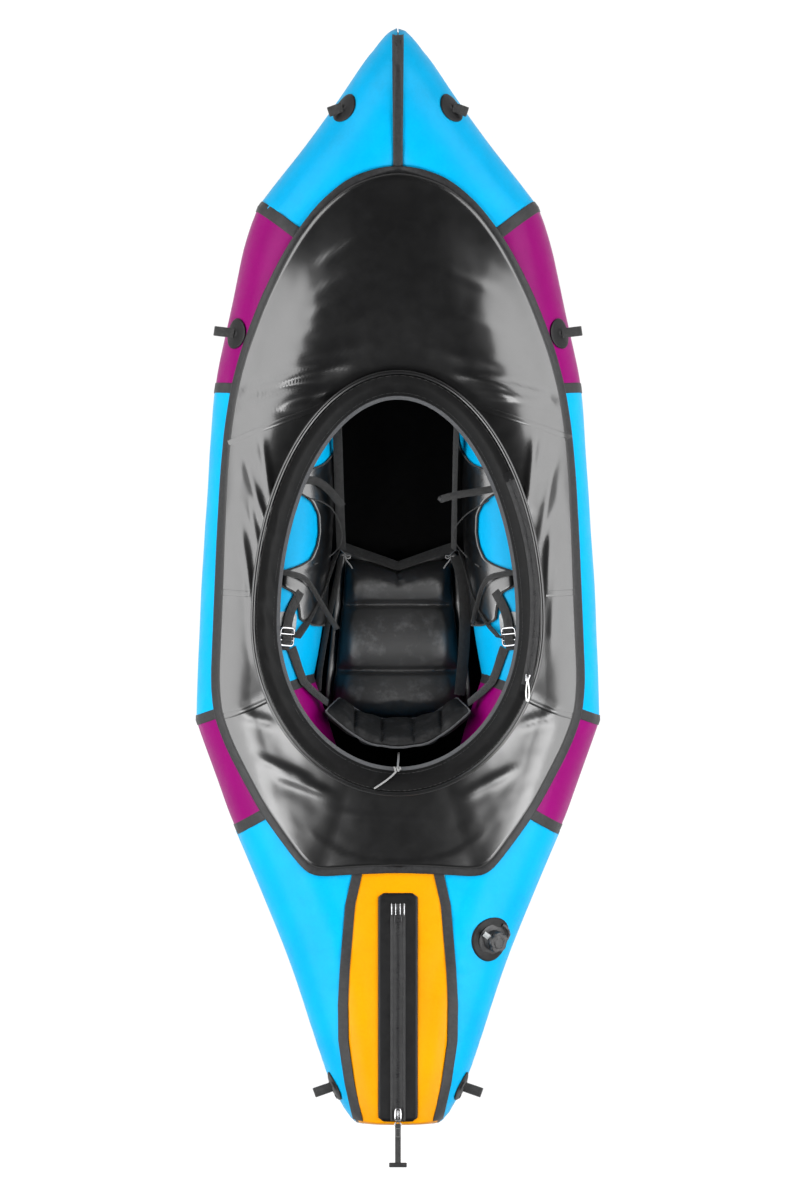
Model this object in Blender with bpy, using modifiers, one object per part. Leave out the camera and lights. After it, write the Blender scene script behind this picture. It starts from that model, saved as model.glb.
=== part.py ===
"""A one-person whitewater packraft, in metres, +Z up, bow towards +Y, starboard towards +X.

The origin is on the flat underside of the floor, below the middle of the hull.
"""
import math

import bmesh
import bpy
from mathutils import Matrix, Vector

# Hull sizes
HULL_LENGTH = 2.42
HULL_HALF_WIDTH = 0.451
TUBE_RADIUS = 0.14
SKIN = 0.0015
FLOOR_THICKNESS = 0.0015
SEAM_GAP = 0.0006
TOUCH_GAP = 0.0003
CENTRE_GAP = 0.002
TAPE_WIDTH = 0.022
TAPE_PROUD = 0.0006
LAYER_GAP = 0.0022
BOW_RISE_START = 0.35
BOW_RISE_BLEND = 0.4
BOW_RISE_SLOPE = 0.18
STERN_RISE_START = -0.42
STERN_RISE_BLEND = 0.2
STERN_RISE_SLOPE = 0.0725
STERN_TAPER_START = -0.62
STERN_END_RADIUS = 0.105
STERN_CROWN = 0.012
STERN_CROWN_WIDTH = 0.15
STERN_CORNER_DEPTH = 0.014
STERN_NARROW_START = -0.9
STERN_NARROW_END = 0.08

# Deck, coaming and zip sizes
DECK_THICKNESS = 0.0012
DECK_REAR_SHARE = -0.53471
DECK_CROWN = 0.02
OVAL_CENTRE_Y = -0.1
OPENING_HALF_WIDTH = 0.261
OPENING_FRONT = 0.493
OPENING_REAR = 0.3175
OPENING_HEIGHT = 0.316
COAMING_WIDTH = 0.061
COAMING_RISE = 0.026
COAMING_SHELF = 0.031
COAMING_THICKNESS = 0.0025
ROD_RADIUS = 0.0052
DECK_ZIP_INSET = 0.0205
DECK_ZIP_WIDTH = 0.0125
DECK_ZIP_THICKNESS = 0.0025
DECK_ZIP_FRONT_Y = 0.215
DECK_ZIP_REAR_Y = -0.235

SKIN_STEP = 0.002
DECK_ZIP_LIFT = 0.0006
DECK_ZIP_STEPS = 13
DECK_SLIDER_LENGTH = 0.016
DECK_SLIDER_WIDTH = 0.011
DECK_SLIDER_HEIGHT = 0.006
CORD_RADIUS = 0.0013
CORD_LOOP_LENGTH = 0.05
CORD_LOOP_WIDTH = 0.012
CORD_LOOP_STEPS = 16

# Cargo zip sizes
CARGO_PATCH_FRONT_SHARE = -0.5719
CARGO_PATCH_REAR_SHARE = -0.98678
CARGO_PATCH_WIDTH = 0.087
CARGO_PATCH_THICKNESS = 0.0008
CARGO_LIFT = 0.0027
CARGO_CHAIN_FRONT_SHARE = -0.59174
CARGO_CHAIN_REAR_SHARE = -0.98512
CARGO_CHAIN_WIDTH = 0.033
CARGO_CHAIN_THICKNESS = 0.003
CARGO_SLIDER_LENGTH = 0.03
CARGO_SLIDER_WIDTH = 0.018
CARGO_SLIDER_HEIGHT = 0.012
CARGO_PULL_GAP = 0.0006
CARGO_PULL_PIVOT = 0.0014
CARGO_STRAP_LENGTH = 0.095
CARGO_STRAP_WIDTH = 0.013
CARGO_STRAP_THICKNESS = 0.0024
CARGO_BAR_RADIUS = 0.0035
CARGO_BAR_LENGTH = 0.047

# Valve sizes
VALVE_X = 0.207
VALVE_Y = -0.797
VALVE_LIFT = 0.0004
VALVE_SKIRT_RADIUS = 0.0345
VALVE_SKIRT_THICKNESS = 0.002
VALVE_NECK_RADIUS = 0.0225
VALVE_NECK_HEIGHT = 0.012
VALVE_BORE_RADIUS = 0.0175
VALVE_SEAT_RADIUS = 0.011
VALVE_BARREL_RADIUS = 0.0215
VALVE_BARREL_DEPTH = 0.013
VALVE_WELL_RADIUS = 0.0185
VALVE_DISC_LAP = 0.0045
VALVE_DISC_THICKNESS = 0.002
VALVE_STEM_RADIUS = 0.004
VALVE_STEM_TOP = 0.009
VALVE_RUNNING_GAP = 0.0004
VALVE_COLLAR_THICKNESS = 0.002
VALVE_HUB_RADIUS = 0.015
VALVE_PLUG_LENGTH = 0.006
VALVE_CAP_RADIUS = 0.023
VALVE_CAP_HEIGHT = 0.012
VALVE_GRIPS = 5
VALVE_GRIP_RADIUS = 0.0075
VALVE_GRIP_DEPTH = 0.009
VALVE_GRIP_REACH = 0.0265
VALVE_HOLE_RADIUS = 0.0235
VALVE_STEPS = 20

# Grab loop sizes, and each pair's place: out and along as shares of the half width and half
# length, degrees that the loop stands up, and the patch's clearance as a share of the tube's radius
LOOP_PATCH_RADIUS = 0.034
LOOP_PATCH_STEPS = 16
LOOP_PATCH_RING_SHARES = ((0.4, 0), (1, 0), (1, 1), (0.4, 1))
LOOP_BEND_RADIUS = 0.13
LOOP_PATCH_THICKNESS = 0.0015
LOOP_ROOT_LIFT = 0.0003
LOOP_WIDTH = 0.016
LOOP_LENGTH = 0.047
LOOP_GAP = 0.012
LOOP_THICKNESS = 0.0016
LOOP_STEPS = 6
GRAB_LOOP_SHARES = (
    ("bow", 0.26164, 0.85124, 20, 0.00643),
    ("middle", 0.79379, 0.44628, 20, 0.01536),
    ("stern", 0.31707, -0.92975, 20, 0.00857),
)

# Seat sizes
PAD_RING_STEPS = 20
PAD_SQUARE = 0.62
SEAT_REAR_Y = -0.33
SEAT_FRONT_Y = 0.065
SEAT_REAR_HALF_WIDTH = 0.168
SEAT_FRONT_HALF_WIDTH = 0.128
SEAT_REAR_ROUND_SHARE = 0.22
SEAT_REAR_EDGE_SHARE = 0.68
SEAT_EDGE_SHARE = 0.35
SEAT_END_ROUND_SHARE = 0.12
SEAT_HEIGHT = 0.096
SEAT_FOOT = FLOOR_THICKNESS + TOUCH_GAP
SEAT_MIDDLE_SHARE = 0.5
SEAT_NOTCH = 0.045
SEAT_NOTCH_START_SHARE = 0.8
SEAT_CHANNEL_SHARES = (0.31646, 0.67722)
SEAT_CHANNEL_HALF = 0.028
SEAT_CHANNEL_DEPTH = 0.42
SEAT_CHANNEL_DRAW = 0.05
SEAT_ROW_SHARES = (
    0, 0.025, 0.06, 0.12, 0.18, 0.24, 0.28, 0.316, 0.35, 0.39, 0.45, 0.52, 0.59,
    0.64, 0.677, 0.71, 0.75, 0.81, 0.88, 0.94, 0.975, 1,
)

# Backband sizes: its edges run from left to right, as shares of the half width, the half length
# and the tube's radius
BAND_LOW_SHARES = (
    (-0.29933, -0.21983, 0.89286), (-0.15521, -0.25207, 0.84286), (0, -0.26116, 0.82857),
    (0.15521, -0.25207, 0.84286), (0.29933, -0.21983, 0.89286),
)
BAND_HIGH_SHARES = (
    (-0.36585, -0.24132, 1.82143), (-0.17738, -0.29587, 1.91429), (0, -0.30909, 1.94286),
    (0.17738, -0.29587, 1.91429), (0.36585, -0.24132, 1.82143),
)
BAND_ROW_SHARES = (
    0, 0.015, 0.05, 0.1, 0.16, 0.195, 0.215, 0.235, 0.28, 0.34, 0.375, 0.395, 0.415, 0.46,
    0.54, 0.585, 0.605, 0.625, 0.66, 0.72, 0.765, 0.785, 0.805, 0.84, 0.9, 0.95, 0.985, 1,
)
BAND_SEAM_SHARES = (0.215, 0.395, 0.605, 0.785)
BAND_SEAM_HALF = 0.03
BAND_SEAM_DEPTH = 0.45
BAND_END_SHARE = 0.06
BAND_EDGE_SHARE = 0.4
BAND_TAPER_SHARE = 0.75
BAND_STEP = 0.02
BAND_THICKNESS = 0.028
BAND_PIVOT_SHARES = (0, -0.22727, 1.35714)

# Backband straps and their buckles: places are a share of the half length, degrees round the
# tube and the clearance as a share of the tube's radius
STRAP_PLACE_SHARES = (
    (-0.23512, 160, 0.14836),
    (-0.20661, 150, 0.04286),
    (-0.16529, 134, 0.01857),
    (-0.1281, 123, 0.01071),
)
STRAP_STEPS = 9
STRAP_WIDTH = 0.024
STRAP_THICKNESS = 0.0018
BUCKLE_SHARE = -0.10711
BUCKLE_WIDTH = 0.038
BUCKLE_LENGTH = 0.044
BUCKLE_THICKNESS = 0.0045
BUCKLE_TURN = 116
BUCKLE_LIFT = 0.0006
BUCKLE_RING_SHARES = ((1, 1, 0), (0.63158, 0.63636, 0), (0.63158, 0.63636, 1), (1, 1, 1))

# Thigh brace sizes: along the half length, each place has the degrees that the brace reaches
BRACE_LOW_TURN = 198
BRACE_EDGE_SHARES = (
    (-0.05785, 152), (-0.04132, 132), (0, 128), (0.02479, 150), (0.07438, 168), (0.12397, 150),
    (0.14463, 128), (0.17355, 128), (0.18182, 140), (0.19421, 158), (0.22314, 150),
    (0.2438, 130), (0.2686, 128), (0.28512, 145),
)
BRACE_STEPS = 7
BRACE_LIFT = 0.0025
BRACE_THICKNESS = 0.003

# Cord behind the backband
REAR_CORD_RADIUS = 0.003
REAR_CORD_POINTS = (
    (0.004, -0.387, 0.215), (0.003, -0.42, 0.212), (0.0, -0.452, 0.2), (-0.012, -0.4765, 0.18),
    (-0.035, -0.4755, 0.165), (-0.056, -0.4665, 0.158),
)

# Angle steps round the tube
TUBE_STEPS = 20
DEG = math.pi / 180

# Outline of one side of the hull, bow to stern: how far along and how far out,
# as shares of the half length and the half width, and how far the tube's
# section is turned there, in degrees.
OUTLINE_SHARES = (
    (1.0, 0.004, 38), (0.9975, 0.036, 38), (0.989, 0.062, 38), (0.978, 0.091, 38),
    (0.955, 0.142, 38), (0.882, 0.273, 38), (0.808, 0.416, 38), (0.734, 0.576, 38),
    (0.681, 0.693, 38), (0.624, 0.749, 30), (0.513, 0.816, 18), (0.35, 0.911, 6),
    (0.181, 0.94, 0), (-0.04, 0.978, -3), (-0.262, 1.0, -20), (-0.463, 0.807, -32),
    (-0.594, 0.656, -20), (-0.705, 0.534, -12), (-0.816, 0.436, -6), (-0.926, 0.337, 0),
    (-0.963, 0.29, 0), (-0.982, 0.257, 0), (-1.0, 0.203, 0),
)
SHOULDER_SHARE = 0.681
FRONT_SEAM_SHARE = 0.35
REAR_SEAM_SHARE = -0.262
REAR_SHOULDER_SHARE = -0.463
FRONT_ROW_SHARES = (0.624, 0.513)
MIDDLE_ROW_SHARES = (0.181, -0.04, -0.115, -0.19)

# Edge of the stern's centre panel: along the hull, then out from the middle
CENTRE_PANEL_SHARES = (
    (-0.535, 0.197), (-0.594, 0.233), (-0.708, 0.259), (-0.775, 0.269),
    (-0.843, 0.267), (-0.92, 0.237), (-1.0, 0.19),
)

# Outer edge of the deck on one side, bow to stern: out, then along
DECK_EDGE_SHARES = (
    (0.0, 0.746), (0.125, 0.737), (0.247, 0.72), (0.386, 0.677), (0.505, 0.62),
    (0.579, 0.574), (0.663, 0.513), (0.76, 0.424), (0.816, 0.35), (0.851, 0.269),
    (0.871, 0.186), (0.888, 0.07), (0.9, -0.04), (0.916, -0.188), (0.902, -0.249),
    (0.841, -0.31), (0.757, -0.369), (0.678, -0.422), (0.651, -0.437),
    (0.534, -0.496), (0.43, -0.544),
)

HALF = HULL_LENGTH / 2
DECK_REAR_Y = DECK_REAR_SHARE * HALF
CARGO_PATCH_FRONT_Y = CARGO_PATCH_FRONT_SHARE * HALF
CARGO_PATCH_REAR_Y = CARGO_PATCH_REAR_SHARE * HALF
CARGO_CHAIN_FRONT_Y = CARGO_CHAIN_FRONT_SHARE * HALF
CARGO_CHAIN_REAR_Y = CARGO_CHAIN_REAR_SHARE * HALF
BASE_Z = FLOOR_THICKNESS + TOUCH_GAP + TAPE_PROUD + TUBE_RADIUS


def ramp(distance, blend, slope):
    """Nothing before zero, a straight slope after the blend, and a smooth curve between."""
    if distance <= 0:
        return 0.0
    if distance < blend:
        return slope * distance * distance / (2 * blend)
    return slope * (distance - blend / 2)


def rise(y):
    """How far the hull curves up from the ground towards its ends."""
    bow = ramp(y - BOW_RISE_START, BOW_RISE_BLEND, BOW_RISE_SLOPE)
    return bow + ramp(STERN_RISE_START - y, STERN_RISE_BLEND, STERN_RISE_SLOPE)


def half_height(y):
    """Half the hull's height, which tapers along the stern and rounds off at its end."""
    share = min(max((STERN_TAPER_START - y) / (STERN_TAPER_START + HALF), 0), 1)
    height = TUBE_RADIUS + (STERN_END_RADIUS - TUBE_RADIUS) * share
    corner = min(max((STERN_CORNER_DEPTH - HALF - y) / STERN_CORNER_DEPTH, 0), 1)
    return height * math.sqrt(max(1 - corner * corner, 0))


def mid_height(y):
    return BASE_Z + rise(y)


def keel(y):
    """Height of the hull's lowest line."""
    share = min(max((STERN_TAPER_START - y) / (STERN_TAPER_START + HALF), 0), 1)
    taper = (TUBE_RADIUS - STERN_END_RADIUS) * share
    return mid_height(y) - TUBE_RADIUS + taper


def outline(y):
    """(half width, turn of the section in radians) of the hull at an outer point."""
    share = min(max(y / HALF, -1.0), 1.0)
    for (y0, w0, a0), (y1, w1, a1) in zip(OUTLINE_SHARES, OUTLINE_SHARES[1:]):
        if share >= y1:
            part = (share - y0) / (y1 - y0)
            width = w0 + (w1 - w0) * part
            return width * HULL_HALF_WIDTH, (a0 + (a1 - a0) * part) * DEG
    return OUTLINE_SHARES[-1][1] * HULL_HALF_WIDTH, 0.0


def between(points, key):
    """The second value of a list of pairs, read at a first value between them."""
    ordered = sorted(points)
    if key <= ordered[0][0]:
        return ordered[0][1]
    for (k0, v0), (k1, v1) in zip(ordered, ordered[1:]):
        if key <= k1:
            return v0 + (v1 - v0) * (key - k0) / (k1 - k0)
    return ordered[-1][1]


def panel_edge(y):
    """Half width of the stern's centre panel."""
    return between(CENTRE_PANEL_SHARES, y / HALF) * HULL_HALF_WIDTH


def turn_centre():
    """Where the stern's inner wall turns about, and the radius of its crown line."""
    y = REAR_SHOULDER_SHARE * HALF
    width, angle = outline(y)
    reach = width / math.cos(angle)
    return y - reach * math.sin(angle), reach - TUBE_RADIUS


TURN_Y, TURN_RADIUS = turn_centre()


def tube_point(side, y_out, phi, proud=0.0, along=0.0):
    """A point on the tube: phi is 0 at its outermost line and 90 degrees at its crown."""
    angle = outline(y_out)[1]
    width = outline(y_out + along)[0]
    across = TUBE_RADIUS * (1 - math.cos(phi)) - proud * math.cos(phi)
    y = y_out - across * math.sin(angle) + along
    height = half_height(y) + proud
    x = side * (width - across * math.cos(angle))
    return Vector((x, y, mid_height(y) + height * math.sin(phi)))


def tube_frame(side, y_out, phi):
    """A point on the tube with its outward normal, the way round it and the way along it."""
    step = 0.01
    here = tube_point(side, y_out, phi)
    around = (tube_point(side, y_out, phi + step) - here).normalized()
    along = (tube_point(side, y_out + step * TUBE_RADIUS, phi) - here).normalized()
    normal = along.cross(around) * side
    return here, normal.normalized(), around, along


def cut_angle(y_out):
    """How far round the tube a section goes before it meets the boat's middle plane."""
    width, angle = outline(y_out)
    cosine = 1 - (width - CENTRE_GAP) / (TUBE_RADIUS * math.cos(angle))
    return math.acos(min(max(cosine, -1.0), 1.0)) if cosine > -1 else math.pi * 0.995


def section_at(x, y):
    """(outer point's y, distance in from it) of the section line through a place."""
    low, high = -HALF, HALF
    for _ in range(40):
        y_out = (low + high) / 2
        width, angle = outline(y_out)
        if y_out - (width - abs(x)) * math.tan(angle) > y:
            high = y_out
        else:
            low = y_out
    width, angle = outline(y_out)
    return y_out, (width - abs(x)) / math.cos(angle)


def stern_top(x, y, reach, width):
    """Height above the middle line of the wide stern, across from its outer point."""
    narrow = min(max((STERN_NARROW_START - y) / (STERN_NARROW_START + HALF), 0), 1)
    radius = TUBE_RADIUS + (STERN_NARROW_END - TUBE_RADIUS) * narrow
    if reach < radius:
        return half_height(y) * math.sqrt(max(1 - (1 - reach / radius) ** 2, 0))
    crown_x = max(width - radius, CENTRE_GAP)
    bulge = STERN_CROWN * crown_x / STERN_CROWN_WIDTH
    return half_height(y) + bulge * max(1 - (x / crown_x) ** 2, 0)


def hull_top(x, y):
    """Height of the hull's upper surface at a place, or of its middle line where it has none."""
    y_out, reach = section_at(x, y)
    width, angle = outline(y_out)
    middle = mid_height(y)
    if reach <= 0:
        return middle
    behind = math.hypot(x, y - TURN_Y) >= TURN_RADIUS and y < TURN_Y
    if behind and y_out < REAR_SHOULDER_SHARE * HALF:
        return middle + stern_top(abs(x), y, reach, width)
    if y < TURN_Y and y_out < REAR_SHOULDER_SHARE * HALF:
        inside = TURN_RADIUS - math.hypot(x, y - TURN_Y)
        share = min(inside / TUBE_RADIUS, 1)
        return middle + half_height(y) * math.sqrt(1 - share * share)
    cosine = 1 - reach / TUBE_RADIUS
    if abs(cosine) >= 1:
        return middle
    return middle + half_height(y) * math.sqrt(1 - cosine * cosine)


def skin_frame(x, y):
    """(point, normal, around, along) of the hull's upper surface at a place seen from above."""
    step = SKIN_STEP
    across = (hull_top(x + step, y) - hull_top(x - step, y)) / (2 * step)
    ahead = (hull_top(x, y + step) - hull_top(x, y - step)) / (2 * step)
    normal = Vector((-across, -ahead, 1)).normalized()
    angle = outline(section_at(x, y)[0])[1]
    side = 1 if x > 0 else -1
    outward = Vector((side * math.cos(angle), math.sin(angle), 0))
    along = normal.cross(outward).normalized() * side
    return Vector((x, y, hull_top(x, y))), normal, along.cross(normal) * side, along


def finish(name, colour, roughness, metallic=0.0):
    """A plain material for one kind of surface."""
    material = bpy.data.materials.new(name)
    material.use_nodes = True
    shader = material.node_tree.nodes["Principled BSDF"]
    shader.inputs["Base Color"].default_value = (*colour, 1)
    shader.inputs["Roughness"].default_value = roughness
    shader.inputs["Metallic"].default_value = metallic
    return material


def start_scene():
    """Clears the scene and makes the collections for the parts and the cutters."""
    for old in list(bpy.data.objects):
        bpy.data.objects.remove(old)
    made = []
    for name in ("packraft", "cutters"):
        group = bpy.data.collections.new(name)
        bpy.context.scene.collection.children.link(group)
        made.append(group)
    return made


PARTS, CUTTERS = start_scene()
BLUE = finish("hull_blue", (0.0, 0.5, 0.91), 0.35)
MAGENTA = finish("hull_magenta", (0.37, 0.006, 0.24), 0.35)
ORANGE = finish("hull_orange", (0.91, 0.4, 0.0), 0.35)
TAPE = finish("seam_tape", (0.05, 0.05, 0.05), 0.5)
DECK_FINISH = finish("deck_fabric", (0.008, 0.008, 0.008), 0.25)
WEB = finish("webbing", (0.015, 0.015, 0.015), 0.8)
PLASTIC = finish("black_plastic", (0.012, 0.012, 0.012), 0.4)
METAL = finish("silver_metal", (0.7, 0.7, 0.7), 0.25, 1.0)
GREY = finish("grey_binding", (0.12, 0.12, 0.12), 0.7)
WHITE = finish("white_cord", (0.7, 0.7, 0.7), 0.8)


def add_object(name, mesh, material, group=None):
    """Puts a mesh in the scene as one smooth-shaded object."""
    made = bpy.data.objects.new(name, mesh)
    (group or PARTS).objects.link(made)
    made.data.materials.append(material)
    mesh.shade_smooth()
    mesh.set_sharp_from_angle(angle=math.radians(40))
    return made


def sheet(name, rows, thickness, material, ring=False, loop=False, flip=False):
    """A grid of points as a skin with thickness: ring closes each row, loop closes the rows."""
    work = bmesh.new()
    grid = [[work.verts.new(point) for point in row] for row in rows]
    across = len(grid[0])
    for i in range(len(grid) if loop else len(grid) - 1):
        below, above = grid[i], grid[(i + 1) % len(grid)]
        for j in range(across if ring else across - 1):
            after = (j + 1) % across
            corners = [below[j], below[after], above[after], above[j]]
            work.faces.new(corners[::-1] if flip else corners)
    mesh = bpy.data.meshes.new(name)
    work.to_mesh(mesh)
    work.free()
    made = add_object(name, mesh, material)
    solidify = made.modifiers.new("thickness", "SOLIDIFY")
    solidify.thickness = thickness
    solidify.offset = -1
    return made


def loft(name, loops, material, closed=False, group=None):
    """A solid through closed loops of points, capped at both ends unless it closes on itself."""
    work = bmesh.new()
    rings = [[work.verts.new(point) for point in loop] for loop in loops]
    count = len(rings[0])
    for i in range(len(rings) if closed else len(rings) - 1):
        below, above = rings[i], rings[(i + 1) % len(rings)]
        for j in range(count):
            after = (j + 1) % count
            work.faces.new((below[j], below[after], above[after], above[j]))
    if not closed:
        work.faces.new(rings[0][::-1])
        work.faces.new(rings[-1])
    bmesh.ops.recalc_face_normals(work, faces=work.faces)
    mesh = bpy.data.meshes.new(name)
    work.to_mesh(mesh)
    work.free()
    return add_object(name, mesh, material, group)


def ribbon(name, path, across, width, thickness, material, closed=False, group=None):
    """A strap of even width and thickness along a path; across is the way its width lies."""
    loops = []
    count = len(path)
    for i, point in enumerate(path):
        before = path[(i - 1) % count] if closed or i else point
        after = path[(i + 1) % count] if closed or i < count - 1 else point
        along = (after - before).normalized()
        side = (across - along * across.dot(along)).normalized()
        up = side.cross(along).normalized()
        loops.append([
            point + side * (width / 2 * a) + up * (thickness / 2 * b)
            for a, b in ((-1, -1), (1, -1), (1, 1), (-1, 1))
        ])
    return loft(name, loops, material, closed, group)


def tube_along(name, points, radius, material, resolution=2, cyclic=False):
    """A round tube along a line of points."""
    curve = bpy.data.curves.new(name, "CURVE")
    curve.dimensions = "3D"
    curve.bevel_depth = radius
    curve.bevel_resolution = resolution
    curve.use_fill_caps = True
    spline = curve.splines.new("POLY")
    spline.points.add(len(points) - 1)
    for control, point in zip(spline.points, points):
        control.co = (*point, 1)
    spline.use_cyclic_u = cyclic
    made = bpy.data.objects.new(name, curve)
    PARTS.objects.link(made)
    curve.materials.append(material)
    return made


def turned(name, profile, material, steps, place=None, group=None):
    """A turned solid from (radius, height) points, the outer side running top to bottom."""
    mesh = bpy.data.meshes.new(name)
    points = [(radius, 0.0, height) for radius, height in profile]
    count = len(points)
    mesh.from_pydata(points, [(i, (i + 1) % count) for i in range(count)], [])
    made = add_object(name, mesh, material, group)
    screw = made.modifiers.new("turn", "SCREW")
    screw.steps = steps
    screw.render_steps = steps
    screw.use_merge_vertices = True
    screw.merge_threshold = 0.00001
    screw.use_smooth_shade = False
    if place:
        made.matrix_world = place
    return made


def facing(point, normal, along):
    """A placing matrix whose Z is a normal and whose Y lies along the hull."""
    z_axis = normal.normalized()
    x_axis = along.cross(z_axis).normalized()
    y_axis = z_axis.cross(x_axis)
    turn = Matrix((x_axis, y_axis, z_axis)).transposed().to_4x4()
    return Matrix.Translation(point) @ turn


def put_pivot(made, point):
    """Moves an object's origin to a joint's axis without moving its shape."""
    made.data.transform(Matrix.Translation(-Vector(point)))
    made.location = point


def side_name(side):
    return "left" if side < 0 else "right"


def spread(first, last, count):
    return [first + (last - first) * i / (count - 1) for i in range(count)]


# The hull's panels, seam tapes and floor

BOW_ROW_SHARES = (0.999, 0.9975, 0.989, 0.978, 0.955, 0.882, 0.808, 0.776, 0.734)
STERN_ROW_SHARES = (-0.51, -0.55, -0.594, -0.65, -0.705, -0.76, -0.816, -0.87, -0.926, -0.963)
STERN_STEPS = 7
WALL_STEPS = 10
STERN_TAPE_STEPS = 12
STERN_TAPE_END_SHARE = -0.975
WALL_TURNS = 13
WALL_START = 92
NOSE_STEPS = 8
NOSE_TURN = 33
NOSE_SLOPE = 1.0
BOW_TAPE_LIFT = 0.003
BOW_TAPE_SHARES = (0.846, 0.882, 0.92, 0.955, 0.978, 0.989)
FLOOR_OVERLAP = 0.02
FLOOR_STEPS = 8
FLOOR_ROW_SHARES = (
    0.82, 0.76, 0.7, 0.62, 0.54, 0.46, 0.37, 0.27, 0.1, -0.1, -0.27, -0.36, -0.43, -0.5,
    -0.58, -0.68, -0.8, -0.92, -0.97,
)
SEAM_CLEARANCE = TAPE_WIDTH / 2 + SEAM_GAP
LEAST_REACH = 0.004
EDGE_CLEARANCE = TAPE_WIDTH / 2 + LAYER_GAP
PANEL_GAP = 0.0012


def circle_angles(count):
    return [2 * math.pi * i / count for i in range(count)]


def ring_row(side, y_out, along=0.0, proud=0.0):
    return [tube_point(side, y_out, phi, proud, along) for phi in circle_angles(TUBE_STEPS)]


def side_panel(name, side, front_share, rear_share, middle_shares, material):
    """One length of tube between two seams, open at both ends."""
    front, rear = front_share * HALF, rear_share * HALF
    rows = [ring_row(side, front, -SEAM_CLEARANCE)]
    rows += [ring_row(side, share * HALF) for share in middle_shares]
    rows.append(ring_row(side, rear, SEAM_CLEARANCE))
    sheet(f"{name}_{side_name(side)}", rows, SKIN, material, ring=True, flip=side < 0)


def seam_tape(name, side, share):
    """A band of tape round the tube, filling the seam between two panels."""
    rows = [
        ring_row(side, share * HALF, offset, TAPE_PROUD)
        for offset in (TAPE_WIDTH / 2, -TAPE_WIDTH / 2)
    ]
    thickness = SKIN + TAPE_PROUD
    sheet(f"{name}_{side_name(side)}", rows, thickness, TAPE, ring=True, flip=side < 0)


def bow_panel(side):
    """The tapering end of a side tube, cut where it meets the other side."""
    rows = []
    for share in BOW_ROW_SHARES:
        limit = cut_angle(share * HALF)
        rows.append([
            tube_point(side, share * HALF, limit * (2 * i / TUBE_STEPS - 1))
            for i in range(TUBE_STEPS + 1)
        ])
    limit = math.pi * 0.995
    rows.append([
        tube_point(side, SHOULDER_SHARE * HALF, limit * (2 * i / TUBE_STEPS - 1),
                   along=SEAM_CLEARANCE)
        for i in range(TUBE_STEPS + 1)
    ])
    sheet(f"bow_panel_{side_name(side)}", rows, SKIN, BLUE, flip=side < 0)


def stern_reach(y_out, top):
    """How far in from its outer point a stern section runs, on top or underneath."""
    width, angle = outline(y_out)
    run_x, run_y = -math.cos(angle), -math.sin(angle)
    start_y = y_out - TURN_Y
    dot = width * run_x + start_y * run_y
    turn_radius = TURN_RADIUS + LAYER_GAP
    spare = dot * dot - (width * width + start_y * start_y - turn_radius ** 2)
    reach = (width - CENTRE_GAP) / math.cos(angle)
    if spare > 0:
        reach = min(reach, -dot - math.sqrt(spare))
    if top:
        inner = reach
        for _ in range(6):
            edge = panel_edge(y_out + inner * run_y) + EDGE_CLEARANCE
            inner = (width - edge) / math.cos(angle)
        reach = min(reach, inner)
    return max(reach - SEAM_GAP, LEAST_REACH)


def stern_row(side, y_out, along=0.0):
    """A section of the stern from its upper edge round to its lower edge."""
    angle = outline(y_out)[1]
    width = outline(y_out + along)[0]
    row = []
    for top in (True, False):
        limit = stern_reach(y_out, top)
        angles = [90 * DEG * (1 - i / STERN_STEPS) for i in range(STERN_STEPS + 1)]
        for turn in angles if top else angles[-2::-1]:
            reach = limit * (1 - math.cos(turn))
            x = width - reach * math.cos(angle)
            y = y_out - reach * math.sin(angle) + along
            height = stern_top(x, y, reach, width)
            if not top:
                height = -min(height, half_height(y))
            row.append(Vector((side * x, y, mid_height(y) + height)))
    return row


def stern_panel(side):
    """One side of the stern: its top, flank and underside, up to the centre panel."""
    rows = [stern_row(side, REAR_SHOULDER_SHARE * HALF, -SEAM_CLEARANCE)]
    rows += [stern_row(side, share * HALF) for share in STERN_ROW_SHARES]
    rows += [stern_row(side, y) for y in stern_end_rows()]
    sheet(f"stern_panel_{side_name(side)}", rows, SKIN, BLUE, flip=side > 0)


def stern_end_rows():
    """Places along the last stretch, where the stern rounds over to its end seam."""
    return [
        -HALF + STERN_CORNER_DEPTH * (1 - math.sin(turn * DEG)) for turn in (0, 35, 65, 88)
    ]


def centre_row(y, arc=False):
    """A row across the stern's centre panel; the front one follows the crown line."""
    edge = panel_edge(y) - TAPE_WIDTH / 2 - PANEL_GAP
    row = []
    for x in spread(-edge, edge, 9):
        here = y
        if arc:
            here = TURN_Y - math.sqrt(TURN_RADIUS ** 2 - x * x) - SEAM_GAP
        y_out, reach = section_at(x, here)
        height = stern_top(abs(x), here, reach, outline(y_out)[0])
        row.append(Vector((x, here, mid_height(here) + height)))
    return row


def stern_centre_panel():
    """The panel along the top of the stern that carries the cargo zip."""
    first = -math.sqrt(TURN_RADIUS ** 2 - panel_edge(DECK_REAR_Y) ** 2) + TURN_Y
    rows = [centre_row(first, arc=True)]
    rows += [centre_row(share * HALF) for share in (-0.55, -0.62, -0.705, -0.816, -0.926)]
    rows += [centre_row(y) for y in (-0.963 * HALF, *stern_end_rows())]
    sheet("stern_centre_panel", rows, SKIN, ORANGE, flip=True)


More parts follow.
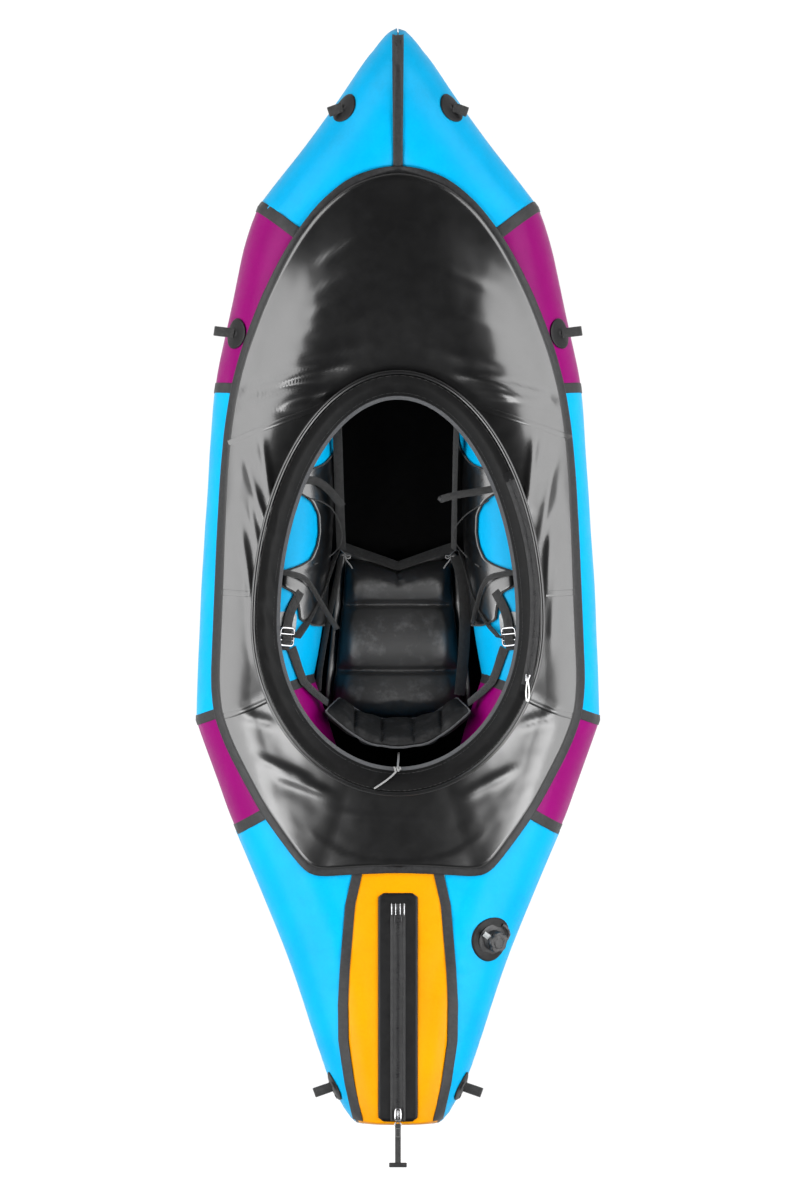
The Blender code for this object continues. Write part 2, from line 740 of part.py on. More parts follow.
def centre_tape(side):
    """The tape along one edge of the stern's centre panel."""
    rows = []
    first = TURN_Y - math.sqrt(TURN_RADIUS ** 2 - panel_edge(DECK_REAR_Y) ** 2)
    places = spread(first - SEAM_CLEARANCE, STERN_TAPE_END_SHARE * HALF, STERN_TAPE_STEPS)
    for y in places:
        row = []
        for offset in (-TAPE_WIDTH / 2, 0, TAPE_WIDTH / 2):
            x = panel_edge(y) + offset
            y_out, reach = section_at(x, y)
            height = stern_top(x, y, reach, outline(y_out)[0])
            row.append(Vector((side * x, y, mid_height(y) + height + TAPE_PROUD)))
        rows.append(row)
    sheet(f"stern_tape_{side_name(side)}", rows, SKIN, TAPE, flip=side > 0)


def stern_inner_wall():
    """The round wall behind the backrest, which joins the two side tubes."""
    half_turn = 90 * DEG + outline(REAR_SHOULDER_SHARE * HALF)[1]
    half_turn -= SEAM_CLEARANCE / (TURN_RADIUS - TUBE_RADIUS)
    rows = []
    for turn in spread(-half_turn, half_turn, WALL_TURNS):
        row = []
        for phi in spread(WALL_START * DEG, (360 - WALL_START) * DEG, WALL_STEPS + 1):
            radius = TURN_RADIUS + TUBE_RADIUS * math.cos(phi)
            x, y = radius * math.sin(turn), TURN_Y - radius * math.cos(turn)
            height = half_height(y) * math.sin(phi)
            row.append(Vector((x, y, mid_height(y) + height)))
        rows.append(row)
    sheet("stern_inner_wall", rows, SKIN, BLUE)


def bow_centre_tape():
    """The tape over the bow's middle seam, from the deck's tip round the nose and under it."""
    half = TAPE_WIDTH / 2
    over = []
    for share in BOW_TAPE_SHARES:
        y_out = share * HALF
        width, angle = outline(y_out)
        middle = math.acos(1 - width / (TUBE_RADIUS * math.cos(angle)))
        beside = math.acos(1 - (width - half) / (TUBE_RADIUS * math.cos(angle)))
        over.append([
            (side, y_out, turn) for side, turn in ((-1, beside), (0, middle), (1, beside))
        ])
    rows = [
        [tube_point(*place, BOW_TAPE_LIFT) for place in row] for row in over
    ]
    for turn in spread(NOSE_TURN, -NOSE_TURN, NOSE_STEPS + 1):
        width = TUBE_RADIUS * math.cos(outline(HALF)[1]) * (1 - math.cos(turn * DEG))
        y = HALF - width * NOSE_SLOPE + BOW_TAPE_LIFT
        z = mid_height(HALF) + (half_height(0) + BOW_TAPE_LIFT) * math.sin(turn * DEG)
        rows.append([Vector((x, y - abs(x) / 4, z)) for x in (-half, 0, half)])
    rows += [
        [tube_point(side, y_out, -turn, BOW_TAPE_LIFT) for side, y_out, turn in row]
        for row in over[:1:-1]
    ]
    sheet("bow_centre_tape", rows, SKIN / 2, TAPE, flip=True)


def floor_half_width(y):
    """How far out the floor reaches, just past the tubes' lowest lines."""
    low, high = 0.0, HULL_HALF_WIDTH
    for _ in range(30):
        x = (low + high) / 2
        y_out, reach = section_at(x, y)
        radius = TUBE_RADIUS
        if y < REAR_SHOULDER_SHARE * HALF:
            radius = min(radius, outline(y_out)[0] * 0.8)
        if reach > radius:
            low = x
        else:
            high = x
    return max(low, TAPE_WIDTH / 2) + FLOOR_OVERLAP


def floor_sheet():
    """The bottom sheet, flat in the middle and following the hull up at both ends."""
    rows = []
    for share in FLOOR_ROW_SHARES:
        y = share * HALF
        half = floor_half_width(y)
        drop = TAPE_PROUD + TOUCH_GAP + min(rise(y) / 2, LAYER_GAP)
        rows.append([
            Vector((half * (2 * i / FLOOR_STEPS - 1), y, keel(y) - drop))
            for i in range(FLOOR_STEPS + 1)
        ])
    sheet("floor_sheet", rows, FLOOR_THICKNESS, DECK_FINISH, flip=True)


def build_hull():
    for side in (-1, 1):
        bow_panel(side)
        side_panel("front_side_panel", side, SHOULDER_SHARE, FRONT_SEAM_SHARE,
                   FRONT_ROW_SHARES, MAGENTA)
        side_panel("middle_side_panel", side, FRONT_SEAM_SHARE, REAR_SEAM_SHARE,
                   MIDDLE_ROW_SHARES, BLUE)
        side_panel("rear_side_panel", side, REAR_SEAM_SHARE, REAR_SHOULDER_SHARE,
                   (), MAGENTA)
        stern_panel(side)
        centre_tape(side)
        for name, share in (
            ("shoulder_tape", SHOULDER_SHARE), ("front_tape", FRONT_SEAM_SHARE),
            ("rear_tape", REAR_SEAM_SHARE), ("rear_shoulder_tape", REAR_SHOULDER_SHARE),
        ):
            seam_tape(name, side, share)
    stern_centre_panel()
    stern_inner_wall()
    bow_centre_tape()
    floor_sheet()


# The deck, its coaming and the zip in the coaming

DECK_LINE_SHARES = (0.0, 0.08, 0.17, 0.27, 0.38, 0.52, 0.68, 0.84, 1.0)
DECK_LIFT = 0.0045
COAMING_STEPS = 40
COAMING_LIFT = 0.0012


def oval(turn, out=0.0):
    """A point of the coaming's egg-shaped outline, at an angle about its centre."""
    cos, sin = math.cos(turn), math.sin(turn)
    wide = OPENING_HALF_WIDTH + out
    long = (OPENING_FRONT if sin > 0 else OPENING_REAR) + out
    reach = 1 / math.hypot(cos / wide, sin / long)
    return Vector((reach * cos, OVAL_CENTRE_Y + reach * sin, 0))


def deck_columns():
    """(outer point, inner point) in plan for each line of the deck, all the way round."""
    right = [
        Vector((x * HULL_HALF_WIDTH, y * HALF, 0)) for x, y in DECK_EDGE_SHARES
    ]
    rear = Vector((0, DECK_REAR_Y, 0))
    right += [right[-1].lerp(rear, 0.5), rear]
    left = [Vector((-point.x, point.y, 0)) for point in right[-2:0:-1]]
    columns = []
    for outer in right + left:
        turn = math.atan2(outer.y - OVAL_CENTRE_Y, outer.x)
        columns.append((outer, oval(turn)))
    return columns


def deck_height(place, share, start, end):
    """Height of the deck at a place: on the hull where that is higher, stretched elsewhere."""
    stretched = start + (end - start) * share + DECK_CROWN * math.sin(math.pi * share) ** 2
    flat = start + (end - start) * share
    front = place.y > OVAL_CENTRE_Y + OPENING_FRONT / 2
    return max(hull_top(place.x, place.y) + DECK_LIFT, stretched if front else flat)


def build_deck():
    tape, deck = [], []
    for outer, inner in deck_columns():
        toward = (inner - outer).normalized()
        tape_inner = outer + toward * TAPE_WIDTH
        tape.append([
            Vector((at.x, at.y, hull_top(at.x, at.y) + DECK_LIFT))
            for at in (outer, outer + toward * (TAPE_WIDTH / 2), tape_inner)
        ])
        first = outer + toward * (TAPE_WIDTH + SEAM_GAP)
        start = hull_top(first.x, first.y) + DECK_LIFT
        line = []
        for share in DECK_LINE_SHARES:
            at = first.lerp(inner, share)
            height = deck_height(at, share, start, OPENING_HEIGHT)
            if share == 1:
                height = OPENING_HEIGHT
            line.append(Vector((at.x, at.y, height)))
        deck.append(line)
    sheet("deck_sheet", deck, DECK_THICKNESS, DECK_FINISH, loop=True, flip=True)
    sheet("deck_edge_tape", tape, DECK_THICKNESS, TAPE, loop=True, flip=True)


def coaming_height(inset):
    """Height of the coaming band's face, that far in from its rod: a shelf, then a slope."""
    top = OPENING_HEIGHT + COAMING_THICKNESS + COAMING_LIFT + COAMING_RISE
    slope = COAMING_RISE / (COAMING_WIDTH - COAMING_SHELF)
    return top - slope * max(inset - COAMING_SHELF, 0)


def build_coaming():
    """The stiff collar round the opening, with the rod in its outer edge."""
    turns = [2 * math.pi * (i + 0.5) / COAMING_STEPS for i in range(COAMING_STEPS)]
    outer_reach = COAMING_WIDTH - 2 * ROD_RADIUS - COAMING_LIFT
    rows = []
    for turn in turns:
        row = []
        for out in (TOUCH_GAP, COAMING_WIDTH - COAMING_SHELF, outer_reach):
            at = oval(turn, out)
            at.z = coaming_height(COAMING_WIDTH - out)
            row.append(at)
        rows.append(row)
    sheet("coaming_band", rows, COAMING_THICKNESS, DECK_FINISH, loop=True)
    centre_z = coaming_height(0) - COAMING_THICKNESS / 2
    rod = [oval(turn, COAMING_WIDTH - ROD_RADIUS) + Vector((0, 0, centre_z)) for turn in turns]
    tube_along("coaming_rod", rod, ROD_RADIUS, DECK_FINISH, resolution=1, cyclic=True)


def zip_circle():
    """(centre, radius) of the deck zip's arc, level with the coaming's face."""
    places = []
    for y in (DECK_ZIP_REAR_Y, (DECK_ZIP_REAR_Y + DECK_ZIP_FRONT_Y) / 2, DECK_ZIP_FRONT_Y):
        along = y - OVAL_CENTRE_Y
        out = COAMING_WIDTH - DECK_ZIP_INSET
        long = (OPENING_FRONT if along > 0 else OPENING_REAR) + out
        places.append(Vector(((OPENING_HALF_WIDTH + out) * math.sqrt(1 - (along / long) ** 2), y)))
    first, middle, last = places
    chord = last - first
    half = chord.length / 2
    square = Vector((chord.y, -chord.x)) / chord.length
    height = (middle - first).dot(square)
    share = (middle - first).dot(chord) / chord.length
    offset = (half * half - (share - half) ** 2 - height * height) / (2 * height)
    centre = first + chord / 2 - square * offset
    return Vector((centre.x, centre.y, 0)), math.hypot(half, offset)


ZIP_CENTRE, ZIP_RADIUS = zip_circle()


def deck_zip_point(turn, lift):
    reach = Vector((math.cos(turn), math.sin(turn), 0)) * ZIP_RADIUS
    return ZIP_CENTRE + reach + Vector((0, 0, coaming_height(0) + lift))


def deck_zip_turn(y):
    return math.asin((y - ZIP_CENTRE.y) / ZIP_RADIUS)


def build_deck_zip():
    """The curved zip let into the coaming band, with its slider and cord pull."""
    first, last = deck_zip_turn(DECK_ZIP_REAR_Y), deck_zip_turn(DECK_ZIP_FRONT_Y)
    lift = DECK_ZIP_LIFT + DECK_ZIP_THICKNESS / 2
    path = [deck_zip_point(turn, lift) for turn in spread(first, last, DECK_ZIP_STEPS)]
    ribbon("deck_zip_chain", path, Vector((1, 0, 0)), DECK_ZIP_WIDTH, DECK_ZIP_THICKNESS, PLASTIC)
    slider_lift = DECK_ZIP_LIFT + DECK_ZIP_THICKNESS + TOUCH_GAP + DECK_SLIDER_HEIGHT / 2
    start = first + DECK_SLIDER_LENGTH / ZIP_RADIUS
    places = (start - DECK_SLIDER_LENGTH / 2 / ZIP_RADIUS,
              start + DECK_SLIDER_LENGTH / 2 / ZIP_RADIUS)
    body = [deck_zip_point(turn, slider_lift) for turn in places]
    slider = ribbon(
        "deck_zip_slider", body, Vector((1, 0, 0)), DECK_SLIDER_WIDTH, DECK_SLIDER_HEIGHT, METAL
    )
    put_pivot(slider, ZIP_CENTRE)
    pivot = deck_zip_point(start, slider_lift + DECK_SLIDER_HEIGHT / 2 + TOUCH_GAP + CORD_RADIUS)
    loop = []
    for i in range(CORD_LOOP_STEPS + 1):
        turn = math.pi * (1 - 2 * i / CORD_LOOP_STEPS) * 0.9
        share = (1 + math.cos(turn)) / 2
        x = CORD_LOOP_WIDTH / 2 * math.sin(turn) * math.sqrt(share)
        loop.append(pivot + Vector((x, -CORD_LOOP_LENGTH * share, 0)))
    made = tube_along("deck_zip_pull", loop, CORD_RADIUS, WHITE, resolution=1, cyclic=True)
    put_pivot(made, pivot)


# The cargo zip along the stern's centre panel

def stern_line(y, lift=0.0):
    """A point on the straight line over the stern's middle that the cargo zip follows."""
    ends = []
    for end in (CARGO_PATCH_FRONT_Y, CARGO_PATCH_REAR_Y):
        y_out, reach = section_at(0, end)
        ends.append(mid_height(end) + stern_top(0, end, reach, outline(y_out)[0]))
    share = (y - CARGO_PATCH_FRONT_Y) / (CARGO_PATCH_REAR_Y - CARGO_PATCH_FRONT_Y)
    return Vector((0, y, ends[0] + (ends[1] - ends[0]) * share + lift))


def build_cargo_zip():
    across = Vector((1, 0, 0))
    patch = spread(CARGO_PATCH_FRONT_Y, CARGO_PATCH_REAR_Y, 6)
    lift = CARGO_LIFT
    rows = []
    for y in patch:
        row = []
        for x in spread(-CARGO_PATCH_WIDTH / 2, CARGO_PATCH_WIDTH / 2, 5):
            y_out, reach = section_at(x, y)
            width = outline(y_out)[0]
            drop = stern_top(0, y, *section_reach(0, y)) - stern_top(abs(x), y, reach, width)
            row.append(stern_line(y, lift - drop) + across * x)
        rows.append(row)
    sheet("cargo_zip_patch", rows, CARGO_PATCH_THICKNESS, DECK_FINISH, flip=True)
    lift += TOUCH_GAP + CARGO_CHAIN_THICKNESS / 2
    chain = [stern_line(y, lift) for y in (CARGO_CHAIN_FRONT_Y, CARGO_CHAIN_REAR_Y)]
    ribbon("cargo_zip_chain", chain, across, CARGO_CHAIN_WIDTH, CARGO_CHAIN_THICKNESS, PLASTIC)
    lift += CARGO_CHAIN_THICKNESS / 2 + TOUCH_GAP + CARGO_SLIDER_HEIGHT / 2
    slider_y = CARGO_CHAIN_REAR_Y + CARGO_SLIDER_LENGTH / 2
    slider = [stern_line(slider_y + end * CARGO_SLIDER_LENGTH / 2, lift) for end in (1, -1)]
    ribbon("cargo_zip_slider", slider, across, CARGO_SLIDER_WIDTH, CARGO_SLIDER_HEIGHT, METAL)
    start_y = CARGO_CHAIN_REAR_Y - CARGO_PULL_GAP
    pull = [stern_line(start_y, lift), stern_line(start_y - CARGO_STRAP_LENGTH, lift)]
    strap = ribbon("cargo_zip_pull", pull, across, CARGO_STRAP_WIDTH, CARGO_STRAP_THICKNESS, WEB)
    bar = cylinder("cargo_pull_bar_form", CARGO_BAR_RADIUS, CARGO_BAR_LENGTH, 12)
    bar.matrix_world = Matrix.Translation(pull[1]) @ Matrix.Rotation(90 * DEG, 4, "Y")
    join(strap, bar)
    put_pivot(strap, stern_line(start_y - CARGO_PULL_PIVOT, lift))


def section_reach(x, y):
    """Distance in from the outer point, and half width there, of the section through a place."""
    y_out, reach = section_at(x, y)
    return reach, outline(y_out)[0]


def cylinder(name, radius, length, steps, group=None):
    """A capped cylinder along Z, kept with the cutters unless another group is given."""
    work = bmesh.new()
    bmesh.ops.create_cone(
        work, cap_ends=True, segments=steps, radius1=radius, radius2=radius, depth=length
    )
    mesh = bpy.data.meshes.new(name)
    work.to_mesh(mesh)
    work.free()
    made = add_object(name, mesh, PLASTIC, group or CUTTERS)
    if (group or CUTTERS) is CUTTERS:
        made.hide_render = True
        made.display_type = "WIRE"
    return made


def join(made, other, operation="UNION"):
    """Adds a helper form to a part, or cuts it away."""
    modifier = made.modifiers.new(operation.lower(), "BOOLEAN")
    modifier.operation = operation
    modifier.object = other


# The inflation valve on the stern's right side

def build_valve():
    point, normal, _, along = skin_frame(VALVE_X, VALVE_Y)
    place = facing(point + normal * VALVE_LIFT, normal, along)
    skirt, bore = VALVE_SKIRT_THICKNESS, VALVE_BORE_RADIUS
    neck_top = skirt + VALVE_NECK_HEIGHT
    profile = [
        (bore, neck_top), (VALVE_NECK_RADIUS, neck_top), (VALVE_NECK_RADIUS, skirt),
        (VALVE_SKIRT_RADIUS, skirt / 2), (VALVE_SKIRT_RADIUS, 0), (VALVE_BARREL_RADIUS, 0),
        (VALVE_BARREL_RADIUS, -VALVE_BARREL_DEPTH), (VALVE_WELL_RADIUS, -VALVE_BARREL_DEPTH),
        (VALVE_WELL_RADIUS, 0), (VALVE_SEAT_RADIUS, 0), (VALVE_SEAT_RADIUS, skirt), (bore, skirt),
    ]
    turned("valve_body", profile, PLASTIC, VALVE_STEPS, place)
    disc = VALVE_SEAT_RADIUS + VALVE_DISC_LAP
    disc_bottom = -TOUCH_GAP - VALVE_DISC_THICKNESS
    poppet = [
        (0, VALVE_STEM_TOP), (VALVE_STEM_RADIUS, VALVE_STEM_TOP), (VALVE_STEM_RADIUS, -TOUCH_GAP),
        (disc, -TOUCH_GAP), (disc, disc_bottom), (0, disc_bottom),
    ]
    turned("valve_poppet", poppet, PLASTIC, VALVE_STEPS, place)
    collar_bottom = neck_top + TOUCH_GAP
    collar_top = collar_bottom + VALVE_COLLAR_THICKNESS
    hub = VALVE_HUB_RADIUS
    collar = [
        (hub + VALVE_RUNNING_GAP, collar_top), (VALVE_NECK_RADIUS, collar_top),
        (VALVE_NECK_RADIUS, collar_bottom), (hub + VALVE_RUNNING_GAP, collar_bottom),
    ]
    turned("valve_tether", collar, PLASTIC, VALVE_STEPS, place)
    cap_bottom = collar_top + TOUCH_GAP
    plug_bottom = cap_bottom - VALVE_PLUG_LENGTH
    cap_top = cap_bottom + VALVE_CAP_HEIGHT
    cap = [
        (0, cap_top), (VALVE_CAP_RADIUS, cap_top), (VALVE_CAP_RADIUS, cap_bottom),
        (hub, cap_bottom), (hub, plug_bottom), (0, plug_bottom),
    ]
    cap = turned("valve_cap", cap, PLASTIC, VALVE_STEPS, place)
    for i in range(VALVE_GRIPS):
        grip = cylinder(f"valve_grip_form_{i}", VALVE_GRIP_RADIUS, 2 * VALVE_GRIP_DEPTH, 8)
        turn = Matrix.Rotation(2 * math.pi * i / VALVE_GRIPS, 4, "Z")
        grip.matrix_world = place @ turn @ Matrix.Translation((VALVE_GRIP_REACH, 0, cap_top))
        join(cap, grip, "DIFFERENCE")
    hole = cylinder("valve_hole_form", VALVE_HOLE_RADIUS, 4 * VALVE_BARREL_DEPTH, 20)
    hole.matrix_world = place
    join(bpy.data.objects["stern_panel_right"], hole, "DIFFERENCE")


# Grab loops

def hairpin(length, gap, thickness):
    """Path of a strap folded into a loop: out along the hull, round, and back above it."""
    top = gap + thickness
    path = [Vector((0, 0, 0)), Vector((0, length * 0.5, 0))]
    for i in range(LOOP_STEPS + 1):
        turn = -90 * DEG + 180 * DEG * i / LOOP_STEPS
        path.append(Vector((0, length - top / 2 + top / 2 * math.cos(turn),
                            top / 2 + top / 2 * math.sin(turn))))
    path += [Vector((0, length * 0.5, top)), Vector((0, 0, top * 0.8))]
    return path


def grab_loop(name, side, x, y, outward, patch_lift):
    """A round patch on the tube and the webbing loop that stands out from it."""
    point, normal, around, along = skin_frame(side * x, y)
    loops = []
    for share, top in LOOP_PATCH_RING_SHARES:
        radius = share * LOOP_PATCH_RADIUS
        ring = []
        for angle in circle_angles(LOOP_PATCH_STEPS):
            u, v = radius * math.cos(angle), radius * math.sin(angle)
            bent = math.sin(u / LOOP_BEND_RADIUS), 1 - math.cos(u / LOOP_BEND_RADIUS)
            at = point + along * v + (around * bent[0] - normal * bent[1]) * LOOP_BEND_RADIUS
            skin = skin_frame(at.x, at.y)
            if (skin[0] - at).length < LOOP_PATCH_RADIUS / 2:
                at = skin[0]
            ring.append(at + skin[1] * (patch_lift + top * LOOP_PATCH_THICKNESS))
        loops.append(ring if side > 0 else ring[::-1])
    loft(f"{name}_patch_{side_name(side)}", loops, WEB)
    out = (around * math.cos(outward * DEG) + normal * math.sin(outward * DEG)).normalized()
    up = along.cross(out).normalized()
    if up.dot(normal) < 0:
        up = -up
    root_lift = patch_lift + LOOP_PATCH_THICKNESS + LOOP_THICKNESS / 2 + LOOP_ROOT_LIFT
    root = point + normal * root_lift
    path = [
        root + out * at.y + up * at.z
        for at in hairpin(LOOP_LENGTH, LOOP_GAP, LOOP_THICKNESS)
    ]
    made = ribbon(f"{name}_loop_{side_name(side)}", path, along, LOOP_WIDTH, LOOP_THICKNESS, WEB)
    put_pivot(made, root)


def build_grab_loops():
    for side in (-1, 1):
        for name, out, along, outward, clear in GRAB_LOOP_SHARES:
            place = (out * HULL_HALF_WIDTH, along * HALF)
            grab_loop(name, side, *place, outward, clear * TUBE_RADIUS)


# Seat, backband, straps, buckles, thigh braces and the cord behind the backband

def padded_ring(centre, wide, high, half_width, half_height_here, square):
    """A closed rounded section: two directions, two half sizes and how square its corners are."""
    ring = []
    for turn in circle_angles(PAD_RING_STEPS):
        cos, sin = math.cos(turn), math.sin(turn)
        a = math.copysign(abs(cos) ** square, cos) * half_width
        b = math.copysign(abs(sin) ** square, sin) * half_height_here
        ring.append(centre + wide * a + high * b)
    return ring


def channel_depth(place, channels, half_width):
    """How much of a channel reaches a place: 1 at a channel's middle, 0 beside it."""
    near = min(abs(place - channel) for channel in channels)
    return max(1 - near / half_width, 0) ** 1.5


def seat_width(share):
    """Half width of the seat at a share of its length from the rear."""
    rounded = min(share / SEAT_REAR_ROUND_SHARE, 1)
    corner = math.sqrt(1 - (1 - rounded) ** 2)
    body = SEAT_REAR_HALF_WIDTH + (SEAT_FRONT_HALF_WIDTH - SEAT_REAR_HALF_WIDTH) * share
    return body * (SEAT_REAR_EDGE_SHARE + (1 - SEAT_REAR_EDGE_SHARE) * corner)


def build_seat():
    loops = []
    seat_length = SEAT_FRONT_Y - SEAT_REAR_Y
    for share in SEAT_ROW_SHARES:
        y = SEAT_REAR_Y + seat_length * share
        pinch = channel_depth(share, SEAT_CHANNEL_SHARES, SEAT_CHANNEL_HALF / seat_length)
        ends = min(min(share, 1 - share) / SEAT_END_ROUND_SHARE, 1)
        full = SEAT_EDGE_SHARE + (1 - SEAT_EDGE_SHARE) * math.sqrt(1 - (1 - ends) ** 2)
        height = SEAT_HEIGHT * full * (1 - SEAT_CHANNEL_DEPTH * pinch)
        width = seat_width(share) * (1 - SEAT_CHANNEL_DRAW * pinch)
        centre = Vector((0, y, SEAT_FOOT + SEAT_HEIGHT * SEAT_MIDDLE_SHARE))
        ring = padded_ring(centre, Vector((1, 0, 0)), Vector((0, 0, 1)), width, height / 2, PAD_SQUARE)
        notch = SEAT_NOTCH * max(share - SEAT_NOTCH_START_SHARE, 0) / (1 - SEAT_NOTCH_START_SHARE)
        for point in ring:
            point.y -= notch * (1 - min(abs(point.x) / SEAT_FRONT_HALF_WIDTH, 1))
            point.z = max(point.z, SEAT_FOOT)
        loops.append(ring)
    loft("seat_cushion", loops, DECK_FINISH)


def hull_share(shares):
    """A place given as shares of the half width, the half length and the tube's radius."""
    across, along, up = shares
    return Vector((across * HULL_HALF_WIDTH, along * HALF, up * TUBE_RADIUS))


def band_point(share, line):
    """A point on one of the backband's long edges, at a share across the boat."""
    points = [hull_share(point) for point in line]
    place = min(max(share, 0), 0.9999) * (len(points) - 1)
    index = int(place)
    return points[index].lerp(points[index + 1], place - index)


def build_backband():
    loops = []
    for share in BAND_ROW_SHARES:
        low, high = band_point(share, BAND_LOW_SHARES), band_point(share, BAND_HIGH_SHARES)
        seam = min(abs(share - place) for place in BAND_SEAM_SHARES)
        pinch = max(1 - seam / BAND_SEAM_HALF, 0)
        ends = min(min(share, 1 - share) / BAND_END_SHARE, 1)
        full = BAND_EDGE_SHARE + (1 - BAND_EDGE_SHARE) * math.sqrt(1 - (1 - ends) ** 2)
        up = (high - low).normalized()
        step = band_point(share + BAND_STEP, BAND_LOW_SHARES)
        step -= band_point(share - BAND_STEP, BAND_LOW_SHARES)
        face = up.cross(step).normalized()
        depth = BAND_THICKNESS / 2 * (1 - BAND_SEAM_DEPTH * pinch) * full
        tall = (high - low).length / 2 * (BAND_TAPER_SHARE + (1 - BAND_TAPER_SHARE) * full)
        loops.append(padded_ring((low + high) / 2, up, face, tall, depth, PAD_SQUARE))
    made = loft("backband", loops, DECK_FINISH)
    put_pivot(made, hull_share(BAND_PIVOT_SHARES))


def wall_frame(side, y, turn):
    """The tube's frame at an angle round it, at a place given by that point's own y."""
    y_out = y
    for _ in range(12):
        y_out += y - tube_point(side, y_out, turn).y
    return tube_frame(side, y_out, turn)


def strap_on_tube(name, side, places, width, thickness, material):
    """A strap laid on the tube through a table of places."""
    loops = []
    count = STRAP_STEPS
    points = []
    for i in range(count + 1):
        place = i / count * (len(places) - 1)
        index = min(int(place), len(places) - 2)
        first, after = places[index], places[index + 1]
        share = place - index
        along, turn, clear = (a + (b - a) * share for a, b in zip(first, after))
        lift = clear * TUBE_RADIUS
        skin, normal, _, _ = wall_frame(side, along * HALF, turn * DEG)
        points.append((skin + normal * lift, normal))
    for i, (point, normal) in enumerate(points):
        before, after = points[max(i - 1, 0)][0], points[min(i + 1, count)][0]
        along = (after - before).normalized()
        across = along.cross(normal).normalized()
        up = across.cross(along).normalized()
        loops.append([
            point + across * (width / 2 * a) + up * (thickness / 2 * b)
            for a, b in ((-1, -1), (1, -1), (1, 1), (-1, 1))
        ])
    return loft(name, loops, material)


def build_backband_straps():
    for side in (-1, 1):
        strap_on_tube(
            f"backband_strap_{side_name(side)}", side, STRAP_PLACE_SHARES, STRAP_WIDTH,
            STRAP_THICKNESS, WEB,
        )
        skin, normal, _, along = wall_frame(side, BUCKLE_SHARE * HALF, BUCKLE_TURN * DEG)
        place = facing(skin + normal * BUCKLE_LIFT, normal, along)
        loops = []
        for width, length, height in BUCKLE_RING_SHARES:
            size = Vector((width * BUCKLE_WIDTH, length * BUCKLE_LENGTH, height * BUCKLE_THICKNESS))
            loops.append([
                place @ Vector((size.x / 2 * a, size.y / 2 * b, size.z))
                for a, b in ((-1, -1), (1, -1), (1, 1), (-1, 1))
            ])
        loft(f"strap_buckle_{side_name(side)}", loops, METAL, closed=True)


def build_thigh_braces():
    for side in (-1, 1):
        rows = []
        for along, top in BRACE_EDGE_SHARES:
            row = []
            for share in spread(0, 1, BRACE_STEPS):
                turn = BRACE_LOW_TURN + (top - BRACE_LOW_TURN) * share
                skin, normal, _, _ = wall_frame(side, along * HALF, turn * DEG)
                row.append(skin + normal * (BRACE_LIFT + BRACE_THICKNESS))
            rows.append(row)
        sheet(f"thigh_brace_{side_name(side)}", rows, BRACE_THICKNESS, DECK_FINISH, flip=side > 0)


def build_rear_cord():
    points = [Vector(point) for point in REAR_CORD_POINTS]
    tube_along("rear_cord", points, REAR_CORD_RADIUS, GREY, resolution=1)


build_hull()
build_deck()
build_coaming()
build_deck_zip()
build_cargo_zip()
build_valve()
build_grab_loops()
build_seat()
build_backband()
build_backband_straps()
build_thigh_braces()
build_rear_cord()
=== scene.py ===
"""A decked inflatable packraft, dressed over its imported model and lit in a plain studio."""

import logging
import math
from dataclasses import dataclass, field
from enum import Enum
from functools import cached_property
from typing import Callable, Optional, Sequence

import bmesh
import bpy
from mathutils import Matrix, Vector, noise


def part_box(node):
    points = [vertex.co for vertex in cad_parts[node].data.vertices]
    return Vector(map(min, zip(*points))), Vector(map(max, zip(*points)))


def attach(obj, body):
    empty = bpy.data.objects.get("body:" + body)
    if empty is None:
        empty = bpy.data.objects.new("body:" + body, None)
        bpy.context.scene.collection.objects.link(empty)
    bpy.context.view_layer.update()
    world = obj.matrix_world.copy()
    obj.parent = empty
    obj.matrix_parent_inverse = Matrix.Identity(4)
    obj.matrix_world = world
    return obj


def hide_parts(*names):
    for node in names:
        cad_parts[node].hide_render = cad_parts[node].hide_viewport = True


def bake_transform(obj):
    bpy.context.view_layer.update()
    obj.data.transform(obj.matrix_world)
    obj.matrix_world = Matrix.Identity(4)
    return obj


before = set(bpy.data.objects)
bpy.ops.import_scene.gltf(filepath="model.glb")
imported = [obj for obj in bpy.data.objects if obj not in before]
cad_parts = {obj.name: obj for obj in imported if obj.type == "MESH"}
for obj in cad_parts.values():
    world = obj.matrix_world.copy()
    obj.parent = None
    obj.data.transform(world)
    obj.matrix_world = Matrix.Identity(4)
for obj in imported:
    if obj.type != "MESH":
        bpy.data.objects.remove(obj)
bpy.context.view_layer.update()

LOG = logging.getLogger("packraft")
DEG = math.pi / 180
UP = Vector((0, 0, 1))
Row = list[Vector]
Profile = tuple[tuple[float, float], ...]
Colour = tuple[float, float, float]


class Side(Enum):
    """The two sides of the boat, as seen by a seated paddler."""

    LEFT = -1
    RIGHT = 1

    @property
    def word(self) -> str:
        """The side's name as the nodes carry it."""
        return self.name.lower()


def spread(first: float, last: float, count: int) -> list[float]:
    """Evenly spaced values.

    Args:
        first: the first value.
        last: the last value.
        count: how many values.

    Returns:
        The values, both ends included.
    """
    return [first + (last - first) * i / (count - 1) for i in range(count)]


def turns(count: int) -> list[float]:
    """Even angles round a circle."""
    return [2 * math.pi * k / count for k in range(count)]


def smooth(share: float) -> float:
    """A share from 0 to 1, eased at both ends."""
    share = min(max(share, 0.0), 1.0)
    return share * share * (3 - 2 * share)


def read_table(key: float, table: Sequence[tuple[float, float]]) -> float:
    """A value read between the points of a table.

    Args:
        key: the place to read.
        table: (place, value) pairs, in rising order of place.

    Returns:
        The value at the place.
    """
    if key <= table[0][0]:
        return table[0][1]
    for (low, first), (high, after) in zip(table, table[1:]):
        if key <= high:
            return first + (after - first) * (key - low) / (high - low)
    return table[-1][1]


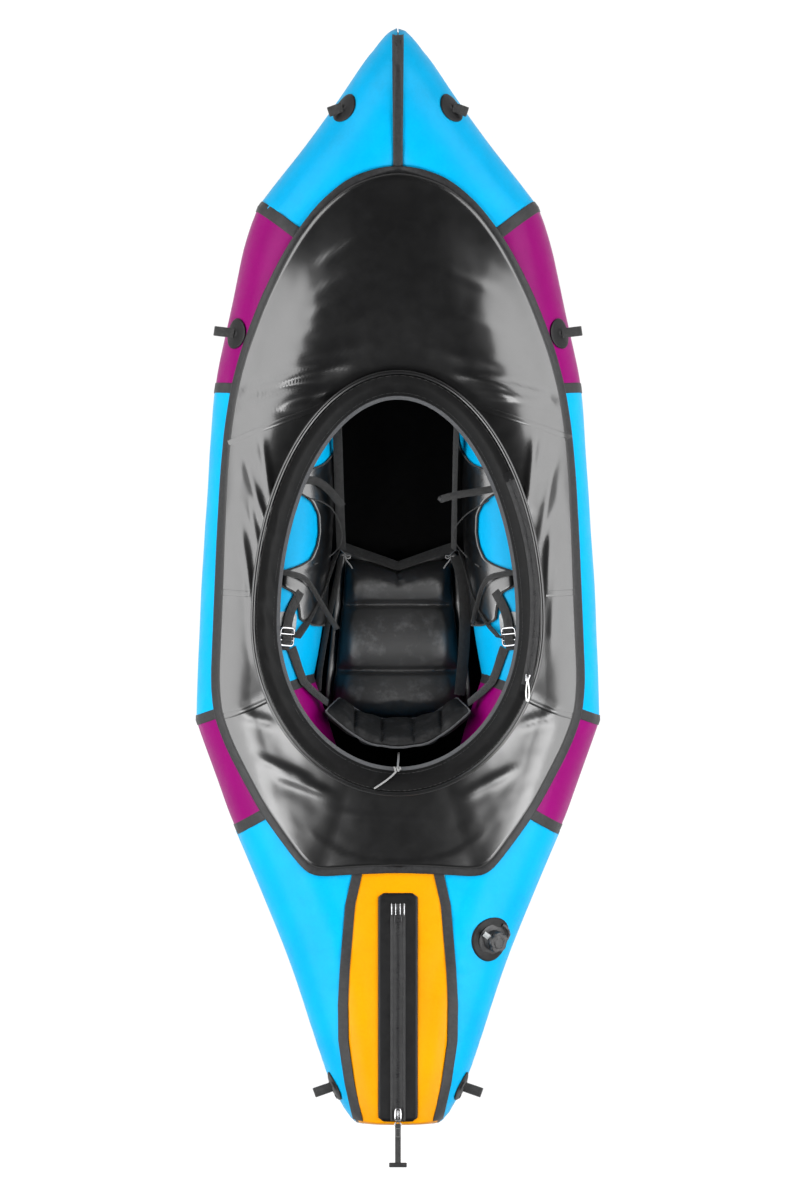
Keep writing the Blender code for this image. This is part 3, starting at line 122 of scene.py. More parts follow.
def waver(x: float, y: float, z: float = 0.0) -> float:
    """Smooth unevenness between about -1 and 1 at a place."""
    return noise.noise(Vector((x, y, z)))


# Meshes

@dataclass
class Made:
    """A finished piece: how it is placed in the scene and what it stands for."""

    body: str = "hull"
    stands_for: tuple[str, ...] = ()
    slot: str = ""
    bends: tuple[Vector, ...] = ()

    def place(self, made: bpy.types.Object, material: bpy.types.Material) -> bpy.types.Object:
        """Gives a piece its finish and its body, or, where bends are given, bakes its place into its mesh
        instead.

        Args:
            made: the object.
            material: its finish.

        Returns:
            The same object.
        """
        made.data.materials.clear()
        made.data.materials.append(material)
        if self.bends:
            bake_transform(made)
        else:
            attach(made, self.body)
        if self.stands_for:
            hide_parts(*self.stands_for)
        LOG.info("%s rides on %s", made.name, self.body)
        return made


def link(name: str, mesh: bpy.types.Mesh, angle: float = 50) -> bpy.types.Object:
    """Puts a mesh in the scene with smooth shading and sharp creases.

    Args:
        name: the object's name.
        mesh: its mesh.
        angle: the crease angle in degrees.

    Returns:
        The object.
    """
    made = bpy.data.objects.new(name, mesh)
    bpy.context.scene.collection.objects.link(made)
    mesh.shade_smooth()
    mesh.set_sharp_from_angle(angle=angle * DEG)
    return made


def from_work(name: str, work: bmesh.types.BMesh, angle: float = 50) -> bpy.types.Object:
    """Ends work on a mesh and puts it in the scene.

    Args:
        name: the object's name.
        work: the finished working mesh.
        angle: the crease angle in degrees.

    Returns:
        The object.
    """
    mesh = bpy.data.meshes.new(name)
    work.to_mesh(mesh)
    work.free()
    return link(name, mesh, angle)


def grid(
    name: str, rows: Sequence[Row], thickness: float = 0.0, ring: bool = False,
    loop: bool = False, flip: bool = False,
) -> bpy.types.Object:
    """A skin through rows of points, with UVs in metres.

    Args:
        name: the object's name.
        rows: the points, row by row.
        thickness: how thick the skin is, inwards; 0 leaves it a single layer.
        ring: whether each row closes on itself.
        loop: whether the last row joins the first.
        flip: turns the skin's outside round.

    Returns:
        The object.
    """
    work = bmesh.new()
    uv = work.loops.layers.uv.new("UVMap")
    points = [[work.verts.new(point) for point in row] for row in rows]
    across = len(rows[0])
    along = [0.0]
    middle = across // 2
    for before, after in zip(rows, list(rows[1:]) + [rows[0]]):
        along.append(along[-1] + (after[middle] - before[middle]).length)
    for i in range(len(rows) if loop else len(rows) - 1):
        below, above = points[i], points[(i + 1) % len(rows)]
        reach = [0.0]
        for j in range(across):
            reach.append(reach[-1] + (rows[i][(j + 1) % across] - rows[i][j]).length)
        for j in range(across if ring else across - 1):
            after = (j + 1) % across
            corners = [below[j], below[after], above[after], above[j]]
            places = [
                (reach[j], along[i]), (reach[j + 1], along[i]),
                (reach[j + 1], along[i + 1]), (reach[j], along[i + 1]),
            ]
            if flip:
                corners, places = corners[::-1], places[::-1]
            face = work.faces.new(corners)
            for corner, place in zip(face.loops, places):
                corner[uv].uv = place
    made = from_work(name, work)
    if thickness:
        step = made.modifiers.new("thickness", "SOLIDIFY")
        step.thickness = thickness
        step.offset = -1
    return made


def loft(name: str, loops: Sequence[Row], closed: bool = False, smoothing: int = 0) -> bpy.types.Object:
    """A solid through closed loops of points, with UVs in metres.

    Args:
        name: the object's name.
        loops: the loops, in order.
        closed: whether the last loop joins the first; otherwise both ends are capped.
        smoothing: levels of subdivision.

    Returns:
        The object.
    """
    work = bmesh.new()
    uv = work.loops.layers.uv.new("UVMap")
    rings = [[work.verts.new(point) for point in loop] for loop in loops]
    count = len(rings[0])
    along = 0.0
    for i in range(len(rings) if closed else len(rings) - 1):
        here, there = loops[i], loops[(i + 1) % len(rings)]
        step = sum((there[j] - here[j]).length for j in range(count)) / count
        below, above = rings[i], rings[(i + 1) % len(rings)]
        reach = 0.0
        for j in range(count):
            after = (j + 1) % count
            wide = (here[after] - here[j]).length
            face = work.faces.new((below[j], below[after], above[after], above[j]))
            places = (
                (reach, along), (reach + wide, along),
                (reach + wide, along + step), (reach, along + step),
            )
            for corner, place in zip(face.loops, places):
                corner[uv].uv = place
            reach += wide
        along += step
    if not closed:
        work.faces.new(rings[0][::-1])
        work.faces.new(rings[-1])
    bmesh.ops.recalc_face_normals(work, faces=work.faces)
    made = from_work(name, work)
    if smoothing:
        step_up = made.modifiers.new("smoothing", "SUBSURF")
        step_up.levels = step_up.render_levels = smoothing
    return made


def band(
    name: str, path: Sequence[Vector], faces: Sequence[Vector], width: float, thickness: float,
    closed: bool = False, edge: float = 0.25,
) -> bpy.types.Object:
    """A flat strap along a path, with rounded selvedges.

    Args:
        name: the object's name.
        path: its middle line.
        faces: the way its face looks at each point.
        width: how wide it is.
        thickness: how thick it is.
        closed: whether it closes on itself.
        edge: the share of the thickness left at the selvedge.

    Returns:
        The object.
    """
    loops = []
    count = len(path)
    outline = ((-1, -edge), (-0.9, -1), (0.9, -1), (1, -edge), (1, edge), (0.9, 1), (-0.9, 1), (-1, edge))
    for i, point in enumerate(path):
        before = path[(i - 1) % count] if closed or i else point
        after = path[(i + 1) % count] if closed or i < count - 1 else point
        ahead = (after - before).normalized()
        side = ahead.cross(faces[i]).normalized()
        up = side.cross(ahead).normalized()
        loops.append([
            point + side * (width / 2 * a) + up * (thickness / 2 * b) for a, b in outline
        ])
    return loft(name, loops, closed)


def tube(
    name: str, path: Sequence[Vector], radius: float, closed: bool = False, steps: int = 8,
) -> bpy.types.Object:
    """A round cord or rod along a path, as a curve with a bevel.

    Args:
        name: the object's name.
        path: its middle line.
        radius: half its thickness.
        closed: whether it closes on itself.
        steps: how finely the path is drawn between its points.

    Returns:
        The object.
    """
    curve = bpy.data.curves.new(name, "CURVE")
    curve.dimensions = "3D"
    curve.bevel_depth = radius
    curve.bevel_resolution = 4
    curve.resolution_u = steps
    curve.use_fill_caps = True
    line = curve.splines.new("NURBS")
    line.points.add(len(path) - 1)
    for control, point in zip(line.points, path):
        control.co = (*point, 1)
    line.order_u = 3
    line.use_endpoint_u = not closed
    line.use_cyclic_u = closed
    made = bpy.data.objects.new(name, curve)
    bpy.context.scene.collection.objects.link(made)
    return made


def lathe(
    name: str, profile: Sequence[tuple[float, float]], place: Matrix, steps: int = 64,
    shape: Optional[Callable[[float], float]] = None,
) -> bpy.types.Object:
    """A turned solid from (radius, height) points.

    Args:
        name: the object's name.
        profile: the section, from its inner end round to its other inner end.
        place: where its axis stands.
        steps: how many sides it has.
        shape: optional scale of the radius at each angle, for a lobed knob.

    Returns:
        The object.
    """
    loops = []
    for i in range(steps):
        turn = 2 * math.pi * i / steps
        scale = shape(turn) if shape else 1.0
        loops.append([
            place @ Vector((r * scale * math.cos(turn), r * scale * math.sin(turn), z))
            for r, z in profile
        ])
    work = bmesh.new()
    rings = [[work.verts.new(point) for point in loop] for loop in loops]
    count = len(profile)
    for i in range(steps):
        below, above = rings[i], rings[(i + 1) % steps]
        for j in range(count):
            after = (j + 1) % count
            work.faces.new((below[j], above[j], above[after], below[after]))
    bmesh.ops.remove_doubles(work, verts=work.verts, dist=0.00001)
    bmesh.ops.recalc_face_normals(work, faces=work.faces)
    return from_work(name, work, 35)


def blocks(
    name: str, frames: Sequence[Matrix], size: tuple[float, float, float], bevel: float, segments: int,
    angle: float
) -> bpy.types.Object:
    """Small bevelled blocks in one mesh, such as a zip's teeth.

    Args:
        name: the object's name.
        frames: where each block stands.
        size: each block's size.
        bevel: how much is taken off each edge.
        segments: how many faces the bevel has.
        angle: the crease angle in degrees.

    Returns:
        The object.
    """
    work = bmesh.new()
    for stand in frames:
        made = bmesh.ops.create_cube(work, size=1, matrix=stand @ Matrix.Diagonal((*size, 1)))
        edges = list({edge for corner in made["verts"] for edge in corner.link_edges})
        bmesh.ops.bevel(work, geom=edges, offset=bevel, segments=segments, affect="EDGES")
    return from_work(name, work, angle)


def rounded(
    profile: Sequence[tuple[float, float]], radius: float, steps: int = 3
) -> list[tuple[float, float]]:
    """Rounds the corners of a closed section.

    Args:
        profile: the section's corners.
        radius: how far from each corner the rounding starts.
        steps: points in each rounded corner.

    Returns:
        The new section.
    """
    made = []
    count = len(profile)
    for i, corner in enumerate(profile):
        at = Vector(corner)
        before, after = Vector(profile[i - 1]), Vector(profile[(i + 1) % count])
        if at.x < radius / 2:
            made.append(tuple(at))
            continue
        start = at + (before - at).normalized() * min(radius, (before - at).length / 2.2)
        end = at + (after - at).normalized() * min(radius, (after - at).length / 2.2)
        for share in spread(0, 1, steps):
            made.append(tuple(start.lerp(at, share).lerp(at.lerp(end, share), share)))
    return made


# The hull's form: every piece on it is placed by these measures

@dataclass(frozen=True)
class HullForm:
    """The inflated hull's sizes in metres, and the shape worked out from them."""

    length: float = 2.42
    half_width: float = 0.451
    radius: float = 0.14
    skin: float = 0.0015
    floor: float = 0.0015
    gap: float = 0.0003
    tape_proud: float = 0.0006
    centre_gap: float = 0.002
    bow_rise: tuple[float, float, float] = (0.35, 0.4, 0.18)
    stern_rise: tuple[float, float, float] = (-0.42, 0.2, 0.0725)
    taper_start: float = -0.62
    end_radius: float = 0.105
    crown: float = 0.012
    crown_width: float = 0.15
    corner: float = 0.014
    narrow_start: float = -0.9
    narrow_end: float = 0.08
    shoulder: float = 0.681
    front_seam: float = 0.35
    rear_seam: float = -0.262
    rear_shoulder: float = -0.463
    outline_shares: tuple[tuple[float, float, float], ...] = (
        (1.0, 0.004, 38), (0.9975, 0.036, 38), (0.989, 0.062, 38), (0.978, 0.091, 38),
        (0.955, 0.142, 38), (0.882, 0.273, 38), (0.808, 0.416, 38), (0.734, 0.576, 38),
        (0.681, 0.693, 38), (0.624, 0.749, 30), (0.513, 0.816, 18), (0.35, 0.911, 6),
        (0.181, 0.94, 0), (-0.04, 0.978, -3), (-0.262, 1.0, -20), (-0.463, 0.807, -32),
        (-0.594, 0.656, -20), (-0.705, 0.534, -12), (-0.816, 0.436, -6), (-0.926, 0.337, 0),
        (-0.963, 0.29, 0), (-0.982, 0.257, 0), (-1.0, 0.203, 0),
    )
    centre_shares: tuple[tuple[float, float], ...] = (
        (-1.0, 0.19), (-0.92, 0.237), (-0.843, 0.267), (-0.775, 0.269),
        (-0.708, 0.259), (-0.594, 0.233), (-0.535, 0.197),
    )

    @property
    def half(self) -> float:
        """Half the hull's length."""
        return self.length / 2

    @property
    def base(self) -> float:
        """Height of the tubes' middle line where the hull is level."""
        return self.floor + self.gap + self.tape_proud + self.radius

    def _ramp(self, distance: float, blend: float, slope: float) -> float:
        """Nothing before zero, then a curve that eases into a straight slope.

        Args:
            distance: how far past the start.
            blend: length of the eased part.
            slope: slope after it.

        Returns:
            The height.
        """
        if distance <= 0:
            return 0.0
        if distance < blend:
            return slope * distance * distance / (2 * blend)
        return slope * (distance - blend / 2)

    def middle(self, y: float) -> float:
        """Height of the hull's middle line at a place along it.

        Args:
            y: place along the hull.

        Returns:
            The height.
        """
        start, blend, slope = self.bow_rise
        lift = self._ramp(y - start, blend, slope)
        start, blend, slope = self.stern_rise
        return self.base + lift + self._ramp(start - y, blend, slope)

    def half_height(self, y: float) -> float:
        """Half the hull's height at a place along it.

        Args:
            y: place along the hull.

        Returns:
            Half the height.
        """
        share = min(max((self.taper_start - y) / (self.taper_start + self.half), 0), 1)
        height = self.radius + (self.end_radius - self.radius) * share
        corner = min(max((self.corner - self.half - y) / self.corner, 0), 1)
        return height * math.sqrt(max(1 - corner * corner, 0))

    def keel(self, y: float) -> float:
        """Height of the hull's lowest line."""
        share = min(max((self.taper_start - y) / (self.taper_start + self.half), 0), 1)
        return self.middle(y) - self.radius + (self.radius - self.end_radius) * share

    def _straight(self, y: float) -> tuple[float, float]:
        """Half width and turn at an outer point, straight between the table's places.

        Args:
            y: place along the hull.

        Returns:
            The half width and the turn in degrees.
        """
        share = min(max(y / self.half, -1.0), 1.0)
        for (y0, w0, a0), (y1, w1, a1) in zip(self.outline_shares, self.outline_shares[1:]):
            if share >= y1:
                part = (share - y0) / (y1 - y0)
                return (w0 + (w1 - w0) * part) * self.half_width, (a0 + (a1 - a0) * part) * DEG
        return self.outline_shares[-1][1] * self.half_width, 0.0

    @cached_property
    def _smoothed(self) -> list[tuple[float, float]]:
        """The outline every millimetre, eased everywhere but at the two mitred seams.

        Returns:
            The half width and turn at each millimetre.
        """
        made = []
        for step in range(round(self.length * 1000) + 1):
            y = -self.half + step / 1000
            room = min(abs(y - self.shoulder * self.half), abs(y - self.rear_seam * self.half))
            room = min(room, self.half - abs(y), 0.05)
            near = [self._straight(y + room * share) for share in spread(-1, 1, 11)]
            made.append((sum(w for w, _ in near) / 11, sum(a for _, a in near) / 11))
        return made

    def outline(self, y: float) -> tuple[float, float]:
        """Half width and turn of the section, in radians, at an outer point.

        Args:
            y: place along the hull.

        Returns:
            The half width and the turn.
        """
        place = min(max((y + self.half) * 1000, 0), len(self._smoothed) - 1.001)
        step = int(place)
        (w0, a0), (w1, a1) = self._smoothed[step], self._smoothed[step + 1]
        part = place - step
        return w0 + (w1 - w0) * part, a0 + (a1 - a0) * part

    def panel_edge(self, y: float) -> float:
        """Half width of the stern's centre panel."""
        return read_table(y / self.half, self.centre_shares) * self.half_width

    @property
    def turn(self) -> tuple[float, float]:
        """Where the stern's inner wall turns about, along the hull, and its crown's radius.

        Returns:
            The place and the radius.
        """
        y = self.rear_shoulder * self.half
        width, angle = self.outline(y)
        reach = width / math.cos(angle)
        return y - reach * math.sin(angle), reach - self.radius

    def tube(self, side: float, y_out: float, phi: float, proud: float = 0.0, along: float = 0.0) -> Vector:
        """A point on a side tube.

        Args:
            side: -1 for left, 1 for right, 0 for the middle plane.
            y_out: place along the hull of the section's outermost point.
            phi: angle round the tube, 0 outermost and 90 degrees at the crown.
            proud: how far out from the skin.
            along: how far the section is moved along the hull.

        Returns:
            The point.
        """
        angle = self.outline(y_out)[1]
        width = self.outline(y_out + along)[0]
        across = self.radius * (1 - math.cos(phi)) - proud * math.cos(phi)
        y = y_out - across * math.sin(angle) + along
        height = self.half_height(y) + proud
        return Vector((
            side * (width - across * math.cos(angle)), y,
            self.middle(y) + height * math.sin(phi),
        ))

    def cut(self, y_out: float) -> float:
        """How far round the tube a section goes before the boat's middle plane.

        Args:
            y_out: place of the section's outermost point.

        Returns:
            The angle round the tube.
        """
        width, angle = self.outline(y_out)
        cosine = 1 - (width - self.centre_gap) / (self.radius * math.cos(angle))
        return math.acos(min(max(cosine, -1.0), 1.0)) if cosine > -1 else math.pi * 0.995

    def section(self, x: float, y: float) -> tuple[float, float]:
        """Outer point and distance in from it of the section line through a place.

        Args:
            x: place across the hull.
            y: place along it.

        Returns:
            The outer point's place and the distance.
        """
        low, high = -self.half, self.half
        middle = 0.0
        for _ in range(26):
            middle = (low + high) / 2
            width, angle = self.outline(middle)
            if middle - (width - abs(x)) * math.tan(angle) > y:
                high = middle
            else:
                low = middle
        width, angle = self.outline(middle)
        return middle, (width - abs(x)) / math.cos(angle)

    def stern_height(self, x: float, y: float, reach: float, width: float) -> float:
        """Height over the middle line of the wide stern, across from its outer point.

        Args:
            x: place across the hull.
            y: place along it.
            reach: distance in from the outer point.
            width: half width there.

        Returns:
            The height.
        """
        narrow = min(max((self.narrow_start - y) / (self.narrow_start + self.half), 0), 1)
        radius = self.radius + (self.narrow_end - self.radius) * narrow
        if reach < radius:
            return self.half_height(y) * math.sqrt(max(1 - (1 - reach / radius) ** 2, 0))
        crown_x = max(width - radius, self.centre_gap)
        bulge = self.crown * crown_x / self.crown_width
        return self.half_height(y) + bulge * max(1 - (x / crown_x) ** 2, 0)

    def top(self, x: float, y: float) -> float:
        """Height of the hull's upper surface at a place seen from above.

        Args:
            x: place across the hull.
            y: place along it.

        Returns:
            The height.
        """
        y_out, reach = self.section(x, y)
        width, _ = self.outline(y_out)
        middle = self.middle(y)
        if reach <= 0:
            return middle
        turn_y, turn_radius = self.turn
        stern = y_out < self.rear_shoulder * self.half and y < turn_y
        far = math.hypot(x, y - turn_y)
        if stern and far >= turn_radius:
            return middle + self.stern_height(abs(x), y, reach, width)
        if stern:
            share = min((turn_radius - far) / self.radius, 1)
            return middle + self.half_height(y) * math.sqrt(1 - share * share)
        cosine = 1 - reach / self.radius
        if abs(cosine) >= 1:
            return middle
        return middle + self.half_height(y) * math.sqrt(1 - cosine * cosine)

    def skin_frame(self, x: float, y: float) -> tuple[Vector, Vector, Vector, Vector]:
        """Point, normal, way round the tube and way along it, at a place seen from above.

        Args:
            x: place across the hull.
            y: place along it.

        Returns:
            The point and the three directions.
        """
        step = 0.002
        across = (self.top(x + step, y) - self.top(x - step, y)) / (2 * step)
        ahead = (self.top(x, y + step) - self.top(x, y - step)) / (2 * step)
        normal = Vector((-across, -ahead, 1)).normalized()
        angle = self.outline(self.section(x, y)[0])[1]
        side = 1 if x > 0 else -1
        outward = Vector((side * math.cos(angle), math.sin(angle), 0))
        along = normal.cross(outward).normalized() * side
        return Vector((x, y, self.top(x, y))), normal, along.cross(normal) * side, along

    def wall_frame(self, side: int, y: float, turn: float) -> tuple[Vector, Vector, Vector]:
        """Point, outward normal and way along the tube at an angle round it, by its own y.

        Args:
            side: which side.
            y: place along the hull.
            turn: angle round the tube, 0 outermost.

        Returns:
            The point and the two directions.
        """
        y_out, step = y, 0.01
        for _ in range(12):
            y_out += y - self.tube(side, y_out, turn).y
        here = self.tube(side, y_out, turn)
        around = (self.tube(side, y_out, turn + step) - here).normalized()
        along = (self.tube(side, y_out + step * self.radius, turn) - here).normalized()
        return here, (along.cross(around) * side).normalized(), along


FORM = HullForm()


# Finishes

class Desk:
    """A material's node tree, with short calls for the nodes that the finishes use."""

    def __init__(self, name: str) -> None:
        """Starts a material with only its shader.

        Args:
            name: the material's name.
        """
        self.material = bpy.data.materials.new(name)
        self.material.use_nodes = True
        self.nodes = self.material.node_tree.nodes
        self.links = self.material.node_tree.links
        self.shader = self.nodes["Principled BSDF"]
        self.places = self.nodes.new("ShaderNodeTexCoord")

    def put(self, value: object, socket: bpy.types.NodeSocket) -> None:
        """Sets a socket to a number or colour, or joins it to another socket.

        Args:
            value: a number, colour or socket.
            socket: what it goes to.
        """
        if isinstance(value, bpy.types.NodeSocket):
            self.links.new(value, socket)
        else:
            socket.default_value = value

    def stretch(
        self, scale: Sequence[float], source: str = "Object", turn: float = 0.0
    ) -> bpy.types.NodeSocket:
        """Coordinates scaled along each axis and turned about Z.

        Args:
            scale: stretch along each axis.
            source: which coordinates.
            turn: degrees about Z.

        Returns:
            The coordinates.
        """
        node = self.nodes.new("ShaderNodeMapping")
        self.links.new(self.places.outputs[source], node.inputs["Vector"])
        node.inputs["Scale"].default_value = tuple(scale)
        node.inputs["Rotation"].default_value = (0, 0, turn * DEG)
        return node.outputs["Vector"]

    def cloud(
        self, scale: float, detail: float = 3, rough: float = 0.5,
        source: Optional[bpy.types.NodeSocket] = None, warp: float = 0.0
    ) -> bpy.types.NodeSocket:
        """A soft noise pattern, in features per metre.

        Args:
            scale: features per metre.
            detail: how many finer layers.
            rough: how strong they are.
            source: coordinates, the object's own if none.
            warp: distortion.

        Returns:
            The node's output.
        """
        node = self.nodes.new("ShaderNodeTexNoise")
        self.put(source or self.places.outputs["Object"], node.inputs["Vector"])
        node.inputs["Scale"].default_value = scale
        node.inputs["Detail"].default_value = detail
        node.inputs["Roughness"].default_value = rough
        node.inputs["Distortion"].default_value = warp
        return node.outputs["Fac"]

    def stripes(
        self, scale: float, axis: str, source: bpy.types.NodeSocket, warp: float = 0.0
    ) -> bpy.types.NodeSocket:
        """Even stripes across one axis of some coordinates.

        Args:
            scale: stripes per unit.
            axis: X, Y or Z.
            source: coordinates.
            warp: distortion.

        Returns:
            The node's output.
        """
        node = self.nodes.new("ShaderNodeTexWave")
        node.bands_direction = axis
        self.put(source, node.inputs["Vector"])
        node.inputs["Scale"].default_value = scale
        node.inputs["Distortion"].default_value = warp
        return node.outputs["Fac"]

    def sum_of(self, first: object, second: object, operation: str = "ADD") -> bpy.types.NodeSocket:
        """Two values combined.

        Args:
            first: a value.
            second: another.
            operation: the sum that is made.

        Returns:
            The node's output.
        """
        node = self.nodes.new("ShaderNodeMath")
        node.operation = operation
        self.put(first, node.inputs[0])
        self.put(second, node.inputs[1])
        return node.outputs[0]

    def span(
        self, value: bpy.types.NodeSocket, low: float, high: float, start: float = 0.0, end: float = 1.0
    ) -> bpy.types.NodeSocket:
        """A value from start to end, mapped on to low to high.

        Args:
            value: what is mapped.
            low: result at the start.
            high: result at the end.
            start: value at the start.
            end: value at the end.

        Returns:
            The node's output.
        """
        node = self.nodes.new("ShaderNodeMapRange")
        self.put(value, node.inputs["Value"])
        node.inputs["From Min"].default_value = start
        node.inputs["From Max"].default_value = end
        node.inputs["To Min"].default_value = low
        node.inputs["To Max"].default_value = high
        return node.outputs["Result"]

    def blend(self, share: bpy.types.NodeSocket, first: Colour, second: Colour) -> bpy.types.NodeSocket:
        """A colour between two, by a share.

        Args:
            share: how much of the second.
            first: a colour.
            second: another.

        Returns:
            The node's output.
        """
        node = self.nodes.new("ShaderNodeMix")
        node.data_type = "RGBA"
        self.put(share, node.inputs["Factor"])
        node.inputs["A"].default_value = (*first, 1)
        node.inputs["B"].default_value = (*second, 1)
        return node.outputs["Result"]

    def painted_sheen_mask(self, start: float) -> bpy.types.NodeSocket:
        """How much a place faces straight up, from 0 at the start value to 1: the mask of a painted sheen.

        Args:
            start: result where a place faces sideways.

        Returns:
            The node's output.
        """
        node = self.nodes.new("ShaderNodeNewGeometry")
        split = self.nodes.new("ShaderNodeSeparateXYZ")
        self.put(node.outputs["Normal"], split.inputs[0])
        return self.span(split.outputs["Z"], 0, 1, start, 1)

    def relief(self, layers: Sequence[tuple[bpy.types.NodeSocket, float, float]]) -> None:
        """Bumps, coarse first: (height, strength, depth in metres) for each layer.

        Args:
            layers: the bumps.
        """
        normal = None
        for height, strength, depth in layers:
            node = self.nodes.new("ShaderNodeBump")
            self.put(height, node.inputs["Height"])
            node.inputs["Strength"].default_value = strength
            node.inputs["Distance"].default_value = depth
            if normal:
                self.put(normal, node.inputs["Normal"])
            normal = node.outputs["Normal"]
        if normal:
            self.put(normal, self.shader.inputs["Normal"])

    def set(self, **values: object) -> None:
        """Sets the shader's inputs by name.

        Args:
            values: the inputs, with _ for a space in the name.
        """
        for name, value in values.items():
            self.put(value, self.shader.inputs[name.replace("_", " ")])


def tint(colour: Colour, share: float) -> Colour:
    """A colour made lighter or darker by a share."""
    return tuple(min(max(part * share, 0), 1) for part in colour)


def screen(red: float, green: float, blue: float) -> Colour:
    """A colour read off a screen, 0 to 255, as the shader takes it.

    Args:
        red: the red part.
        green: the green part.
        blue: the blue part.

    Returns:
        The colour.
    """
    made = []
    for part in (red, green, blue):
        part /= 255
        made.append(part / 12.92 if part <= 0.04045 else ((part + 0.055) / 1.055) ** 2.4)
    return tuple(made)


@dataclass(frozen=True)
class CoatedFabric:
    """Air-tight coated nylon: satin, faintly woven, with soft unevenness."""

    name: str
    colour: Colour
    roughness: tuple[float, float] = (0.34, 0.44)
    ripple: float = 0.5
    coat: float = 0.03

    def build(self) -> bpy.types.Material:
        """Makes the material.

        Returns:
            The material.
        """
        desk = Desk(self.name)
        patches = desk.cloud(9, 4, 0.55)
        worn = desk.cloud(160, 3, 0.6)
        mixed = desk.sum_of(desk.span(patches, 0, 0.7, 0.3, 0.7), desk.span(worn, 0, 0.3, 0.35, 0.65))
        desk.set(
            Base_Color=desk.blend(mixed, tint(self.colour, 0.9), tint(self.colour, 1.06)),
            Roughness=desk.span(desk.cloud(45, 3), *self.roughness, 0.3, 0.7),
            Coat_Weight=self.coat, Coat_Roughness=0.25, Specular_IOR_Level=0.07,
        )
        warp = desk.stripes(560, "X", desk.stretch((1, 1, 1), "UV"))
        weft = desk.stripes(560, "Y", desk.stretch((1, 1, 1), "UV"))
        desk.relief((
            (desk.cloud(16, 2, 0.5), self.ripple, 0.0022),
            (desk.cloud(70, 3, 0.6), 0.35, 0.0006),
            (desk.sum_of(warp, weft, "MULTIPLY"), 0.2, 0.0001),
        ))
        return desk.material


@dataclass(frozen=True)
class GlossDeck:
    """Glossy black coated deck cloth, creased where it is pulled tight; a crest above 0 adds a painted sheen
    where it faces up.
    """

    name: str
    colour: Colour = (0.0016, 0.0016, 0.0018)
    roughness: tuple[float, float] = (0.3, 0.4)
    crease: float = 0.17
    gloss: float = 0.7
    polish: float = 0.22
    # strength of the painted sheen where the cloth faces up; 0 leaves it out
    crest: float = 0.0

    def build(self) -> bpy.types.Material:
        """Makes the material.

        Returns:
            The material.
        """
        desk = Desk(self.name)
        dust = desk.span(desk.cloud(30, 5, 0.65), 0, 1, 0.5, 0.8)
        # random dust mottle; with crest set it is kept only where the cloth faces up and lightened ninefold:
        # a painted sheen on the crests
        shares = desk.sum_of(dust, desk.painted_sheen_mask(self.crest), "MULTIPLY") if self.crest else dust
        desk.set(
            Base_Color=desk.blend(shares, self.colour, tint(self.colour, 9 if self.crest else 2.4)),
            Roughness=desk.span(desk.cloud(24, 4, 0.6), *self.roughness, 0.3, 0.7),
            Specular_IOR_Level=self.gloss * 0.4, Coat_Weight=self.gloss, Coat_Roughness=self.polish,
            Coat_IOR=1.75,
        )
        weave = desk.stripes(520, "X", desk.stretch((1, 1, 1), "UV", 45))
        desk.relief((
            (desk.cloud(11, 2, 0.4), self.crease, 0.003),
            (desk.cloud(38, 4, 0.55, None, 0.6), self.crease * 0.8, 0.0008),
            (weave, 0.1, 0.0001),
        ))
        return desk.material


@dataclass(frozen=True)
class SeamTape:
    """Welded fabric tape, dark grey and a little duller than the panels."""

    name: str
    colour: Colour
    roughness: float = 0.5

    def build(self) -> bpy.types.Material:
        """Makes the material.

        Returns:
            The material.
        """
        desk = Desk(self.name)
        mottle = desk.cloud(120, 4, 0.6)
        desk.set(
            Base_Color=desk.blend(
                desk.span(mottle, 0, 1, 0.35, 0.65), tint(self.colour, 0.8), tint(self.colour, 1.2)
            ),
            Roughness=desk.span(desk.cloud(60, 3), self.roughness - 0.08, self.roughness + 0.1, 0.3, 0.7),
            Coat_Weight=0.03, Coat_Roughness=0.3, Specular_IOR_Level=0.2,
        )
        ribs = desk.stripes(400, "X", desk.stretch((1, 1, 1), "UV"))
        desk.relief(((desk.cloud(40, 3, 0.6), 0.5, 0.0008), (ribs, 0.25, 0.00012)))
        return desk.material


@dataclass(frozen=True)
class Webbing:
    """Woven strap: ribs across it and a fuzz that catches the light."""

    name: str
    colour: Colour
    rib: float = 430

    def build(self) -> bpy.types.Material:
        """Makes the material.

        Returns:
            The material.
        """
        desk = Desk(self.name)
        places = desk.stretch((1, 1, 1), "UV")
        ribs = desk.stripes(self.rib, "Y", places, 0.6)
        lines = desk.stripes(self.rib * 0.8, "X", places)
        weave = desk.sum_of(ribs, lines, "MULTIPLY")
        desk.set(
            Base_Color=desk.blend(weave, tint(self.colour, 0.55), tint(self.colour, 1.5)),
            Roughness=desk.span(desk.cloud(90, 3), 0.6, 0.82, 0.3, 0.7),
            Sheen_Weight=0.25, Sheen_Roughness=0.5,
        )
        desk.relief(((desk.cloud(60, 3), 0.3, 0.0006), (weave, 0.7, 0.0004)))
        return desk.material


@dataclass(frozen=True)
class Braid:
    """Braided cord: crossing diagonal strands."""

    name: str
    colour: Colour
    pitch: float = 300

    def build(self) -> bpy.types.Material:
        """Makes the material.

        Returns:
            The material.
        """
        desk = Desk(self.name)
        one = desk.stripes(self.pitch, "DIAGONAL", desk.stretch((1, 1, 1)))
        other = desk.stripes(self.pitch, "DIAGONAL", desk.stretch((-1, 1, 1)))
        strands = desk.sum_of(one, other, "MAXIMUM")
        desk.set(
            Base_Color=desk.blend(strands, tint(self.colour, 0.6), self.colour),
            Roughness=0.75, Sheen_Weight=0.3,
        )
        desk.relief(((strands, 0.8, 0.0004),))
        return desk.material


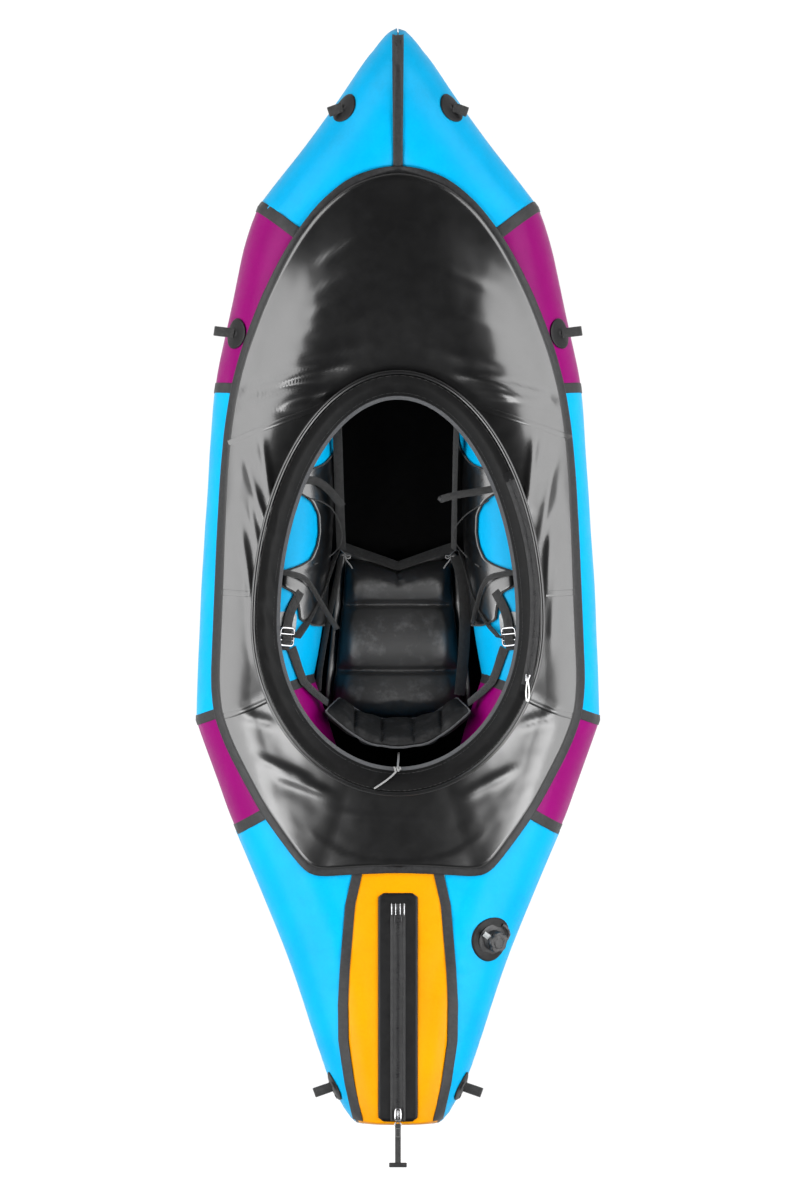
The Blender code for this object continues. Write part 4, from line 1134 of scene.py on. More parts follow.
@dataclass(frozen=True)
class Moulded:
    """Moulded plastic with a fine grain."""

    name: str
    colour: Colour
    roughness: tuple[float, float] = (0.34, 0.5)
    grain: float = 900

    def build(self) -> bpy.types.Material:
        """Makes the material.

        Returns:
            The material.
        """
        desk = Desk(self.name)
        scuff = desk.span(desk.cloud(110, 5, 0.7), 0, 1, 0.5, 0.75)
        desk.set(
            Base_Color=desk.blend(scuff, self.colour, tint(self.colour, 1.8)),
            Roughness=desk.span(desk.cloud(70, 4), *self.roughness, 0.3, 0.7),
            Specular_IOR_Level=0.5,
        )
        desk.relief(((desk.cloud(self.grain, 2), 0.3, 0.0001),))
        return desk.material


@dataclass(frozen=True)
class BrightMetal:
    """Cast or stamped bright metal, faintly brushed and smudged."""

    name: str
    colour: Colour = (0.4, 0.4, 0.41)
    roughness: tuple[float, float] = (0.16, 0.3)

    def build(self) -> bpy.types.Material:
        """Makes the material.

        Returns:
            The material.
        """
        desk = Desk(self.name)
        brushed = desk.cloud(500, 2, 0.5, desk.stretch((1, 0.08, 1)))
        desk.set(
            Base_Color=desk.blend(desk.cloud(80, 3), tint(self.colour, 0.85), self.colour),
            Roughness=desk.span(brushed, *self.roughness, 0.3, 0.7), Metallic=1.0,
        )
        desk.relief(((brushed, 0.15, 0.0001),))
        return desk.material


class Finish(Enum):
    """Every finish on the boat."""

    BLUE = CoatedFabric("blue_hull_fabric", screen(0, 160, 212))
    MAGENTA = CoatedFabric("magenta_hull_fabric", screen(128, 0, 96))
    ORANGE = CoatedFabric("orange_hull_fabric", screen(220, 142, 0))
    LINING = CoatedFabric("black_lining", (0.0008, 0.0008, 0.0009), (0.6, 0.75), 0.5, 0.0)
    TAPE = SeamTape("grey_seam_tape", screen(42, 42, 43))
    EDGE_TAPE = SeamTape("deck_edge_tape", screen(40, 40, 41), 0.42)
    DECK = GlossDeck("glossy_deck_cloth")
    # the seat cloth's last value, 0.9, turns on the painted sheen over its upward-facing crests
    PAD = GlossDeck("seat_cloth", (0.012, 0.012, 0.0122), (0.42, 0.5), 0.22, 1.0, 0.4, 0.9)
    COLLAR = GlossDeck("collar_cloth", (0.0035, 0.0035, 0.0036), (0.55, 0.68), 0.3, 0.1, 0.5)
    BACKREST = GlossDeck("backrest_cloth", (0.016, 0.016, 0.0163), (0.66, 0.8), 0.35, 0.08, 0.5)
    BINDING = Webbing("grey_binding", screen(72, 73, 76))
    WEB = Webbing("black_webbing", (0.009, 0.009, 0.009))
    PATCH = SeamTape("black_patch", screen(13, 13, 14), 0.45)
    PLATE = Moulded("grey_plate", screen(98, 100, 104))
    PLASTIC = Moulded("black_moulding", (0.012, 0.012, 0.013))
    TAB = Moulded("pale_tab", screen(140, 143, 144), (0.4, 0.55))
    ZIP_TAPE = Webbing("zip_tape", (0.014, 0.014, 0.015), 600)
    TEETH = Moulded("zip_teeth", (0.016, 0.016, 0.017), (0.24, 0.36))
    METAL = BrightMetal("bright_metal")
    WHITE_CORD = Braid("white_cord", screen(186, 186, 180))
    GREY_CORD = Braid("grey_cord", screen(66, 67, 70))

    def material(self) -> bpy.types.Material:
        """The finish's material, made once."""
        recipe = self.value
        return bpy.data.materials.get(recipe.name) or recipe.build()


# The hull's skins

@dataclass(frozen=True)
class Pucker:
    """How a welded seam gathers the cloth beside it."""

    depth: float = 0.0022
    reach: float = 0.038
    folds: float = 5.5

    def at(self, away: float, turn: float, seed: float) -> float:
        """How far in the skin is drawn.

        Args:
            away: distance from the seam.
            turn: place round the seam, in radians.
            seed: tells one seam from another.

        Returns:
            The depth, against the outward normal.
        """
        fade = math.exp(-abs(away) / self.reach)
        ripple = waver(math.cos(turn) * self.folds, math.sin(turn) * self.folds, seed + away * 9)
        return self.depth * fade * (0.45 + 1.25 * ripple)


@dataclass
class Hull:
    """The inflated hull: welded panels, the tapes over their seams and the floor."""

    ring: int = 72
    step: float = 0.011
    tape_width: float = 0.022
    tape_skin: float = 0.0012
    seam_gap: float = 0.0006
    layer: float = 0.0022
    panel_skin: float = 0.001
    pucker: Pucker = field(default_factory=Pucker)
    bow_bars: tuple[tuple[float, float], ...] = ((0.993, 0.016), (0.936, 0.012))

    @property
    def clear(self) -> float:
        """Distance from a seam's middle to the panel's edge under the tape."""
        return self.tape_width / 4

    def seams(self) -> tuple[float, ...]:
        """Where the ring seams stand along the hull.

        Returns:
            Their places.
        """
        return tuple(
            share * FORM.half
            for share in (FORM.shoulder, FORM.front_seam, FORM.rear_seam, FORM.rear_shoulder)
        )

    def drawn(self, y: float, phi: float) -> float:
        """How far the skin stands out, less than nothing beside a seam.

        Args:
            y: place along the hull.
            phi: angle round the tube.

        Returns:
            The distance.
        """
        pull = sum(self.pucker.at(y - seam, phi, seam * 31) for seam in self.seams())
        swell = 0.0011 * waver(y * 9, math.cos(phi) * 1.7, math.sin(phi) * 1.7)
        return swell - pull

    def ring_row(self, side: int, y_out: float, along: float = 0.0, proud: float = 0.0) -> Row:
        """A whole section of a side tube.

        Args:
            side: -1 or 1.
            y_out: place of the outermost point.
            along: how far the section is moved.
            proud: distance from the skin.

        Returns:
            The points.
        """
        row = []
        for i in range(self.ring):
            phi = 2 * math.pi * i / self.ring
            out = proud + self.drawn(y_out + along, phi + (0 if side > 0 else 40))
            row.append(FORM.tube(side, y_out, phi, out, along))
        return row

    def tube_panel(self, kind: str, side: Side, front: float, rear: float, finish: Finish) -> None:
        """One length of tube between two seams.

        Args:
            kind: the panel's name.
            side: which tube.
            front: its front seam, as a share of half the length.
            rear: its rear seam, as a share of half the length.
            finish: its cloth.
        """
        start, end = front * FORM.half, rear * FORM.half
        count = max(round((start - end) / self.step), 8)
        rows = [self.ring_row(side.value, start, -self.clear)]
        rows += [self.ring_row(side.value, y) for y in spread(start, end, count)[1:-1]]
        rows.append(self.ring_row(side.value, end, self.clear))
        name = f"{kind}_{side.word}"
        made = grid(f"{name}_cloth", rows, self.panel_skin, ring=True, flip=side.value < 0)
        Made(stands_for=(name,)).place(made, finish.material())

    def seam_tape(self, kind: str, side: Side, share: float) -> None:
        """The welded tape round a seam.

        Args:
            kind: the tape's name.
            side: which tube.
            share: the seam's place, as a share of half the length.
        """
        half = self.tape_width / 2
        rows = [
            self.ring_row(side.value, share * FORM.half, away, FORM.tape_proud * proud + 0.0009)
            for away, proud in ((half, 0.85), (half * 0.9, 1.15), (half / 2, 1.25), (0, 1.3),
                                (-half / 2, 1.2), (-half * 0.9, 1), (-half, 0.3))
        ]
        name = f"{kind}_{side.word}"
        made = grid(f"{name}_band", rows, self.tape_skin, ring=True, flip=side.value < 0)
        Made(stands_for=(name,)).place(made, Finish.TAPE.material())

    def bow_panel(self, side: Side) -> None:
        """The tapering end of a side tube, cut where it meets the other side.

        Args:
            side: which side.
        """
        rows = []
        end = FORM.shoulder * FORM.half
        places = spread(0.9993 * FORM.half, 0.97 * FORM.half, 8)[:-1]
        places += spread(0.97 * FORM.half, end, round((0.97 * FORM.half - end) / self.step))
        for place in places:
            limit = min(FORM.cut(place), math.pi * 0.995)
            row = []
            for i in range(self.ring + 1):
                phi = limit * (2 * i / self.ring - 1)
                edge = (limit - abs(phi)) * FORM.radius
                seam = self.pucker.at(edge, place * 40, side.value) if limit < 3.1 else 0
                proud = self.drawn(place, phi) - seam
                along = self.clear if place == end else 0.0
                row.append(FORM.tube(side.value, place, phi, proud, along))
            rows.append(row)
        name = f"bow_panel_{side.word}"
        made = grid(f"{name}_cloth", rows, self.panel_skin, flip=side.value < 0)
        Made(stands_for=(name,)).place(made, Finish.BLUE.material())

    def stern_reach(self, y_out: float, top: bool) -> float:
        """How far in a stern section runs, on top or underneath.

        Args:
            y_out: place of the outermost point.
            top: whether it is the top.

        Returns:
            The distance.
        """
        width, angle = FORM.outline(y_out)
        run_x, run_y = -math.cos(angle), -math.sin(angle)
        turn_y, turn_radius = FORM.turn
        start_y = y_out - turn_y
        dot = width * run_x + start_y * run_y
        spare = dot * dot - (width * width + start_y * start_y - (turn_radius + self.layer) ** 2)
        reach = (width - FORM.centre_gap) / math.cos(angle)
        if spare > 0:
            reach = min(reach, -dot - math.sqrt(spare))
        if top:
            inner = reach
            for _ in range(6):
                edge = FORM.panel_edge(y_out + inner * run_y) + self.clear
                inner = (width - edge) / math.cos(angle)
            reach = min(reach, inner)
        return max(reach - self.seam_gap, 0.004)

    def stern_row(self, side: int, y_out: float, along: float = 0.0) -> Row:
        """A section of the stern from its upper edge round to its lower edge.

        Args:
            side: which side.
            y_out: place of the outermost point.
            along: how far the section is moved.

        Returns:
            The points.
        """
        angle = FORM.outline(y_out)[1]
        width = FORM.outline(y_out + along)[0]
        row, steps = [], 30
        for top in (True, False):
            limit = self.stern_reach(y_out, top)
            angles = [90 * DEG * (1 - i / steps) for i in range(steps + 1)]
            for turn in angles if top else angles[-2::-1]:
                reach = limit * (1 - math.cos(turn))
                x = width - reach * math.cos(angle)
                y = y_out - reach * math.sin(angle) + along
                height = FORM.stern_height(x, y, reach, width)
                way = 1 if top else -1
                if not top:
                    height = min(height, FORM.half_height(y))
                pull = self.pucker.at(y_out - self.seams()[3], turn * way, 5)
                pull += 0.7 * self.pucker.at(limit - reach, y * 42, side) if top else 0
                pull += 0.8 * self.pucker.at(y + FORM.half, x * 22, 9)
                height -= pull * math.sin(turn)
                x -= pull * math.cos(turn) - 0.0009 * waver(x * 9, y * 9, way)
                row.append(Vector((side * x, y, FORM.middle(y) + way * height)))
        return row

    def stern_panel(self, side: Side) -> None:
        """One side of the stern: its top, flank and underside, up to the centre panel.

        Args:
            side: which side.
        """
        start, end = FORM.rear_shoulder * FORM.half, -FORM.half + FORM.corner
        rows = [self.stern_row(side.value, start, -self.clear)]
        rows += [self.stern_row(side.value, y) for y in spread(start, end, 62)[1:-1]]
        rows += [self.stern_row(side.value, y) for y in self.end_rows()]
        name = f"stern_panel_{side.word}"
        made = grid(f"{name}_cloth", rows, self.panel_skin, flip=side.value > 0)
        Made(stands_for=(name,)).place(made, Finish.BLUE.material())

    def end_rows(self) -> list[float]:
        """Places along the last stretch, where the stern rounds over to its end seam."""
        return [-FORM.half + FORM.corner * (1 - math.sin(turn * DEG)) for turn in range(0, 89, 11)]

    def stern_point(self, x: float, y: float, proud: float = 0.0) -> Vector:
        """A point on top of the stern.

        Args:
            x: place across the hull.
            y: place along it.
            proud: distance from the skin.

        Returns:
            The point.
        """
        y_out, reach = FORM.section(x, y)
        height = FORM.stern_height(abs(x), y, reach, FORM.outline(y_out)[0])
        return Vector((x, y, FORM.middle(y) + height + proud))

    def crown_line(self, x: float) -> float:
        """Where the centre panel's front edge lies, along the inner wall's crown."""
        turn_y, turn_radius = FORM.turn
        return turn_y - math.sqrt(turn_radius ** 2 - x * x) - self.seam_gap

    def centre_panel(self) -> None:
        """The panel along the top of the stern that carries the cargo zip."""
        rows = []
        start = self.crown_line(FORM.panel_edge(-0.647))
        shares = spread(0, 1, 56)
        for share in shares:
            y = start + (-FORM.half + FORM.corner - start) * share
            rows.append(self.centre_row(y, share))
        rows += [self.centre_row(y, 1) for y in self.end_rows()]
        made = grid("stern_centre_panel_cloth", rows, self.panel_skin, flip=True)
        Made(stands_for=("stern_centre_panel",)).place(
            made, Finish.ORANGE.material()
        )

    def centre_row(self, y: float, share: float) -> Row:
        """A row across the centre panel, bent to the crown's line at its front.

        Args:
            y: place along the hull.
            share: how far along the panel.

        Returns:
            The points.
        """
        edge = FORM.panel_edge(y) - self.clear - 0.0025 + 0.007 * smooth((-0.78 - y) / 0.14)
        row = []
        for x in spread(-edge, edge, 25):
            here = self.crown_line(x) * (1 - share) + y * share if share < 1 else y
            away = edge - abs(x)
            pull = 0.6 * self.pucker.at(away, here * 40, 3) + 0.0007 * waver(x * 16, here * 16)
            pull += 0.8 * self.pucker.at(here + FORM.half, x * 22, 9)
            row.append(self.stern_point(x, here, -pull))
        return row

    def stern_tape(self, side: Side) -> None:
        """The tape along one edge of the stern's centre panel.

        Args:
            side: which side.
        """
        start = self.crown_line(FORM.panel_edge(-0.647)) - 0.008
        rows = []
        for y in spread(start, -0.9965 * FORM.half, 60):
            half = self.tape_width / 2
            row = []
            for share, proud in (
                (-1, 1.0), (-0.9, 1.2), (-0.45, 1.3), (0, 1.4), (0.45, 1.3), (0.9, 1.2), (1, 0.9)
            ):
                x = FORM.panel_edge(y) + half * share
                pull = 0.5 * self.pucker.at(abs(half * share), y * 40, 3)
                row.append(self.stern_point(side.value * x, y, FORM.tape_proud * proud - pull + 0.0012))
            rows.append(row)
        name = f"stern_tape_{side.word}"
        made = grid(f"{name}_band", rows, self.tape_skin, flip=side.value > 0)
        Made(stands_for=(name,)).place(made, Finish.TAPE.material())

    def inner_wall(self) -> None:
        """The round wall behind the backrest, which joins the two side tubes."""
        turn_y, turn_radius = FORM.turn
        half_turn = 90 * DEG + FORM.outline(FORM.rear_shoulder * FORM.half)[1]
        rows = []
        for turn in spread(-half_turn, half_turn, 60):
            row = []
            for phi in spread(92 * DEG, 268 * DEG, 37):
                radius = turn_radius + FORM.radius * math.cos(phi)
                x, y = radius * math.sin(turn), turn_y - radius * math.cos(turn)
                height = FORM.half_height(y) * math.sin(phi)
                row.append(Vector((x, y, FORM.middle(y) + height)))
            rows.append(row)
        made = grid("stern_inner_wall_cloth", rows, self.panel_skin)
        Made(stands_for=("stern_inner_wall",)).place(
            made, Finish.BLUE.material()
        )

    def bow_row(self, place: float, over: bool, half: float, lift: float) -> Row:
        """A row across the bow's middle seam, on top or underneath.

        Args:
            place: place of the section along the hull.
            over: whether it is on top.
            half: half the tape's width.
            lift: height over the skin.

        Returns:
            The points.
        """
        width, angle = FORM.outline(place)
        row = []
        for share in (-1, -0.55, 0, 0.55, 1):
            across = FORM.radius * math.cos(angle)
            turn = math.acos(1 - max(width - abs(share) * half, 0) / across)
            side = 1 if share > 0 else -1
            crest = lift - 0.0012 * abs(share)
            row.append(FORM.tube(side, place, turn if over else -turn, crest))
        return row

    def bow_tape(self) -> None:
        """The tape over the bow's middle seam, round the nose and under it."""
        half, lift = self.tape_width / 2, 0.003
        shares = spread(0.838, 0.9905, 27)
        rows = [self.bow_row(share * FORM.half, True, half, lift) for share in shares]
        first, last = rows[-1][2], self.bow_row(shares[-1] * FORM.half, False, half, lift)[2]
        nose = Vector((0, FORM.half + lift * 0.6, FORM.middle(FORM.half)))
        for share in spread(0, 1, 11)[1:-1]:
            bend = first.lerp(nose, share).lerp(nose.lerp(last, share), share)
            bend.y += 0.004 * math.sin(math.pi * share)
            rows.append([
                bend + Vector((x * half, -abs(x) * half / 4, 0)) for x in (-1, -0.55, 0, 0.55, 1)
            ])
        under = [share for share in shares[::-1] if share > 0.925]
        rows += [self.bow_row(share * FORM.half, False, half, lift) for share in under]
        made = grid("bow_centre_tape_band", rows, self.panel_skin, flip=True)
        Made(stands_for=("bow_centre_tape",)).place(
            made, Finish.TAPE.material()
        )
        for number, (share, width) in enumerate(self.bow_bars):
            rows = [
                self.bow_row((share - 0.010 + offset) * FORM.half, True, width / 2, lift + 0.0007)
                for offset in spread(0.0035, -0.0035, 5)
            ]
            bar = grid(f"bow_seam_bar_{number}", rows, 0.0006, flip=True)
            Made(slot="webbing").place(bar, Finish.PATCH.material())

    def floor_half(self, y: float) -> float:
        """How far out the floor reaches, just past the tubes' lowest lines.

        Args:
            y: place along the hull.

        Returns:
            Half the floor's width.
        """
        low, high = 0.0, FORM.half_width
        for _ in range(30):
            x = (low + high) / 2
            y_out, reach = FORM.section(x, y)
            radius = FORM.radius
            if y < FORM.rear_shoulder * FORM.half:
                radius = min(radius, FORM.outline(y_out)[0] * 0.8)
            if reach > radius:
                low = x
            else:
                high = x
        return max(low, self.tape_width / 2) + 0.02

    def underside(self, x: float, y: float) -> float:
        """Height of the hull's underside, which turns up under the bow.

        Args:
            x: place across the hull.
            y: place along it.

        Returns:
            The height.
        """
        if y < 0.9:
            return FORM.keel(y)
        share = min(FORM.section(x, y)[1] / FORM.radius, 1)
        return FORM.middle(y) - FORM.half_height(y) * math.sqrt(1 - (1 - share) ** 2)

    def floor(self) -> None:
        """The bottom sheet, flat in the middle and following the hull up at both ends."""
        rows = []
        for y in spread(0.95 * FORM.half, -0.985 * FORM.half, 70):
            half = self.floor_half(y)
            lift = FORM.middle(y) - FORM.base
            drop = FORM.tape_proud + FORM.gap + min(lift / 2, self.layer)
            rows.append([Vector((x, y, self.underside(x, y) - drop)) for x in spread(-half, half, 25)])
        made = grid("floor_sheet_cloth", rows, FORM.floor, flip=True)
        Made(stands_for=("floor_sheet",)).place(made, Finish.LINING.material())

    def area(self, rows: Sequence[Row]) -> float:
        """The area of a sheet through rows of points.

        Args:
            rows: the rows of points.

        Returns:
            The area.
        """
        total = 0.0
        for before, after in zip(rows, rows[1:]):
            for i in range(len(before) - 1):
                one = (before[i + 1] - before[i]).cross(after[i] - before[i]).length
                other = (after[i] - after[i + 1]).cross(before[i + 1] - after[i + 1]).length
                total += (one + other) / 2
        return total

    def build(self) -> None:
        """Makes every skin of the hull."""
        for side in Side:
            self.bow_panel(side)
            self.tube_panel("front_side_panel", side, FORM.shoulder, FORM.front_seam, Finish.MAGENTA)
            self.tube_panel("middle_side_panel", side, FORM.front_seam, FORM.rear_seam, Finish.BLUE)
            self.tube_panel("rear_side_panel", side, FORM.rear_seam, FORM.rear_shoulder, Finish.MAGENTA)
            self.stern_panel(side)
            self.stern_tape(side)
            self.seam_tape("shoulder_tape", side, FORM.shoulder)
            self.seam_tape("front_tape", side, FORM.front_seam)
            self.seam_tape("rear_tape", side, FORM.rear_seam)
            self.seam_tape("rear_shoulder_tape", side, FORM.rear_shoulder)
        self.centre_panel()
        self.inner_wall()
        self.bow_tape()
        self.floor()
        LOG.info("the hull is dressed")


# The deck, its coaming and the coaming's zip

@dataclass(frozen=True)
class Opening:
    """The egg-shaped opening and the stiff collar round it, in metres."""

    centre_y: float = -0.1
    half_width: float = 0.261
    front: float = 0.493
    rear: float = 0.3175
    height: float = 0.316
    width: float = 0.061
    rise: float = 0.026
    shelf: float = 0.031
    thickness: float = 0.0025
    lift: float = 0.0012
    rod: float = 0.0052

    def oval(self, turn: float, out: float = 0.0) -> Vector:
        """A point of the collar's outline, at an angle about its centre.

        Args:
            turn: the angle.
            out: distance out from the opening's edge.

        Returns:
            The point.
        """
        cos, sin = math.cos(turn), math.sin(turn)
        long = (self.front if sin > 0 else self.rear) + out
        reach = 1 / math.hypot(cos / (self.half_width + out), sin / long)
        return Vector((reach * cos, self.centre_y + reach * sin, 0))

    def face(self, inset: float) -> float:
        """Height of the collar's face, that far in from its rod: a shelf, then a slope."""
        top = self.height + self.thickness + self.lift + self.rise
        return top - self.rise / (self.width - self.shelf) * max(inset - self.shelf, 0)


OPENING = Opening()


@dataclass
class Deck:
    """The glossy deck cloth, pulled from the tubes' crowns to the opening."""

    lift: float = 0.0045
    crown: float = 0.02
    rear_y: float = -0.647
    tape_width: float = 0.022
    thickness: float = 0.0012
    columns: int = 300
    rows: int = 46
    edge_shares: tuple[tuple[float, float], ...] = (
        (0.0, 0.746), (0.125, 0.737), (0.247, 0.72), (0.386, 0.677), (0.505, 0.62),
        (0.579, 0.574), (0.663, 0.513), (0.76, 0.424), (0.816, 0.35), (0.851, 0.269),
        (0.871, 0.186), (0.888, 0.07), (0.9, -0.04), (0.916, -0.188), (0.902, -0.249),
        (0.841, -0.31), (0.757, -0.369), (0.678, -0.422), (0.651, -0.437),
        (0.534, -0.496), (0.43, -0.544), (0.2, -0.5375), (0.0, -0.5347),
    )
    folds: tuple[tuple[float, float, float, float, float, float], ...] = (
        (-0.34, 0.41, -0.13, 0.462, 0.013, 0.009),
        (-0.335, 0.38, -0.16, 0.408, 0.012, 0.0075),
        (-0.33, 0.396, -0.2, 0.432, 0.009, -0.0035),
        (-0.31, 0.36, -0.17, 0.4, 0.007, 0.004),
        (-0.25, 0.475, -0.09, 0.505, 0.013, 0.0032),
        (-0.22, 0.53, -0.07, 0.57, 0.012, 0.0024),
        (-0.19, 0.575, -0.115, 0.605, 0.009, 0.0022),
        (-0.175, 0.625, -0.09, 0.665, 0.008, 0.002),
        (-0.17, 0.688, -0.089, 0.732, 0.009, 0.003),
        (0.34, 0.395, 0.15, 0.44, 0.009, 0.009),
        (0.335, 0.383, 0.19, 0.408, 0.007, 0.0065),
        (0.28, 0.455, 0.1, 0.49, 0.012, 0.0026),
        (0.23, 0.54, 0.1, 0.575, 0.012, 0.002),
        (0.2, 0.63, 0.1, 0.67, 0.01, 0.0018),
        (-0.3, 0.3, -0.275, 0.16, 0.009, 0.0042), (-0.335, 0.25, -0.285, 0.1, 0.008, 0.0038),
        (-0.325, 0.16, -0.3, 0.03, 0.008, 0.0034), (-0.345, 0.1, -0.315, -0.07, 0.009, 0.003),
        (-0.33, 0.0, -0.318, -0.16, 0.008, 0.0028), (0.3, 0.3, 0.28, 0.15, 0.009, 0.004),
        (0.345, 0.25, 0.31, 0.08, 0.009, 0.0036), (0.335, 0.1, 0.325, -0.06, 0.009, 0.003),
        (0.345, 0.02, 0.335, -0.15, 0.01, 0.0026),
        (-0.27, -0.43, -0.15, -0.475, 0.011, 0.0034), (-0.3, -0.4, -0.2, -0.44, 0.009, 0.003),
        (0.26, -0.42, 0.15, -0.475, 0.011, 0.0022),
        (-0.13, -0.52, 0.08, -0.535, 0.012, 0.0016),
        (0.345, -0.3, 0.27, -0.32, 0.009, 0.0025),
        (-0.345, -0.3, -0.27, -0.32, 0.009, 0.0022),
    )

    def outline(self) -> Row:
        """The deck's outer edge all the way round, evenly spaced and eased.

        Returns:
            The points.
        """
        right = [Vector((x * FORM.half_width, y * FORM.half, 0)) for x, y in self.edge_shares]
        left = [Vector((-point.x, point.y, 0)) for point in right[-2:0:-1]]
        corners = right + left
        reach = [0.0]
        for before, after in zip(corners, corners[1:] + corners[:1]):
            reach.append(reach[-1] + (after - before).length)
        made = []
        for i in range(self.columns):
            at = reach[-1] * i / self.columns
            index = max(j for j in range(len(corners)) if reach[j] <= at)
            share = (at - reach[index]) / (reach[index + 1] - reach[index])
            made.append(corners[index].lerp(corners[(index + 1) % len(corners)], share))
        for _ in range(6):
            made = [
                (made[i - 1] + made[i] * 2 + made[(i + 1) % len(made)]) / 4
                for i in range(len(made))
            ]
        return made

    def fold(self, place: Vector) -> float:
        """Height added where folds pass a place.

        Args:
            place: where.

        Returns:
            The height.
        """
        height = 0.0
        for x0, y0, x1, y1, wide, tall in self.folds:
            start, run = Vector((x0, y0)), Vector((x1 - x0, y1 - y0))
            away = place.xy - start
            share = away.dot(run) / run.length_squared
            if -0.3 < share < 1.3:
                off = (away - run * share).length / wide
                ends = smooth(1 - max(abs(share - 0.5) - 0.25, 0) / 0.5)
                height += tall * ends * math.exp(-off * off)
        return height

    def crinkle(self, place: Vector, share: float) -> float:
        """Small creases, strongest beside the seams.

        Args:
            place: where.
            share: how far in from the edge.

        Returns:
            The height.
        """
        edge = math.exp(-share * 13)
        turn = math.atan2(place.y - OPENING.centre_y, place.x)
        bow = smooth((place.y - 0.7) / 0.1)
        gather = waver(math.cos(turn) * 46, math.sin(turn) * 46, share * 2)
        rumple = waver(math.cos(turn) * 17, math.sin(turn) * 17, share * 3)
        broad = waver(place.x * 6, place.y * 9, 3)
        fine = waver(place.x * 30, place.y * 42, 7)
        pleat = math.sin(turn * 150 + 4 * waver(turn * 20, 1, 1)) * (0.4 + 0.6 * waver(turn * 12, 5, 5) ** 2)
        rim = 0.0012 * bow * gather + 0.001 * bow * pleat + 0.0006 * rumple
        return rim * edge + 0.0011 * broad * min(share * 4, 1) + 0.00045 * fine

    def skin(self, x: float, y: float) -> float:
        """Height of the hull under the cloth, its valley at the bow bridged.

        Args:
            x: place across the hull.
            y: place along it.

        Returns:
            The height.
        """
        wide, off = 0.13, abs(x)
        if off < wide:
            off = (wide * wide + off * off) / (2 * wide)
        return FORM.top(off, y) + self.lift

    def height(self, place: Vector, share: float, start: float) -> float:
        """Height of the cloth: on the hull where that is higher, stretched elsewhere.

        Args:
            place: where.
            share: how far in from the edge.
            start: height at the edge.

        Returns:
            The height.
        """
        bulge = self.crown * math.sin(math.pi * share) ** 2
        flat = start + (OPENING.height - start) * share
        front = smooth((place.y - OPENING.centre_y - OPENING.front * 0.35) / 0.12)
        free = flat + bulge * front
        skin = self.skin(place.x, place.y)
        near = skin - free
        rest = max(skin, free) + 0.004 * math.exp(-abs(near) / 0.01)
        return rest

    def build(self) -> None:
        """Makes the cloth and the tape round its edge."""
        outer = self.outline()
        cloth, tape = [], []
        for point in outer:
            turn = math.atan2(point.y - OPENING.centre_y, point.x)
            inner = OPENING.oval(turn)
            toward = (inner - point).normalized()
            half = self.tape_width / 2
            line = []
            for away, proud in (
                (0, 0.2), (half * 0.15, 0.9), (half, 1.2), (half * 1.85, 0.9), (half * 2, 0.2)
            ):
                at = point + toward * away
                pull = 0.0008 * waver(math.cos(turn) * 16, math.sin(turn) * 16, 5)
                at.z = FORM.top(at.x, at.y) + self.lift + 0.0009 * proud + pull
                line.append(at)
            tape.append(line)
            first = point + toward * (self.tape_width * 0.75)
            start = self.skin(first.x, first.y)
            line = []
            for share in spread(0, 1, self.rows):
                share = share ** 0.9
                at = first.lerp(inner, share)
                settle = min(share * 8, (1 - share) * 10, 1)
                height = self.height(at, share, start) if share < 1 else OPENING.height
                height += self.crinkle(at, share) * settle + self.fold(at) * settle
                line.append(Vector((at.x, at.y, height)))
            cloth.append(line)
        made = grid("deck_cloth", cloth, 0.0009, loop=True, flip=True)
        Made(stands_for=("deck_sheet",)).place(made, Finish.DECK.material())
        edge = grid("deck_edge_band", tape, self.thickness, loop=True, flip=True)
        Made(stands_for=("deck_edge_tape",)).place(edge, Finish.EDGE_TAPE.material())
        self.seams()
        LOG.info("the deck is stretched")

    def area(self, rows: Sequence[Row]) -> float:
        """The cloth's own area.

        Args:
            rows: the rows of points.

        Returns:
            The area.
        """
        total = 0.0
        for before, after in zip(rows, list(rows[1:]) + [rows[0]]):
            for i in range(len(before) - 1):
                one = (before[i + 1] - before[i]).cross(after[i] - before[i]).length
                other = (after[i] - after[i + 1]).cross(before[i + 1] - after[i + 1]).length
                total += (one + other) / 2
        return total

    def surface(self, x: float, y: float) -> float:
        """Height of the finished cloth at a place, for what is sewn to it.

        Args:
            x: place across the hull.
            y: place along it.

        Returns:
            The height.
        """
        depsgraph = bpy.context.evaluated_depsgraph_get()
        cloth = bpy.data.objects["deck_cloth"].evaluated_get(depsgraph)
        hit, place, _, _ = cloth.ray_cast(Vector((x, y, 1)), Vector((0, 0, -1)))
        return place.z if hit else FORM.top(x, y) + self.lift

    def seams(self) -> None:
        """The welded joins between the deck's pieces of cloth."""
        bpy.context.view_layer.update()
        lines = {
            "deck_seam_front": ((-0.374, 0.297), (-0.25, 0.345), (-0.118, 0.393)),
            "deck_seam_front_right": ((0.383, 0.308), (0.25, 0.35), (0.118, 0.393)),
            "deck_seam_left": ((-0.405, -0.031), (-0.36, -0.034), (-0.325, -0.036)),
            "deck_seam_right": ((0.405, -0.031), (0.36, -0.034), (0.325, -0.036)),
            "deck_seam_rear_left": ((-0.40, -0.308), (-0.35, -0.30), (-0.29, -0.27)),
            "deck_seam_rear_right": ((0.40, -0.308), (0.35, -0.30), (0.29, -0.27)),
        }
        for name, (a, b, c) in lines.items():
            first, middle, last = Vector(a), Vector(b), Vector(c)
            path = []
            for share in spread(0, 1, 26):
                at = first.lerp(middle, share).lerp(middle.lerp(last, share), share)
                path.append(Vector((at.x, at.y, self.surface(at.x, at.y) + 0.0007)))
            made = band(name, path, [UP] * len(path), 0.013, 0.0012)
            Made(slot="deck_fabric").place(made, Finish.DECK.material())


